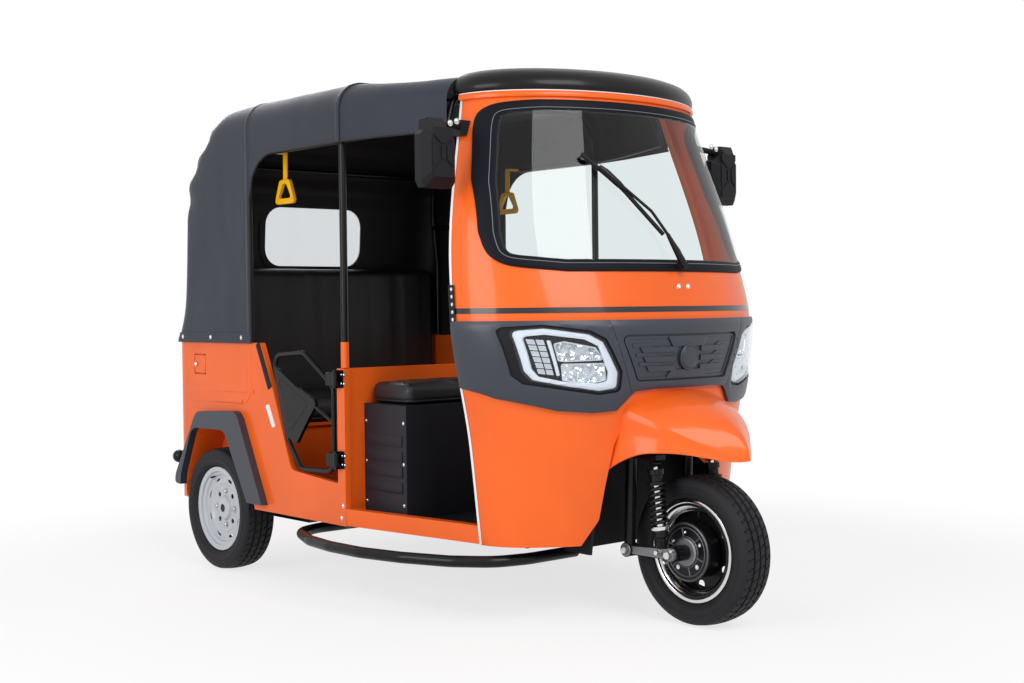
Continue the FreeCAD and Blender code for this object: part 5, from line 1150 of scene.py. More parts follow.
def lamp_inside():
    """Every layer behind the two lenses."""
    bowl, guide, bright, smoky = Shape(), Shape(), Shape(), Shape()
    for side in SIDES:
        bowl.skin(lamp_net(LAMP, side, 0.014), cowl_at, -0.040, -0.036)
        bowl.skin(lamp_net(LAMP, side, 0.014, 0.010, [GUIDE_OUTER]), cowl_at, -0.036, 0.004)
        guide.skin(lamp_net(GUIDE_OUTER, side, 0.010, 0.010, [GUIDE_INNER]), cowl_at, -0.014, 0.004,
                   0.003)
        guide.skin(lamp_net(GUIDE_BAR, side, 0.003), cowl_at, -0.030, -0.006, 0.002)
        reflector_cells(bright, side)
        faceted(bright, DIP_CHAMBER, side, 0.011, 7)
        faceted(smoky, MAIN_CHAMBER, side, 0.010, 11)
        for chamber in (MAIN_CHAMBER, DIP_CHAMBER):
            grown = shifted(chamber, -0.004)
            bright.skin(lamp_net(grown, side, 0.006, 0.010, [chamber]), cowl_at, -0.034, -0.012, 0.001)
    bowl.piece("lamp_bowls", trim_plastic)
    guide.piece("lamp_guides", white_plastic)
    bright.piece("lamp_reflectors", reflector_metal, smooth=12)
    return smoky.piece("lamp_chambers", chrome, slot="lamp_lens", smooth=12)


def lens(side, word):
    """The clear lens, crowned over the lamp with a turned-down rim."""
    points, faces = net(on_cowl(rounded(on_side(LAMP, side), 0.014, 4), 0, 0.010), (), 0.012)
    shape = Shape().skin((points, faces), cowl_at, LENS_LIFT, LENS_LIFT + 0.0025)
    rim = border_edges(faces)
    wall = [cowl_at(*points[k], offset) for pair in rim for k in pair for offset in (-0.002, LENS_LIFT)]
    shape.add(wall, [(4 * k, 4 * k + 1, 4 * k + 3, 4 * k + 2) for k in range(len(rim))])
    return shape.piece(f"lens_{word}", lens_clear, replaces=f"headlamp_{word}", smooth=50)


make_all(lamp_inside)
for side, word in WORDS.items():
    print(lens(side, word).name)

# %% [markdown]
# Many solids of the frame already have their final form: rails, brackets, rims and bars. They stay in the
# picture as they are, with a finish. A weld closes the seams that a file of triangles leaves, after which
# a narrow bevel can round the edges of boxes and castings. The moulded arches and handles get a rounder
# one.

# %% Solids that keep their form
KEPT = {
    orange_paint: ("partition", "door_sills", "fuel_flap", "rear_lid", "passenger_seat_base", "rear_tub"),
    black_paint: ("side_posts", "frame_rails", "cross_members", "tow_plate", "head_support",
                  "canopy_frame", "fork", "rear_suspension", "muffler", "step_bars", "rear_bumper",
                  "plate_bracket", "door_hinges", "flap_hinge", "lid_hinges", "handlebar", "front_rim",
                  "door_right", "door_left"),
    trim_plastic: ("dashboard", "wheelhouse", "floor_pan", "wiper", "mirrors"),
    dark_plastic: ("arch_flares",),
    yellow_plastic: ("grab_handles",),
    casting: ("engine_block",),
    red_lens: ("tail_lamps",),
    seat_shell: ("driver_seat_base",),
}
BEVELS = {
    "engine_block": 0.006, "dashboard": 0.004, "driver_seat_base": 0.003, "passenger_seat_base": 0.003,
    "partition": 0.003, "door_sills": 0.002, "floor_pan": 0.002, "frame_rails": 0.003,
    "cross_members": 0.003, "plate_bracket": 0.0015, "fuel_flap": 0.0015, "rear_lid": 0.002,
    "arch_flares": 0.013, "grab_handles": 0.003,
}
ROUNDER = ("arch_flares", "grab_handles")
WELD = 0.00002


def keep(name, material):
    """A solid of the frame that is shown as it is, with a finish and rounded edges."""
    thing = nodes[name]
    thing.data.materials.clear()
    thing.data.materials.append(material)
    if name in BEVELS:
        thing.modifiers.new("weld", "WELD").merge_threshold = WELD
        put_round(thing, BEVELS[name], 4 if name in ROUNDER else 2, 40)


for material, names in KEPT.items():
    for name in names:
        keep(name, material)
print(sum(len(names) for names in KEPT.values()), "solids keep their form")

# %% [markdown]
# Curved sheet parts are drawn as rings of points. A smooth curve through a few known points gives the
# points between them: each span is a cubic whose slopes come from its neighbours, called a Catmull-Rom
# curve.

# %% Smooth curves through points


def flowing(points, steps):
    """A Catmull-Rom curve through points, with a number of steps in each span."""
    points = [Vector(p) for p in points]
    ends = [points[0] * 2 - points[1]] + points + [points[-1] * 2 - points[-2]]
    curve = []
    for k in range(1, len(ends) - 2):
        a, b, c, d = ends[k - 1:k + 3]
        for t in (step / steps for step in range(steps)):
            curve.append(b + (c - a) * 0.5 * t + (a - b * 2.5 + c * 2 - d * 0.5) * t * t
                         + (b * 1.5 - c * 1.5 + d * 0.5 - a * 0.5) * t ** 3)
    return curve + [points[-1]]


print("a curve has", len(flowing([(0, 0), (1, 0), (2, 1)], 4)), "points")

# %% [markdown]
# The windscreen sits in a wide rubber gasket. A thin bright line is pressed into the gasket's inner side.

# %% Windscreen
GASKET_SECTION = [(-0.003, 0.0), (-0.002, 0.0045), (0.004, 0.0070), (0.017, 0.0068), (0.024, 0.0050),
                  (0.0345, 0.0030), (0.037, 0.0), (0.037, -0.008), (-0.002, -0.003)]
GLASS_INSET = 0.030
GLASS_HALF = 0.003


def on_screen(inward, lift):
    """The windscreen's outline, moved inwards and lifted from the cowl."""
    return [cowl_at(cowl_u(x, z), z, lift) for x, z in shifted(SCREEN_LINE, inward)]


def gasket():
    """A rubber ring whose outer face is rounded."""
    rings = [on_screen(inward, lift) for inward, lift in GASKET_SECTION]
    ring = Shape().rings(rings, closed=True)
    return ring.piece("screen_gasket", rubber, replaces="windscreen_gasket", smooth=40)


def bright_line():
    """The bright bead in the gasket."""
    return Shape().tube(on_screen(0.0245, 0.0062), 0.0011, 8, closed=True).piece("gasket_line", dull_line)


def glass():
    """The curved glass."""
    flat = net(on_cowl(shifted(SCREEN_LINE, GLASS_INSET)), (), 0.03)
    pane = Shape().skin(flat, cowl_at, -GLASS_HALF, GLASS_HALF)
    return pane.piece("screen_glass", screen_glass, replaces="windscreen", smooth=60)


make_all(gasket, bright_line, glass)

# %% [markdown]
# The roof peak overhangs the screen. It swells out from the lip, turns over and runs back to the cloth,
# and a slightly crowned lid closes it above the driver.

# %% Roof peak
VISOR_LEVELS = [(0.000, 0.010), (0.006, 0.0145), (0.022, 0.016), (0.046, 0.006), (0.066, -0.016),
                (0.078, -0.046), (0.080, -0.052)]
VISOR_BACK = -0.462
VISOR_SHEET = 0.005
VISOR_LAP = 0.003
VISOR_SWELL = 0.006
VISOR_THINNING = 0.8
LID_DROP = 0.0006


def visor():
    """A shell whose section turns over from the lip to the roof."""
    base_half, base_edge, base_depth = cowl_plan(COWL_HEAD)
    levels = flowing([(offset, rise, 0) for rise, offset in VISOR_LEVELS], 3)
    columns = spaced(-math.pi / 2, math.pi / 2, 61)
    outer = []
    inner = []
    for turn in columns:
        for rings, skin in ((outer, 0.0), (inner, VISOR_SHEET)):
            rings.append([Vector(((base_half + level.x - skin) * math.sin(turn),
                                  base_edge - (base_depth + level.x - skin) * math.cos(turn),
                                  COWL_HEAD + level.y - skin * VISOR_THINNING)) for level in levels])
    for rings in (outer, inner):
        for end, place in ((0, 0), (-1, len(rings))):
            rings.insert(place, [Vector((p.x, VISOR_BACK, p.z)) for p in rings[end]])
    shape = Shape().rings([a + b[::-1] for a, b in zip(outer, inner)])
    lid_half = base_half + VISOR_LEVELS[-1][1] + VISOR_LAP
    lid_depth = base_depth + VISOR_LEVELS[-1][1] + VISOR_LAP
    edge = [(lid_half * math.sin(turn), base_edge - lid_depth * math.cos(turn)) for turn in columns]
    edge += [(lid_half, VISOR_BACK), (-lid_half, VISOR_BACK)]
    level = COWL_HEAD + VISOR_LEVELS[-1][0] - LID_DROP

    def on_lid(x, y, offset):
        swell = 1 - min(1.0, (x / lid_half) ** 2 + (max(0.0, base_edge - y) / lid_depth) ** 2)
        return Vector((x, y, level + VISOR_SWELL * swell + offset))

    shape.skin(net(edge, (), 0.04), on_lid, -VISOR_SHEET, 0.0)
    return shape.piece("roof_peak", black_paint, replaces="roof_visor", smooth=40)


make_all(visor)

# %% [markdown]
# The front mudguard is pressed with a crease on each side, which runs down to the nose. Below it the
# flank is hollow, and above it the top is nearly flat.

# %% Front mudguard
FENDER_STATIONS = [
    (-0.880, 0.806, 0.268, 0.480, 0.80), (-0.960, 0.792, 0.262, 0.536, 0.76),
    (-1.043, 0.768, 0.244, 0.572, 0.66), (-1.110, 0.744, 0.216, 0.580, 0.54),
    (-1.170, 0.714, 0.168, 0.577, 0.42), (-1.225, 0.678, 0.106, 0.563, 0.30),
    (-1.262, 0.646, 0.060, 0.553, 0.20), (-1.284, 0.618, 0.030, 0.551, 0.16),
    (-1.297, 0.590, 0.012, 0.552, 0.16), (-1.302, 0.554, 0.001, 0.553, 0.16)]
FENDER_FLANK = [(1.0, 0.0), (0.94, 0.45), (0.955, 1.0)]
FENDER_TOP = [(0.72, 0.50), (0.42, 0.84), (0.0, 1.0)]
FENDER_SHEET = 0.005
LEAST = 0.0005


def fender_rings(stations, thinner):
    """Sections of the mudguard, from its right-hand lip over the crest to its left-hand lip."""
    rings = []
    for y, crest, half, lip, crease in stations:
        wide = max(LEAST, half - thinner)
        tall = max(LEAST, crest - thinner - lip)
        side = [(share * wide, lip + tall * crease * up) for share, up in FENDER_FLANK]
        side += [(share * wide, lip + tall * (crease + (1 - crease) * up)) for share, up in FENDER_TOP]
        arch = []
        for (ax, az), (bx, bz) in zip(side, side[1:]):
            arch += [(ax + (bx - ax) * t, az + (bz - az) * t) for t in (0, 0.5)]
        arch.append(side[-1])
        section = flipped(arch) + arch[-2::-1]
        rings.append([Vector((x, y, z)) for x, z in section])
    return rings


def mudguard():
    """The pressing as a closed thin shell, open at the rear and below."""
    tracks = [flowing([(row[0], row[k], 0) for row in FENDER_STATIONS], 5) for k in (1, 2, 3, 4)]
    stations = [(a.x, a.y, b.y, c.y, d.y) for a, b, c, d in zip(*tracks)]
    outer = fender_rings(stations, 0.0)
    inner = fender_rings(stations, FENDER_SHEET)
    shape = Shape().rings([a + b[::-1] for a, b in zip(outer, inner)])
    return shape.piece("mudguard", orange_paint, replaces="front_fender", smooth=28, subdivide=1)


make_all(mudguard)

# %% [markdown]
# The top is one sheet of cloth. Ahead of the side opening's rear edge its sections stand upright, one
# behind the other. Behind that edge they turn like the pages of a book about the corner of the opening,
# from upright to level, so the same rows of points run down the rear quarter, round its corner and across
# the back.

# %% The cloth's form
CLOTH_HALF = 0.6593
CLOTH_FRONT = -0.4615
OPENING_REAR = 0.633
OPENING_HEAD = 1.652
OPENING_ROUND = 0.17
HEM = 0.927
CLOTH_THICKNESS = 0.0024
CLOTH_MIDDLE = Vector((0, 0.25, 1.2))
ROOF_ROWS = [(CLOTH_FRONT, 0.548, 1.836, 0.084), (-0.160, 0.628, 1.851, 0.096),
             (0.030, CLOTH_HALF, 1.866, 0.104), (0.650, CLOTH_HALF, 1.866, 0.104)]
BACK_LINE = [(0.650, 1.866), (0.860, 1.856), (0.935, 1.832), (1.000, 1.786), (1.100, 1.690),
             (1.170, 1.592), (1.178, 1.500), (1.184, 1.400), (1.196, 1.260), (1.222, 1.080),
             (1.256, 0.980), (1.282, HEM)]
FOLDS_AT = (1.858, 1.782, 1.680, 1.578, 1.440)
FOLDS_FROM = 0.86
FOLD_DEPTH = 0.015
FOLD_LEAST = 0.10
FOLD_INBOARD = 0.045
FOLD_BACK = 0.13
FOLD_BACK_FADE = 0.09
FOLD_FRONT_FADE = 0.12
BACK_CURVE = flowing([(y, z, 0) for y, z in BACK_LINE], 6)
HOOPS_AT = (0.030, 0.650)
HELD_AT = (-0.462, *HOOPS_AT, 0.935)
SAG_SHARE = 0.022
RIDGE = 0.0035
RIDGE_HALF = 0.013
ROOF_HALF = 0.60
ROOF_FROM = 1.60
ROOF_FULL = 1.72
WIDE_DRAPE = Vector((3.1, 4.3, 2.7))
SMALL_DRAPE = Vector((9.0, 13.0, 5.0))
WIDE_DEPTH = 0.006
SMALL_DEPTH = 0.0028
LOOSE = 0.5
TIGHT = 0.28
LOOSE_FROM = 0.64
LOOSE_BELOW = 1.7
LOW_ROWS = 12
SIDE_ROWS = 6
ROUND_ROWS = 9
TOP_ROWS = 16
UPRIGHT_SECTIONS = 46
FAN_SECTIONS = 44
FAN_RADIUS = (0.104, 0.089)
KNEE_SHARE = 0.665


def roof_at(y):
    """Half width, height and shoulder radius of the roof, ahead of the rear slope."""
    index = 0
    while index < len(ROOF_ROWS) - 2 and y > ROOF_ROWS[index + 1][0]:
        index += 1
    low, high = ROOF_ROWS[index:index + 2]
    share = min(1.0, (y - low[0]) / (high[0] - low[0]))
    return [low[c] + (high[c] - low[c]) * share for c in (1, 2, 3)]


def opening_foot(y):
    """The lower edge of the cloth over the side opening."""
    along = y - (OPENING_REAR - OPENING_ROUND)
    if along <= 0:
        return OPENING_HEAD
    return OPENING_HEAD - OPENING_ROUND + math.sqrt(max(0.0, OPENING_ROUND ** 2 - along ** 2))


def back_hit(turn):
    """How far the back of the cloth is from the opening's lower corner, in a direction."""
    ahead = Vector((math.cos(turn), math.sin(turn)))
    for a, b in zip(BACK_CURVE, BACK_CURVE[1:]):
        first = Vector((a.x - OPENING_REAR, a.y - HEM))
        second = Vector((b.x - OPENING_REAR, b.y - HEM))
        c, d = ahead.cross(first), ahead.cross(second)
        if c * d <= 0 and abs(c - d) > 1e-12:
            return (first + (second - first) * (c / (c - d))).dot(ahead)
    return (BACK_CURVE[0].y if turn > 1 else BACK_CURVE[-1].x) - (HEM if turn > 1 else OPENING_REAR)


def half_section(half, reach, radius, foot, fanned):
    """Half a section as places across and outwards: up the side, round the shoulder, to the middle."""
    rows = []
    if fanned:
        knee = foot + (reach - radius - foot) * KNEE_SHARE
        rows += [(half, foot + (knee - foot) * k / LOW_ROWS) for k in range(LOW_ROWS)]
    else:
        knee = foot
    rows += [(half, knee + (reach - radius - knee) * k / SIDE_ROWS) for k in range(SIDE_ROWS)]
    for k in range(ROUND_ROWS):
        turn = math.pi / 2 * k / ROUND_ROWS
        rows.append((half - radius + radius * math.cos(turn), reach - radius + radius * math.sin(turn)))
    return rows + [((half - radius) * (1 - k / TOP_ROWS), reach) for k in range(TOP_ROWS + 1)]


def cloth_sections():
    """Rows of places (x, y, z) for the right-hand half, section by section."""
    sections = []
    for y in spaced(CLOTH_FRONT, OPENING_REAR, UPRIGHT_SECTIONS):
        rows = half_section(*roof_at(y), opening_foot(y), False)
        sections.append([Vector((-x, y, z)) for x, z in rows])
    for k in range(FAN_SECTIONS + 1):
        turn = math.pi / 2 * (1 - k / FAN_SECTIONS)
        radius = FAN_RADIUS[0] + (FAN_RADIUS[1] - FAN_RADIUS[0]) * k / FAN_SECTIONS
        rows = half_section(CLOTH_HALF, back_hit(turn), radius, 0.0, True)
        sections.append([Vector((-x, OPENING_REAR + math.cos(turn) * out, HEM + math.sin(turn) * out))
                         for x, out in rows])
    return sections


def whole(section):
    """A section continued on the left-hand side."""
    return section + [Vector((-p.x, p.y, p.z)) for p in reversed(section[:-1])]


def between_hoops(y):
    """0 at a hoop and 1 half way between two of them, with the distance between them."""
    for low, high in zip(HELD_AT, HELD_AT[1:]):
        if low <= y <= high:
            return math.sin(math.pi * (y - low) / (high - low)) ** 2, high - low
    return 0.0, 0.0


def back_y(z):
    """Where the back of the cloth is at a height."""
    for a, b in zip(BACK_CURVE, BACK_CURVE[1:]):
        if b.y <= z <= a.y and a.y > b.y:
            return a.x + (b.x - a.x) * (a.y - z) / (a.y - b.y)
    return BACK_CURVE[-1].x


def fold_at(point):
    """How far a place on the rear quarters and the back is drawn in between two lines that are held."""
    if point.y <= FOLDS_FROM or point.z >= FOLDS_AT[0]:
        return 0.0
    for high, low in zip(FOLDS_AT, FOLDS_AT[1:]):
        if low <= point.z <= high:
            inboard = (CLOTH_HALF - abs(point.x)) / FOLD_INBOARD
            near_back = (point.y - back_y(point.z) + FOLD_BACK) / FOLD_BACK_FADE
            depth = FOLD_DEPTH * min(1.0, max(FOLD_LEAST, inboard, near_back))
            return (depth * math.sin(math.pi * (high - point.z) / (high - low)) ** 2
                    * min(1.0, (point.y - FOLDS_FROM) / FOLD_FRONT_FADE))
    return 0.0


def slack(point):
    """How far the cloth moves outwards: sag between hoops, tight lines over them, folds and drape."""
    share, length = between_hoops(point.y)
    across = 1 - min(1.0, abs(point.x) / ROOF_HALF) ** 4
    level = min(1.0, max(0.0, (point.z - ROOF_FROM) / (ROOF_FULL - ROOF_FROM)))
    sag = SAG_SHARE * length * share * across * level
    ridge = sum(math.exp(-((point.y - hoop) / RIDGE_HALF) ** 2) for hoop in HOOPS_AT) * RIDGE
    wide = noise.noise(point * WIDE_DRAPE)
    small = noise.noise(point * SMALL_DRAPE + Vector((0, 0, 4)))
    drape = LOOSE if point.y > LOOSE_FROM and point.z < LOOSE_BELOW else TIGHT
    return ridge * level - (sag + fold_at(point)) + (wide * WIDE_DEPTH + small * SMALL_DEPTH) * drape


def cloth_grid():
    """Sections of the whole sheet with their outward directions."""
    sections = [whole(rows) for rows in cloth_sections()]
    firsts = (0, UPRIGHT_SECTIONS)
    lasts = (UPRIGHT_SECTIONS - 1, len(sections) - 1)
    outward = []
    for s, rows in enumerate(sections):
        before = rows if s in firsts else sections[s - 1]
        after = rows if s in lasts else sections[s + 1]
        directions = []
        for k, point in enumerate(rows):
            along = rows[min(k + 1, len(rows) - 1)] - rows[max(k - 1, 0)]
            normal = along.cross(after[k] - before[k])
            if normal.length < NOTHING:
                normal = Vector((math.copysign(1, point.x), 0, 0))
            normal.normalize()
            directions.append(-normal if normal.dot(point - CLOTH_MIDDLE) < 0 else normal)
        outward.append(directions)
    moved = [[p + n * slack(p) for p, n in zip(rows, directions)]
             for rows, directions in zip(sections, outward)]
    return moved, outward


print("half a section has", len(half_section(0.6, 1.8, 0.1, 1.6, True)), "points")

# %% [markdown]
# The sheet gets its thickness, with the dull lining inside, and the rear window is cut out of it.

# %% Cloth top
WINDOW_HALF = 0.260
WINDOW_FOOT = 1.240
WINDOW_HEAD = 1.510
WINDOW_ROUND = 0.085
CLOTH_SMOOTH = 55


def cloth_surface():
    """The outer and the inner side of the sheet, joined along every edge.

    The last upright section is the fan's first one, and all the fan's sections share their first point."""
    moved, outward = cloth_grid()
    points = [point for rows in moved for point in rows]
    firsts = [sum(len(rows) for rows in moved[:s]) for s in range(len(moved))]
    numbers = {}

    def number(s, k):
        if s == UPRIGHT_SECTIONS - 1:
            s, k = UPRIGHT_SECTIONS, k + LOW_ROWS
        own = firsts[s] + k
        return numbers.setdefault(tuple(round(c, 5) for c in points[own]), own)

    faces = []
    for s in range(len(moved) - 1):
        if s != UPRIGHT_SECTIONS - 1:
            for k in range(len(moved[s]) - 1):
                face = dict.fromkeys([number(s, k), number(s, k + 1), number(s + 1, k + 1),
                                      number(s + 1, k)])
                if len(face) > 2:
                    faces.append(tuple(face))
    count = len(points)
    directions = [n for rows in outward for n in rows]
    inner = [p - n * CLOTH_THICKNESS for p, n in zip(points, directions)]
    turned_over = [tuple(count + i for i in reversed(face)) for face in faces]
    walls = [(a, count + a, count + b, b) for a, b in border_edges(faces)]
    return Shape().add(points + inner, faces + turned_over + walls), len(faces), moved


def window_outline(grown):
    """The rear window's outline in x and z."""
    corners = [(-WINDOW_HALF, WINDOW_FOOT), (WINDOW_HALF, WINDOW_FOOT), (WINDOW_HALF, WINDOW_HEAD),
               (-WINDOW_HALF, WINDOW_HEAD)]
    return shifted(divided(rounded(corners, WINDOW_ROUND, 8), 0.03), -grown)


def back_place(x, z, offset=0.0):
    """A place on the back of the cloth."""
    return Vector((x, back_y(z) + offset, z))


def cloth_top():
    """The sheet with its window cut out and its lining finished."""
    shape, outer_count, moved = cloth_surface()
    top = shape.piece("cloth_top", canopy_cloth, replaces="canopy", smooth=CLOTH_SMOOTH)
    top.data.materials.append(lining_cloth)
    for face in top.data.polygons[outer_count:2 * outer_count]:
        face.material_index = 1
    cutter = Shape().rings([[Vector((x, y, z)) for x, z in window_outline(0.0)] for y in (1.00, 1.40)])
    carve(top, cutter, CLOTH_SMOOTH)
    return top, moved


cloth, cloth_moved = cloth_top()

# %% [markdown]
# Tapes are welded over the cloth where it passes the hoops, its edges are bound, and a doubled hem runs
# round the bottom with press studs. The window is a clear film, welded in with a wide soft border.

# %% Tapes, binding, hem and window
HEM_DROP = 0.0045
HEM_HEIGHT = 0.036
TAPE_HALF = 0.013
REAR_TAPE_BACK = 0.016
TAPE_SECTION = ((-1, 0.0002), (-0.9, 0.0016), (0.9, 0.0016), (1, 0.0002))
STUD_PLACES = (0.70, 0.94, 1.17)
STUD_RISE = 0.018
STUD_OUT = 0.0045
STUD_RADIUS = 0.0052
WELT_RADIUS = 0.0042
FILM_LAP = 0.018
FILM_DEPTHS = (-0.0032, -0.0026)
BORDER_OUT = 0.022
BORDER_IN = 0.006
BORDER_DEPTHS = ((0.0006, 0.0026), (-0.0068, -0.0036))


def tape(section):
    """A flat band over the cloth along one section."""
    rings = []
    for k, point in enumerate(section):
        along = (section[min(k + 1, len(section) - 1)] - section[max(k - 1, 0)]).normalized()
        normal = Vector((0, 1, 0)).cross(along)
        if normal.dot(point - Vector((0, point.y, 1.0))) < 0:
            normal = -normal
        normal.normalize()
        side = Vector((0, 1, 0)) * TAPE_HALF
        rings.append([point + side * share + normal * lift for share, lift in TAPE_SECTION])
    return rings


def tapes():
    """Tapes over both hoops; the rear one runs down the opening's edge."""
    front = min(range(UPRIGHT_SECTIONS), key=lambda s: abs(cloth_moved[s][0].y - HOOPS_AT[0]))
    rear = [Vector((p.x, p.y + REAR_TAPE_BACK, p.z)) for p in cloth_moved[UPRIGHT_SECTIONS]]
    shape = Shape().rings(tape(cloth_moved[front])).rings(tape(rear))
    return shape.piece("cloth_tapes", canopy_cloth, smooth=50)


def binding():
    """A rounded welt along the edges over the side openings."""
    shape = Shape()
    for side in SIDES:
        front = [rows[0 if side == RIGHT else -1] for rows in cloth_moved[:UPRIGHT_SECTIONS]]
        fan = cloth_moved[UPRIGHT_SECTIONS]
        leg = [fan[k if side == RIGHT else -1 - k] for k in range(LOW_ROWS - 1, -1, -1)]
        shape.tube(front + leg, WELT_RADIUS, 8)
    return shape.piece("cloth_binding", lining_cloth)


def level_ring(z, offset):
    """The cloth's level section at a height, from one opening round the back to the other."""
    radius = FAN_RADIUS[1]
    tail = back_y(z)
    half = CLOTH_HALF + offset
    side = [Vector((-half, y, z)) for y in spaced(OPENING_REAR + 0.002, tail - radius, 16)]
    corner = [Vector((-(CLOTH_HALF - radius + (radius + offset) * math.cos(turn)),
                      tail - radius + (radius + offset) * math.sin(turn), z))
              for turn in spaced(0.1, math.pi / 2, 10)]
    back = [Vector((x, tail + offset, z)) for x in spaced(-(CLOTH_HALF - radius) + 0.02, 0, 14)]
    return whole(side + corner + back)


def hem():
    """The doubled hem, stitched along its top."""
    section = [(-0.001, HEM - HEM_DROP), (0.003, HEM - HEM_DROP), (0.0045, HEM + 0.006),
               (0.0038, HEM + HEM_HEIGHT - 0.008), (0.0046, HEM + HEM_HEIGHT - 0.004),
               (0.0030, HEM + HEM_HEIGHT), (-0.001, HEM + HEM_HEIGHT)]
    rings = [level_ring(z, offset) for offset, z in section]
    turned = [list(row) for row in zip(*rings)]
    return Shape().rings(turned).piece("cloth_hem", canopy_cloth, smooth=40)


def studs():
    """Press studs along the hem."""
    height = HEM + STUD_RISE
    places = on_flanks(CLOTH_HALF + STUD_OUT, [(y, height) for y in STUD_PLACES])
    places += [(back_place(x, height, STUD_OUT), Vector((0, 1, 0))) for x in spaced(-0.45, 0.45, 5)]
    return bolts("hem_studs", places, STUD_RADIUS)


def window():
    """The clear film, a little larger than its hole."""
    flat = net(window_outline(FILM_LAP), (), 0.03)
    film = Shape().skin(flat, back_place, *FILM_DEPTHS)
    return film.piece("window_film", window_film, replaces="rear_window", smooth=60)


def window_border():
    """The welded border on both sides of the cloth."""
    shape = Shape()
    flat = net(window_outline(BORDER_OUT), [window_outline(-BORDER_IN)], 0.014)
    for inner, outer in BORDER_DEPTHS:
        shape.skin(flat, back_place, inner, outer, 0.0006)
    return shape.piece("window_border", lining_cloth, smooth=60)


trim = [build() for build in (tapes, binding, hem, studs, window, window_border)]
print("tapes, hem and window:", len(trim), "pieces")

# %% [markdown]
# A cushion is a rounded block whose faces swell. Its surface comes from a cube's net: every point is
# pushed out to a block with soft edges, the top is crowned, and channels are pressed in where the cover
# is sewn down. Small creases gather at the corners, where a cover is always tightest.

# %% Cushions
STEP = 0.016
LEAST_STEPS = 6
MOST_STEPS = 60
FLAT_SHARE = 0.7
SIDE_SWELL = 0.006
CREASE = 0.0016
CORNER_CREASE = 0.004
CORNER_FROM = 0.55
FINE_CREASES = 38
WIDE_CREASES = 9


def block_face(axis, sign, half, soft):
    """Rows of points over one face of a block with rounded edges, about the block's middle."""
    first, second = (axis + 1) % 3, (axis + 2) % 3
    steps = [max(LEAST_STEPS, min(MOST_STEPS, int(half[a] * 2 / STEP))) for a in (first, second)]
    rows = []
    for i in range(steps[0] + 1):
        row = []
        for j in range(steps[1] + 1):
            place = Vector((0, 0, 0))
            place[axis] = sign * half[axis]
            place[first] = eased(-1 + 2 * i / steps[0], half[first], soft) * half[first]
            place[second] = eased(-1 + 2 * j / steps[1], half[second], soft) * half[second]
            core = Vector([max(-h + soft, min(h - soft, p)) for h, p in zip(half, place)])
            away = place - core
            row.append(core + away.normalized() * soft if away.length > NOTHING else place)
        rows.append(row)
    return rows


def cushion_points(low, high, soft):
    """A block with rounded edges as a grid over each of its six faces."""
    low, high = Vector(low), Vector(high)
    points = []
    faces = []
    for axis in range(3):
        for sign in (-1, 1):
            rows = block_face(axis, sign, (high - low) / 2, soft)
            start = len(points)
            width = len(rows[0])
            points += [(low + high) / 2 + place for row in rows for place in row]
            for i in range(len(rows) - 1):
                for j in range(width - 1):
                    corner = start + i * width + j
                    quad = (corner, corner + width, corner + width + 1, corner + 1)
                    faces.append(quad if sign > 0 else quad[::-1])
    return points, faces


def eased(share, half, soft):
    """A share of a face, closer together where its edge is rounded."""
    edge = min(0.6, soft / half)
    limit = 1 - edge
    if abs(share) <= FLAT_SHARE:
        return share / FLAT_SHARE * limit
    turn = (abs(share) - FLAT_SHARE) / (1 - FLAT_SHARE) * math.pi / 2
    return math.copysign(limit + edge * math.sin(turn), share)


def crowned(points, low, high, crown, axis, sign, channels, depth, width):
    """The same points with one face swollen, upright or lengthwise channels sewn in, and small creases."""
    low, high = Vector(low), Vector(high)
    middle = (low + high) / 2
    half = (high - low) / 2
    first, second = [a for a in range(3) if a != axis]
    moved = []
    for point in points:
        share = [(point[a] - middle[a]) / half[a] for a in range(3)]
        a, b = abs(share[first]), abs(share[second])
        towards = max(0.0, share[axis] * sign)
        rise = crown * max(0.0, (1 - a ** 5) * (1 - b ** 4)) * towards ** 3
        for place in channels:
            rise -= depth * math.exp(-((point.x - place) / width) ** 2) * towards ** 2
        corner = CORNER_CREASE * max(0.0, a * b - CORNER_FROM)
        crease = noise.noise(point * FINE_CREASES) * corner + noise.noise(point * WIDE_CREASES) * CREASE
        shift = Vector((0, 0, 0))
        shift[axis] = sign * (rise + crease * towards)
        bulge = SIDE_SWELL * (1 - abs(share[2]) ** 2) if axis == 2 else 0.0
        for edge, beside_it in ((first, b), (second, a)):
            if abs(share[edge]) > 0.9:
                shift[edge] += math.copysign(bulge * (1 - beside_it ** 4), share[edge])
        moved.append(point + shift)
    return moved


def cushion(name, node, corners, soft, crown, axis, sign, channels, depth, width=0.012):
    """A padded cushion between two corners, which stands for a soft solid."""
    points, faces = cushion_points(*corners, soft)
    shape = Shape().add(crowned(points, *corners, crown, axis, sign, channels, depth, width), faces)
    pad = shape.piece(name, seat_vinyl, replaces=node, smooth=70)
    print(name)


def piping(name, low, high, rise):
    """A welt round a cushion's edge at a height above its underside."""
    inset = 0.001
    corners = [(low[0] + inset, low[1] + inset), (high[0] - inset, low[1] + inset),
               (high[0] - inset, high[1] - inset), (low[0] + inset, high[1] - inset)]
    loop = divided(rounded(corners, 0.03), 0.02)
    route = [(x, y, low[2] + rise) for x, y in loop]
    Shape().tube(route, WELT_RADIUS, 8, closed=True).piece(name, seat_vinyl)


def seat_box(node, low_cut, high_cut):
    """A soft solid's own two corners, moved in a little."""
    low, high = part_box(node)
    return [a + b for a, b in zip(low, low_cut)], [a - b for a, b in zip(high, high_cut)]


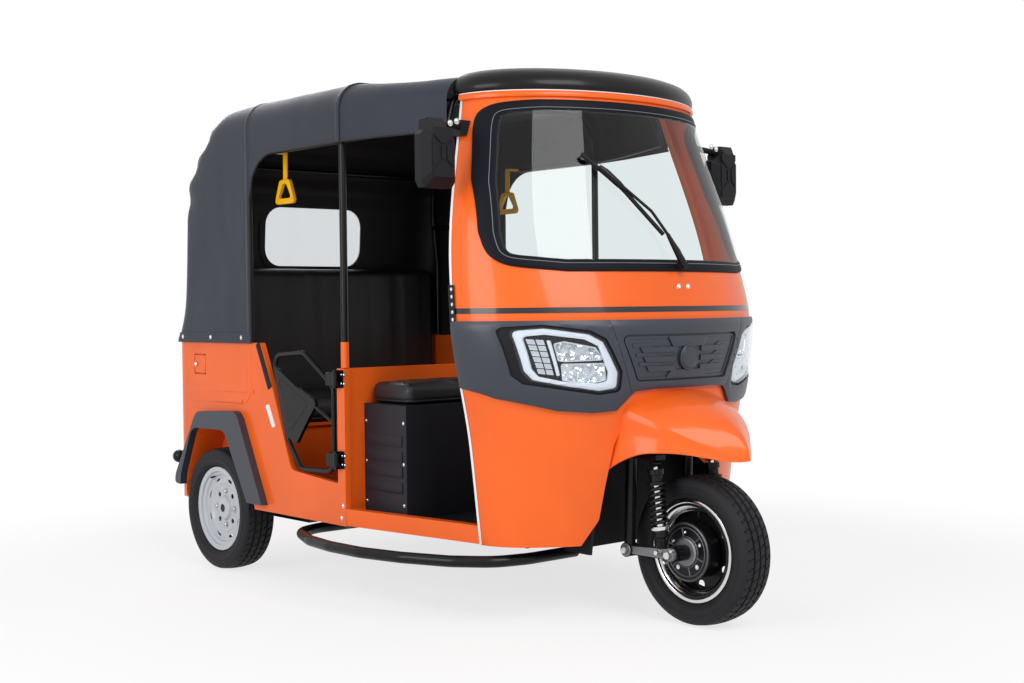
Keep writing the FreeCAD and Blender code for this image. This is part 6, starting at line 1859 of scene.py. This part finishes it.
seat = seat_box("driver_seat_cushion", (0.006, 0.006, 0.0005), (0.006, 0.006, 0.008))
cushion("driver_pad", "driver_seat_cushion", seat, 0.026, 0.008, 2, 1, (-0.31, 0.0, 0.31), 0.005)
piping("driver_pad_welt", *seat, 0.012)
seat = seat_box("passenger_seat_cushion", (0.004, 0.004, 0.0005), (0.004, 0.004, 0.012))
cushion("passenger_pad", "passenger_seat_cushion", seat, 0.032, 0.014, 2, 1,
        (-0.42, -0.21, 0.0, 0.21, 0.42), 0.007)
piping("passenger_pad_welt", *seat, 0.016)
seat = seat_box("passenger_seat_back", (0.004, 0.012, 0.002), (0.004, 0.078, 0.004))
cushion("back_pad", "passenger_seat_back", seat, 0.034, 0.012, 1, -1,
        [(k - 3.5) * 0.155 for k in range(8)], 0.009, 0.011)

# %% [markdown]
# The shell under the driver's cushion is moulded with level ribs on its sides, and small screws hold it.

# %% Driver's seat shell
RIBS_AT = (0.420, 0.475, 0.530, 0.585)
RIB_SECTION = [(0.0, -0.021), (0.0030, -0.018), (0.0036, 0.0), (0.0030, 0.018), (0.0, 0.021)]
SCREWS_UP = (0.360, 0.505, 0.650)


def base_ribs():
    """Raised level ribs on both ends of the driver's seat shell."""
    low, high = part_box("driver_seat_base")
    shape = Shape()
    for side in SIDES:
        for z in RIBS_AT:
            shape.rings([[(side * (high.x + out), y, z + rise) for out, rise in RIB_SECTION]
                         for y in spaced(low.y + 0.022, high.y - 0.022, 12)])
    return shape.piece("seat_shell_ribs", seat_shell, smooth=50)


def base_screws():
    """Screws along the shell's edges."""
    low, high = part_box("driver_seat_base")
    places = [(y, z) for y in (low.y + 0.014, high.y - 0.014) for z in SCREWS_UP]
    return bolts("seat_screws", on_flanks(high.x, places), 0.0036)


make_all(base_ribs, base_screws)

# %% [markdown]
# A tyre is a section turned round the axle. Its tread has three grooves round it, and slanting sipes are
# cut by lowering the points that lie in them, so the grooves and the sipes share one surface.

# %% Tyres
TYRE_STEPS = 288
TYRE_OUTER = 0.247
TYRE_HALF = 0.068
BEAD = 0.1525
BEAD_HALF = 0.0515
TREAD_SHARE = 0.80
CROWN = 0.0052
GROOVES = (0.0, 0.40)
GROOVE_HALF = 0.055
GROOVE_DEPTH = 0.0065
SIPES = 48
SIPE_DEPTH = 0.0045
SIPE_LEAN = 0.11
SIPED = ((0.09, 0.33, 0.0, 0.12), (0.47, 0.83, 0.5, 0.16))
TREAD_DEEP = 0.0062
SIDE_LINES = ((0.62, 0.995, 0.0014), (0.36, 0.945, 0.0012))
FRONT_AXLE = (0.0, -1.098, 0.247)
REAR_TRACK = 0.597
REAR_AXLE_Y = 0.922


def wheel_place(middle, side, out, turn, radius):
    """A place on a wheel: outwards along its axle, then by angle and radius."""
    return Vector((middle[0] + side * out, middle[1] + radius * math.cos(turn),
                   middle[2] + radius * math.sin(turn)))


def ring_at(shape, middle, side, out, reach, thickness, steps=72, sides=8):
    """A round ring about the axle."""
    loop = [wheel_place(middle, side, out, 2 * math.pi * k / steps, reach) for k in range(steps)]
    shape.tube(loop, thickness, sides, closed=True)


def tyre_section():
    """A section as places across and radii, from one bead over the tread to the other."""
    half = TYRE_HALF
    face = BEAD_HALF - 0.0045
    section = [(face, BEAD), (face, BEAD + 0.0195), (face + 0.0035, BEAD + 0.0225),
               (face + 0.0085, BEAD + 0.0245), (half * 0.93, BEAD + 0.033), (half * 0.98, BEAD + 0.041),
               (half, BEAD + 0.054), (half * 0.99, BEAD + 0.066), (half * 0.955, TYRE_OUTER - 0.0175),
               (half * 0.87, TYRE_OUTER - 0.0075)]
    for share in spaced(TREAD_SHARE, 0.0, 41):
        in_groove = any(abs(share - middle) < GROOVE_HALF for middle in GROOVES)
        depth = CROWN * (share / TREAD_SHARE) ** 2
        section.append((half * share, TYRE_OUTER - depth - (GROOVE_DEPTH if in_groove else 0.0)))
    return flipped(section) + section[-2::-1]


def sipe_depth(across, turn):
    """How deep the tread is cut at a place."""
    share = abs(across) / TYRE_HALF
    lean = across / TYRE_HALF * SIPE_LEAN
    for start, end, shift, width in SIPED:
        if start <= share <= end:
            phase = ((turn + lean) * SIPES / (2 * math.pi) + shift) % 1.0
            return SIPE_DEPTH if phase < width else 0.0
    return 0.0


def tyre(name, node, middle, body):
    """One tyre with its tread, sidewall lines and bead."""
    rings = []
    for step in range(TYRE_STEPS):
        turn = 2 * math.pi * step / TYRE_STEPS
        ring = []
        for across, radius in tyre_section():
            cut = sipe_depth(across, turn) if radius > TYRE_OUTER - TREAD_DEEP else 0.0
            ring.append(wheel_place(middle, 1, across, turn, radius - cut))
        rings.append(ring)
    shape = Shape().rings(rings, closed=True)
    for side in SIDES:
        for share, out, radius in SIDE_LINES:
            ring_at(shape, middle, side, TYRE_HALF * out, BEAD + (TYRE_OUTER - BEAD) * share, radius, 96, 6)
    print(shape.piece(name, tyre_black, body, replaces=node, smooth=36).name)


tyre("tyre_front", "front_tyre", FRONT_AXLE, "front_wheel")
for side, word in WORDS.items():
    tyre(f"tyre_rear_{word}", f"rear_tyre_{word}", (side * REAR_TRACK, REAR_AXLE_Y, TYRE_OUTER),
         f"rear_wheel_{word}")

# %% [markdown]
# The rear wheels are pressed steel: a rolled flange, a stepped disc with a ring of long slots near its
# rim, four larger openings beside the wheel bolts, and a plain cap. The openings are cut through with a
# Boolean.

# %% Rear rims
DISC_OUT = [(0.0475, 0.1680), (0.0500, 0.1696), (0.0520, 0.1690), (0.0522, 0.1640), (0.0512, 0.1560),
            (0.0490, 0.1515), (0.0400, 0.1498), (0.0370, 0.1450), (0.0355, 0.1390), (0.0300, 0.1372),
            (0.0255, 0.1335), (0.0250, 0.1290), (0.0262, 0.1200), (0.0285, 0.1080), (0.0278, 0.1015),
            (0.0215, 0.0940), (0.0190, 0.0880), (0.0188, 0.0520), (0.0230, 0.0475), (0.0305, 0.0445),
            (0.0335, 0.0400), (0.0345, 0.0300), (0.0347, 0.0004)]
SHEET = 0.0035
OPENINGS = ((8, 0.1195, 0.13, 0.0062), (4, 0.071, 0.14, 0.0105))
BOLT_SEAT = 0.0188
BOLT_REACH = 0.068
VALVE = ((0.030, 0.1395), (0.044, 0.1370), (0.052, 0.1350))
BARREL = [(0.0340, 0.1385), (-0.0320, 0.1385), (-0.0380, 0.1485), (-0.0475, 0.1500), (-0.0512, 0.1560),
          (-0.0520, 0.1690), (-0.0478, 0.1690), (-0.0465, 0.1560), (-0.0430, 0.1525), (-0.0300, 0.1425),
          (0.0340, 0.1425)]
DRUM = [(0.0040, 0.0330), (0.0040, 0.0920), (-0.0440, 0.0920), (-0.0440, 0.0330)]


def slot_cutter(middle, side, radius, turn, half_angle, half_width):
    """A long slot along a circle, as a prism through the disc."""
    outer = [(turn + half_angle * (k - 4) / 4, radius + half_width * math.sin(math.acos((k - 4) / 4.4)))
             for k in range(9)]
    ring = outer + [(angle, 2 * radius - reach) for angle, reach in reversed(outer)]
    return [[wheel_place(middle, side, out, angle, reach) for angle, reach in ring]
            for out in (-0.002, 0.060)]


def pressed(profile, sheet):
    """A half section of sheet, from the line of its outer face."""
    return profile + [(out - sheet, reach) for out, reach in reversed(profile)]


def rear_rim(side, word):
    """One rear wheel's rim with its openings, drum, bolts and valve."""
    middle = (side * REAR_TRACK, REAR_AXLE_Y, TYRE_OUTER)
    axle = (side, 0, 0)
    body = f"rear_wheel_{word}"
    disc = Shape().turned(pressed(DISC_OUT, SHEET), middle, axle, 96, closed=True)
    disc.turned(BARREL, middle, axle, 96, closed=True)
    rim = disc.piece(f"rim_{word}", silver_paint, body, replaces=f"rear_rim_{word}")
    cutter = Shape()
    for count, reach, half_angle, half_width in OPENINGS:
        for k in range(count):
            turn = 2 * math.pi * (k + 0.5) / count
            cutter.rings(slot_cutter(middle, side, reach, turn, half_angle, half_width))
    carve(rim, cutter, SHARP)
    Shape().turned(DRUM, middle, axle, 64, closed=True).piece(f"drum_{word}", drum_iron, body)
    places = [(wheel_place(middle, side, BOLT_SEAT, math.pi / 2 * k, BOLT_REACH), Vector(axle))
              for k in range(4)]
    bolts(f"wheel_bolts_{word}", places, 0.0085, zinc, body)
    valve = [wheel_place(middle, side, out, 1.1, reach) for out, reach in VALVE]
    Shape().tube(valve, 0.0038, 10).piece(f"valve_{word}", rubber, body)
    return rim


for side, word in WORDS.items():
    print(rear_rim(side, word).name)

# %% [markdown]
# The front wheel's dish is black paint. The rolled edge on each side and the step inside it are chrome
# rings: a painted highlight for the light that the black paint reflects there. Its brake plate is dark,
# with raised rings, ribs and a bright cover, and bright castings with large nuts lie over the leading
# links.

# %% Front rim and brake
EDGE_PROFILE = [(0.0505, 0.1560), (0.0528, 0.1590), (0.0530, 0.1660), (0.0520, 0.1697), (0.0490, 0.1697),
                (0.0490, 0.1560)]
STEP_PROFILE = [(0.0290, 0.1300), (0.0312, 0.1332), (0.0330, 0.1348), (0.0505, 0.1478), (0.0512, 0.1500),
                (0.0500, 0.1512), (0.0270, 0.1350)]
BRAKE_FACE = 0.076
BRAKE_RINGS = ((0.093, 0.0045), (0.080, 0.0028), (0.050, 0.0035))
STUD_TURNS = (0.5, 1.5, 2.7, 3.9, 5.3)
RIBS = 6
FORK_HALF = 0.140
AXLE_NUT = (-1.098, 0.247)
LINK_PIVOT = (-0.904, 0.241)
SHOCK_BOLT = (-1.052, 0.250)
LINK_LINE = [(-0.900, 0.229), (-0.900, 0.253), (-1.060, 0.262), (-1.112, 0.266), (-1.116, 0.230),
             (-1.060, 0.230)]
COLLARS = ((AXLE_NUT, 0.0215, 0.020), (LINK_PIVOT, 0.0225, 0.019), (SHOCK_BOLT, 0.0125, 0.018))
COLLAR = [(0.0, 1), (0.7, 1), (0.8, 0.92), (0.8, 0.62), (1.3, 0.60), (1.38, 0.50)]
NUTS = ((AXLE_NUT, 0.0135), (LINK_PIVOT, 0.0115), (SHOCK_BOLT, 0.0085), ((-1.118, 0.262), 0.0060),
        ((-1.084, 0.222), 0.0060))


def front_rim_highlights():
    """Chrome rings on the rolled edges and on the step inside them, a painted highlight on the black dish.
    """
    # Painted highlight: chrome rings where the black paint of the rim reflects the light.
    shape = Shape()
    for side in SIDES:
        for profile in (EDGE_PROFILE, STEP_PROFILE):
            shape.turned(profile, FRONT_AXLE, (side, 0, 0), 96, closed=True)
    return shape.piece("front_rim_painted_highlights", chrome, "front_wheel", slot="silver_rim", smooth=40)


def front_valve():
    """The valve inside the dish."""
    route = [wheel_place(FRONT_AXLE, RIGHT, out, 0.15, reach)
             for out, reach in ((0.026, 0.134), (0.040, 0.131), (0.053, 0.127))]
    return Shape().tube(route, 0.0055, 12).piece("front_valve", chrome, "front_wheel")


def hub_cover():
    """The bright cast cover in the middle of the brake plate."""
    seat = (-BRAKE_FACE + 0.0005, FRONT_AXLE[1], FRONT_AXLE[2])
    cover = Shape().turned([(0.0, 0.046), (0.005, 0.046), (0.008, 0.041)], seat, (RIGHT, 0, 0), 48)
    return cover.piece("hub_cover", casting, "steering", smooth=30)


def on_brake(turn, reach):
    """A place on the brake plate's face."""
    return wheel_place(FRONT_AXLE, RIGHT, BRAKE_FACE, turn, reach)


def brake_plate():
    """Rings and ribs on the brake plate, which stays with the fork."""
    shape = Shape()
    for reach, thickness in BRAKE_RINGS:
        ring_at(shape, FRONT_AXLE, RIGHT, BRAKE_FACE, reach, thickness)
    for k in range(RIBS):
        turn = 2 * math.pi * (k + 0.3) / RIBS
        shape.tube([on_brake(turn, 0.034), on_brake(turn, 0.078)], 0.0032, 8)
    return shape.piece("brake_plate_rings", drum_iron, "steering")


def brake_studs():
    """Bright studs on the brake plate."""
    places = [(on_brake(turn, 0.064), Vector((RIGHT, 0, 0))) for turn in STUD_TURNS]
    return bolts("brake_plate_studs", places, 0.0046, chrome, "steering")


def links():
    """Bright castings over the leading links, with their collars."""
    shape = Shape()
    for side in SIDES:
        x = side * (FORK_HALF + 0.0066)
        shape.plate(rounded(LINK_LINE, 0.010, 4), lambda y, z, depth: Vector((depth, y, z)), x,
                    x + side * 0.007)
        for place, radius, length in COLLARS:
            profile = [(length * along, radius * share) for along, share in COLLAR]
            shape.turned(profile + [(length * 1.38, 0.0004)], (x, *place), (side, 0, 0), 30)
    return shape.piece("link_castings", casting, "steering", smooth=35, bevel=0.001)


def link_nuts():
    """Six-sided nuts on the castings."""
    shape = Shape()
    for side in SIDES:
        for place, radius in NUTS:
            profile = [(-0.012, radius), (0.004, radius), (0.0055, radius * 0.86), (0.0055, 0.0004)]
            shape.turned(profile, (side * (FORK_HALF + 0.030), *place), (side, 0, 0), 6)
    return shape.piece("link_nuts", chrome, "steering", smooth=20)


make_all(front_rim_highlights, front_valve, hub_cover, brake_plate, brake_studs, links, link_nuts)

# %% [markdown]
# Each front shock absorber is a black coil spring round a bright damper rod, between a black upper mount
# and a bright lower collar.

# %% Front shock absorbers
SHOCK_FOOT = Vector((0.0, -1.050, 0.2642))
SHOCK_HEAD = Vector((0.0, -1.020, 0.5497))
SPRING_TURNS = 7
SPRING_RADIUS = 0.0255
TURN_STEPS = 16
UPPER_MOUNT = ((0.004, 0.0320), (0.014, 0.0320), (0.016, 0.0215), (0.036, 0.0215), (0.038, 0.0270),
               (0.056, 0.0270))


def coil(foot, along, start, end):
    """The route of a spring round a damper, between two distances along it."""
    across = Vector((1, 0, 0))
    upward = along.cross(across)
    steps = SPRING_TURNS * TURN_STEPS
    route = []
    for k in range(steps + 1):
        turn = 2 * math.pi * SPRING_TURNS * k / steps
        route.append(foot + along * (start + (end - start) * k / steps)
                     + (across * math.cos(turn) + upward * math.sin(turn)) * SPRING_RADIUS)
    return route


def shocks():
    """Springs, rods and mounts on both sides."""
    spring, bright, mounts = Shape(), Shape(), Shape()
    along = (SHOCK_HEAD - SHOCK_FOOT).normalized()
    length = (SHOCK_HEAD - SHOCK_FOOT).length
    end = length - 0.088
    for side in SIDES:
        foot = SHOCK_FOOT + Vector((side * FORK_HALF, 0, 0))
        spring.tube(coil(foot, along, 0.072, end), 0.0060, 9)
        bright.turned([(0.030, 0.0135), (length - 0.060, 0.0135)], foot, along, 20)
        bright.turned([(length - 0.040, 0.0075), (length - 0.004, 0.0075)], foot, along, 16)
        bright.turned([(0.056, 0.0280), (0.060, 0.0310), (0.068, 0.0310), (0.070, 0.0240)], foot, along, 28)
        mounts.turned([(0.0, 0.0150), (0.030, 0.0165), (0.034, 0.0245), (0.056, 0.0245)], foot, along, 28)
        mounts.turned([(end + rise, radius) for rise, radius in UPPER_MOUNT], foot, along, 28)
        for place in (foot + along * 0.013, foot + along * (length - 0.013)):
            mounts.turned([(-0.015, 0.013), (0.015, 0.013)], place, (1, 0, 0), 24)
    spring.piece("shock_springs", black_paint, "steering", smooth=60)
    bright.piece("shock_rods", chrome, "steering", smooth=40)
    return mounts.piece("shock_mounts", black_paint, "steering", replaces="shock_absorbers",
                        slot="zinc_steel", smooth=40)


make_all(shocks)

# %% [markdown]
# The rear body is a pressed tub. Two level swages and one upright swage stiffen each side, and they are
# drawn here as narrow raised welts that follow the panel.

# %% Rear body
TUB_HALF = 0.650
SWAGE_LINES = [
    [(0.636, 0.735), (0.760, 0.735), (1.190, 0.735)],
    [(0.720, 0.690), (0.900, 0.690), (1.190, 0.690)],
    [(0.664, 0.905), (0.664, 0.800), (0.664, 0.720), (0.700, 0.690)],
]
SWAGE_SECTION = ((-0.010, -0.001), (-0.006, 0.0028), (0.0, 0.0038), (0.006, 0.0028), (0.010, -0.001))
HINGE_FACE = 0.6515
HINGE_BOLTS = [(y, z) for z in (0.494, 0.526, 0.786, 0.818) for y in (0.014, 0.029)]


def flank_welt(shape, path, side, section):
    """A raised strip along a path on the vehicle's side; its section holds places across and outwards."""
    out = Vector((side, 0, 0))
    rings = []
    for k, point in enumerate(path):
        along = path[min(k + 1, len(path) - 1)] - path[max(k - 1, 0)]
        across = out.cross(along).normalized()
        rings.append([point + across * aside + out * rise for aside, rise in section])
    shape.rings(rings)


def swages():
    """Shallow welts on both sides of the tub."""
    shape = Shape()
    for side in SIDES:
        for line in SWAGE_LINES:
            flank_welt(shape, bent([(side * TUB_HALF, y, z) for y, z in line], 0.04), side, SWAGE_SECTION)
    return shape.piece("tub_swages", orange_paint, smooth=70)


def hinge_bolts():
    """Four bright bolts through each of the doors' hinge plates."""
    return bolts("hinge_bolts", on_flanks(HINGE_FACE, HINGE_BOLTS), 0.0042)


def flap_lock():
    """The small round lock of the fuel flap."""
    profile = [(0.0, 0.0085), (0.003, 0.0085), (0.004, 0.0075), (0.0042, 0.0022), (0.0022, 0.0020),
               (0.0022, 0.0004)]
    lock = Shape().turned(profile, (-TUB_HALF - 0.003, 1.085, 0.832), (-1, 0, 0), 24)
    return lock.piece("flap_lock", chrome, "fuel_flap")


make_all(swages, hinge_bolts, flap_lock)

# %% [markdown]
# The mirrors' housings have a moulded relief of plates, whose gaps form a cross. Black strips with bright
# pins run along the cowl's door edges. Where a plate lies on a solid, a ray finds the solid's surface.

# %% Mirrors and door edges
MIRROR_X = 0.702
MIRROR_MIDDLE = 1.5525
FAR_AHEAD = -1.4
IN_THE_CAB = -0.2
RELIEF = [
    [(-0.040, 0.080), (0.040, 0.080), (0.040, 0.056), (0.009, 0.029), (-0.009, 0.029), (-0.040, 0.056)],
    [(-0.040, -0.080), (-0.040, -0.056), (-0.009, -0.029), (0.009, -0.029), (0.040, -0.056),
     (0.040, -0.080)],
    [(-0.043, 0.046), (-0.016, 0.023), (-0.016, -0.023), (-0.043, -0.046)],
    [(0.043, 0.046), (0.043, -0.046), (0.016, -0.023), (0.016, 0.023)],
    [(-0.007, 0.022), (0.007, 0.022), (0.007, -0.022), (-0.007, -0.022)],
]
MIRROR_LINE = [(-0.054, -0.096), (0.054, -0.096), (0.054, 0.078), (0.036, 0.098), (-0.036, 0.098),
               (-0.054, 0.078)]


def struck(node, origin, direction):
    """Where a straight line first meets a solid of the frame."""
    return nodes[node].ray_cast(Vector(origin), Vector(direction))[1]


def mirror_plate(shape, side, outline, near, far):
    """A plate on a mirror's housing, between two depths."""
    shape.plate(outline, lambda u, w, depth: Vector((side * MIRROR_X + u, depth, MIRROR_MIDDLE + w)),
                near, far)


def mirror_relief():
    """Raised plates on the front of both housings, whose gaps form a cross."""
    shape = Shape()
    for side in SIDES:
        face = struck("mirrors", (side * MIRROR_X, FAR_AHEAD, MIRROR_MIDDLE), (0, 1, 0)).y
        for outline in RELIEF:
            mirror_plate(shape, side, rounded(outline, 0.003, 3), face + 0.002, face - 0.0035)
    return shape.piece("mirror_relief", trim_plastic, bevel=0.0016)


def mirror_glass():
    """The mirror faces."""
    shape = Shape()
    for side in SIDES:
        face = struck("mirrors", (side * MIRROR_X, IN_THE_CAB, MIRROR_MIDDLE), FORWARD).y
        mirror_plate(shape, side, rounded(MIRROR_LINE, 0.012, 4), face - 0.001, face + 0.0012)
    return shape.piece("mirror_faces", mirror_face)


def mirror_bolts():
    """Bright bolts through the mirror arms."""
    places = [(Vector((side * x, -0.612, z)), FORWARD) for side in SIDES
              for x, z in ((0.655, 1.652), (0.628, 1.660))]
    return bolts("mirror_bolts", places, 0.006)


STRIP_LOW = 1.002
STRIP_HIGH = 1.128
STRIP_SECTION = [(-0.0055, -0.020), (-0.0075, 0.004), (-0.002, 0.013), (0.016, 0.013), (0.016, 0.003)]
PINS_UP = (1.016, 1.040, 1.065, 1.090, 1.114)


def hinge_strips():
    """Black strips on the cowl's door edges."""
    strips = along_edge(STRIP_LOW, STRIP_HIGH, 7, STRIP_SECTION)
    return strips.piece("hinge_strips", trim_plastic, slot="black_paint", bevel=0.0015)


def hinge_strip_bolts():
    """Their bright pins."""
    places = []
    for side in SIDES:
        for z in PINS_UP:
            seat = door_edge(z, -0.0066, -0.010)
            places.append((Vector((-side * seat.x, seat.y, seat.z)), Vector((side, 0, 0))))
    return bolts("hinge_strip_bolts", places, 0.0036)


make_all(mirror_relief, mirror_glass, mirror_bolts, hinge_strips, hinge_strip_bolts)

# %% [markdown]
# A black strip runs down the rear edge of each doorway, above a white reflector. The panel in each half
# door has a pressed triangle, and bolts hold the sills.

# %% Doorway, doors and sills
DOORWAY_LINE = [(0.600, 0.922), (0.515, 0.752)]
DOORWAY_SECTION = ((-0.015, -0.004), (-0.013, 0.0), (0.0, 0.003), (0.013, 0.0), (0.015, -0.004))
DOOR_TRIANGLE = [(0.462, 0.800), (0.256, 0.700), (0.392, 0.585)]
IN_TRIANGLE = (0.37, 0.69)
BESIDE = 1.2
DOOR_LINE_SUNK = 0.0004
REFLECTOR = [(0.545, 0.684), (0.524, 0.690), (0.478, 0.606), (0.499, 0.600)]
SILL_BOLTS = ((0.040, 0.300), (0.030, 0.345))


def doorway_strips():
    """The black strip down the rear edge of each doorway."""
    shape = Shape()
    for side in SIDES:
        head, foot = [Vector((side * (TUB_HALF + 0.003), y, z)) for y, z in DOORWAY_LINE]
        flank_welt(shape, [head, head.lerp(foot, 0.5), foot], side, DOORWAY_SECTION)
    return shape.piece("doorway_strips", trim_plastic, smooth=50)


def door_line(side, word):
    """The pressed triangle on a door's panel."""
    surface = struck(f"door_{word}", (side * BESIDE, *IN_TRIANGLE), (-side, 0, 0))
    x = surface.x - side * DOOR_LINE_SUNK
    route = [Vector((x, y, z)) for y, z in divided(rounded(DOOR_TRIANGLE, 0.014, 4), 0.012)]
    bead = Shape().tube(route, 0.0017, 8, closed=True)
    return bead.piece(f"door_line_{word}", black_paint, f"door_{word}")


def side_reflectors():
    """White reflectors on the doorways' rear edges."""
    shape = Shape()
    for side in SIDES:
        x = side * TUB_HALF
        shape.plate(rounded(REFLECTOR, 0.005, 3), lambda y, z, depth: Vector((depth, y, z)),
                    x - side * 0.001, x + side * 0.0045)
    return shape.piece("side_reflectors", white_plastic, bevel=0.001)


def sill_bolts():
    """Bolts at the ends of the sills."""
    return bolts("sill_bolts", on_flanks(TUB_HALF, SILL_BOLTS), 0.0048)


make_all(doorway_strips)
for side, word in WORDS.items():
    print(door_line(side, word).name)
make_all(side_reflectors, sill_bolts)

# %% [markdown]
# The wiper arm gets its tapered head and the spring housing over the blade. The side posts are painted
# orange where they enter the partition.

# %% Wiper fittings and post feet
WIPER_ARM_CLEAR = 0.034
WIPER_HOUSING_CLEAR = 0.030
POST_X = 0.6345
POST_Y = 0.0305


def over_screen(x, z, clear):
    """A point ahead of the windscreen."""
    face = front_point(x, z)
    return Vector((face.x, face.y - clear, face.z))


def wiper_fittings():
    """The arm's head, which tapers from the pivot, and the housing where the arm holds the blade."""
    pivot = over_screen(0.0, 1.186, WIPER_ARM_CLEAR)
    foot = over_screen(-0.004, 1.196, WIPER_ARM_CLEAR)
    head = over_screen(-0.052, 1.296, WIPER_ARM_CLEAR)
    low = over_screen(-0.186, 1.434, WIPER_HOUSING_CLEAR)
    high = over_screen(-0.262, 1.512, WIPER_HOUSING_CLEAR)
    length = (high - low).length
    shape = Shape()
    shape.turned([(-0.016, 0.006), (-0.012, 0.0115), (0.010, 0.0125), (0.070, 0.0090), (0.108, 0.0064)],
                 foot, head - foot, 20)
    shape.turned([(0.0, 0.0070), (length * 0.25, 0.0115), (length * 0.75, 0.0125), (length, 0.0070)],
                 low, high - low, 20)
    shape.turned([(0.0, 0.0125), (0.006, 0.0125), (0.008, 0.0100)], pivot, FORWARD, 20)
    return shape.piece("wiper_fittings", black_paint, smooth=50)


def post_feet():
    """Painted sleeves round the foot of both side posts."""
    shape = Shape()
    for side in SIDES:
        shape.turned([(0.0, 0.0150), (0.092, 0.0150), (0.093, 0.0138)], (side * POST_X, POST_Y, 0.842),
                     (0, 0, 1), 32)
    return shape.piece("post_feet", orange_paint, smooth=40)


make_all(wiper_fittings, post_feet)

# %% [markdown]
# The studio is white. A large soft lamp ahead and above gives the broad highlight on the cowl, a second
# one fills the open side, and a weak one behind lifts the roof. What the camera sees of the floor and the
# world is plain white, while their light on the vehicle stays at an ordinary level, so nothing washes
# out.

# %% Studio
WHITE_NEAR = 0.74
WHITE_FROM = 1.7
WHITE_TO = 3.2
WORLD_LIGHT = 0.35
FLOOR_HALF = 14.0
FLOOR_COLOUR = (0.92, 0.92, 0.92)
WHITE = (1, 1, 1)
MIDDLE = (0, -0.1, 0.9)


def make_world():
    """White behind the object, and a plain grey light from all sides."""
    world = bpy.data.worlds.new("studio")
    world.use_nodes = True
    graph = Graph(world.node_tree, "ShaderNodeOutputWorld")
    light, white = [graph.node("ShaderNodeBackground", {}, {"Color": WHITE, "Strength": strength})
                    for strength in (WORLD_LIGHT, 1.0)]
    graph.end_with(graph.node("ShaderNodeMixShader", {}, {0: graph.seen_directly(), 1: light, 2: white}))
    bpy.context.scene.world = world


def make_floor():
    """A floor that is white where it is seen, darker in the shadow and plain white further out."""
    corners = [(x * FLOOR_HALF, y * FLOOR_HALF, 0) for x, y in ((-1, -1), (1, -1), (1, 1), (-1, 1))]
    mesh = bpy.data.meshes.new("studio_floor")
    mesh.from_pydata(corners, [], [(0, 1, 2, 3)])
    floor = bpy.data.objects.new("studio_floor", mesh)
    bpy.context.scene.collection.objects.link(floor)
    finish = Finish("studio_floor", base_color=FLOOR_COLOUR, roughness=1.0, specular_ior_level=0.0)
    distance = finish.node("ShaderNodeVectorMath", {"operation": "LENGTH"}, {0: finish.place()},
                           output="Value")
    share = distance.between(WHITE_FROM, WHITE_TO) * (1 - WHITE_NEAR) + WHITE_NEAR
    finish.end_with(finish.node("ShaderNodeMixShader", {}, {
        0: finish.seen_directly() * share, 1: finish.shader, 2: finish.node("ShaderNodeEmission")}))
    mesh.materials.append(finish.material)


def area_lamp(name, place, aim, size, power):
    """A square lamp that faces a point."""
    light = bpy.data.lights.new(name, "AREA")
    light.shape = "SQUARE"
    light.size = size
    light.energy = power
    lamp = bpy.data.objects.new(name, light)
    lamp.location = place
    lamp.rotation_euler = (Vector(aim) - Vector(place)).to_track_quat("-Z", "Y").to_euler()
    bpy.context.scene.collection.objects.link(lamp)


make_world()
make_floor()
area_lamp("key", (-1.2, -5.2, 4.2), MIDDLE, 3.2, 200)
area_lamp("side", (-6.0, -0.6, 2.6), MIDDLE, 3.4, 175)
area_lamp("rear", (1.5, 5.5, 3.6), MIDDLE, 3.0, 120)
print("studio is set")
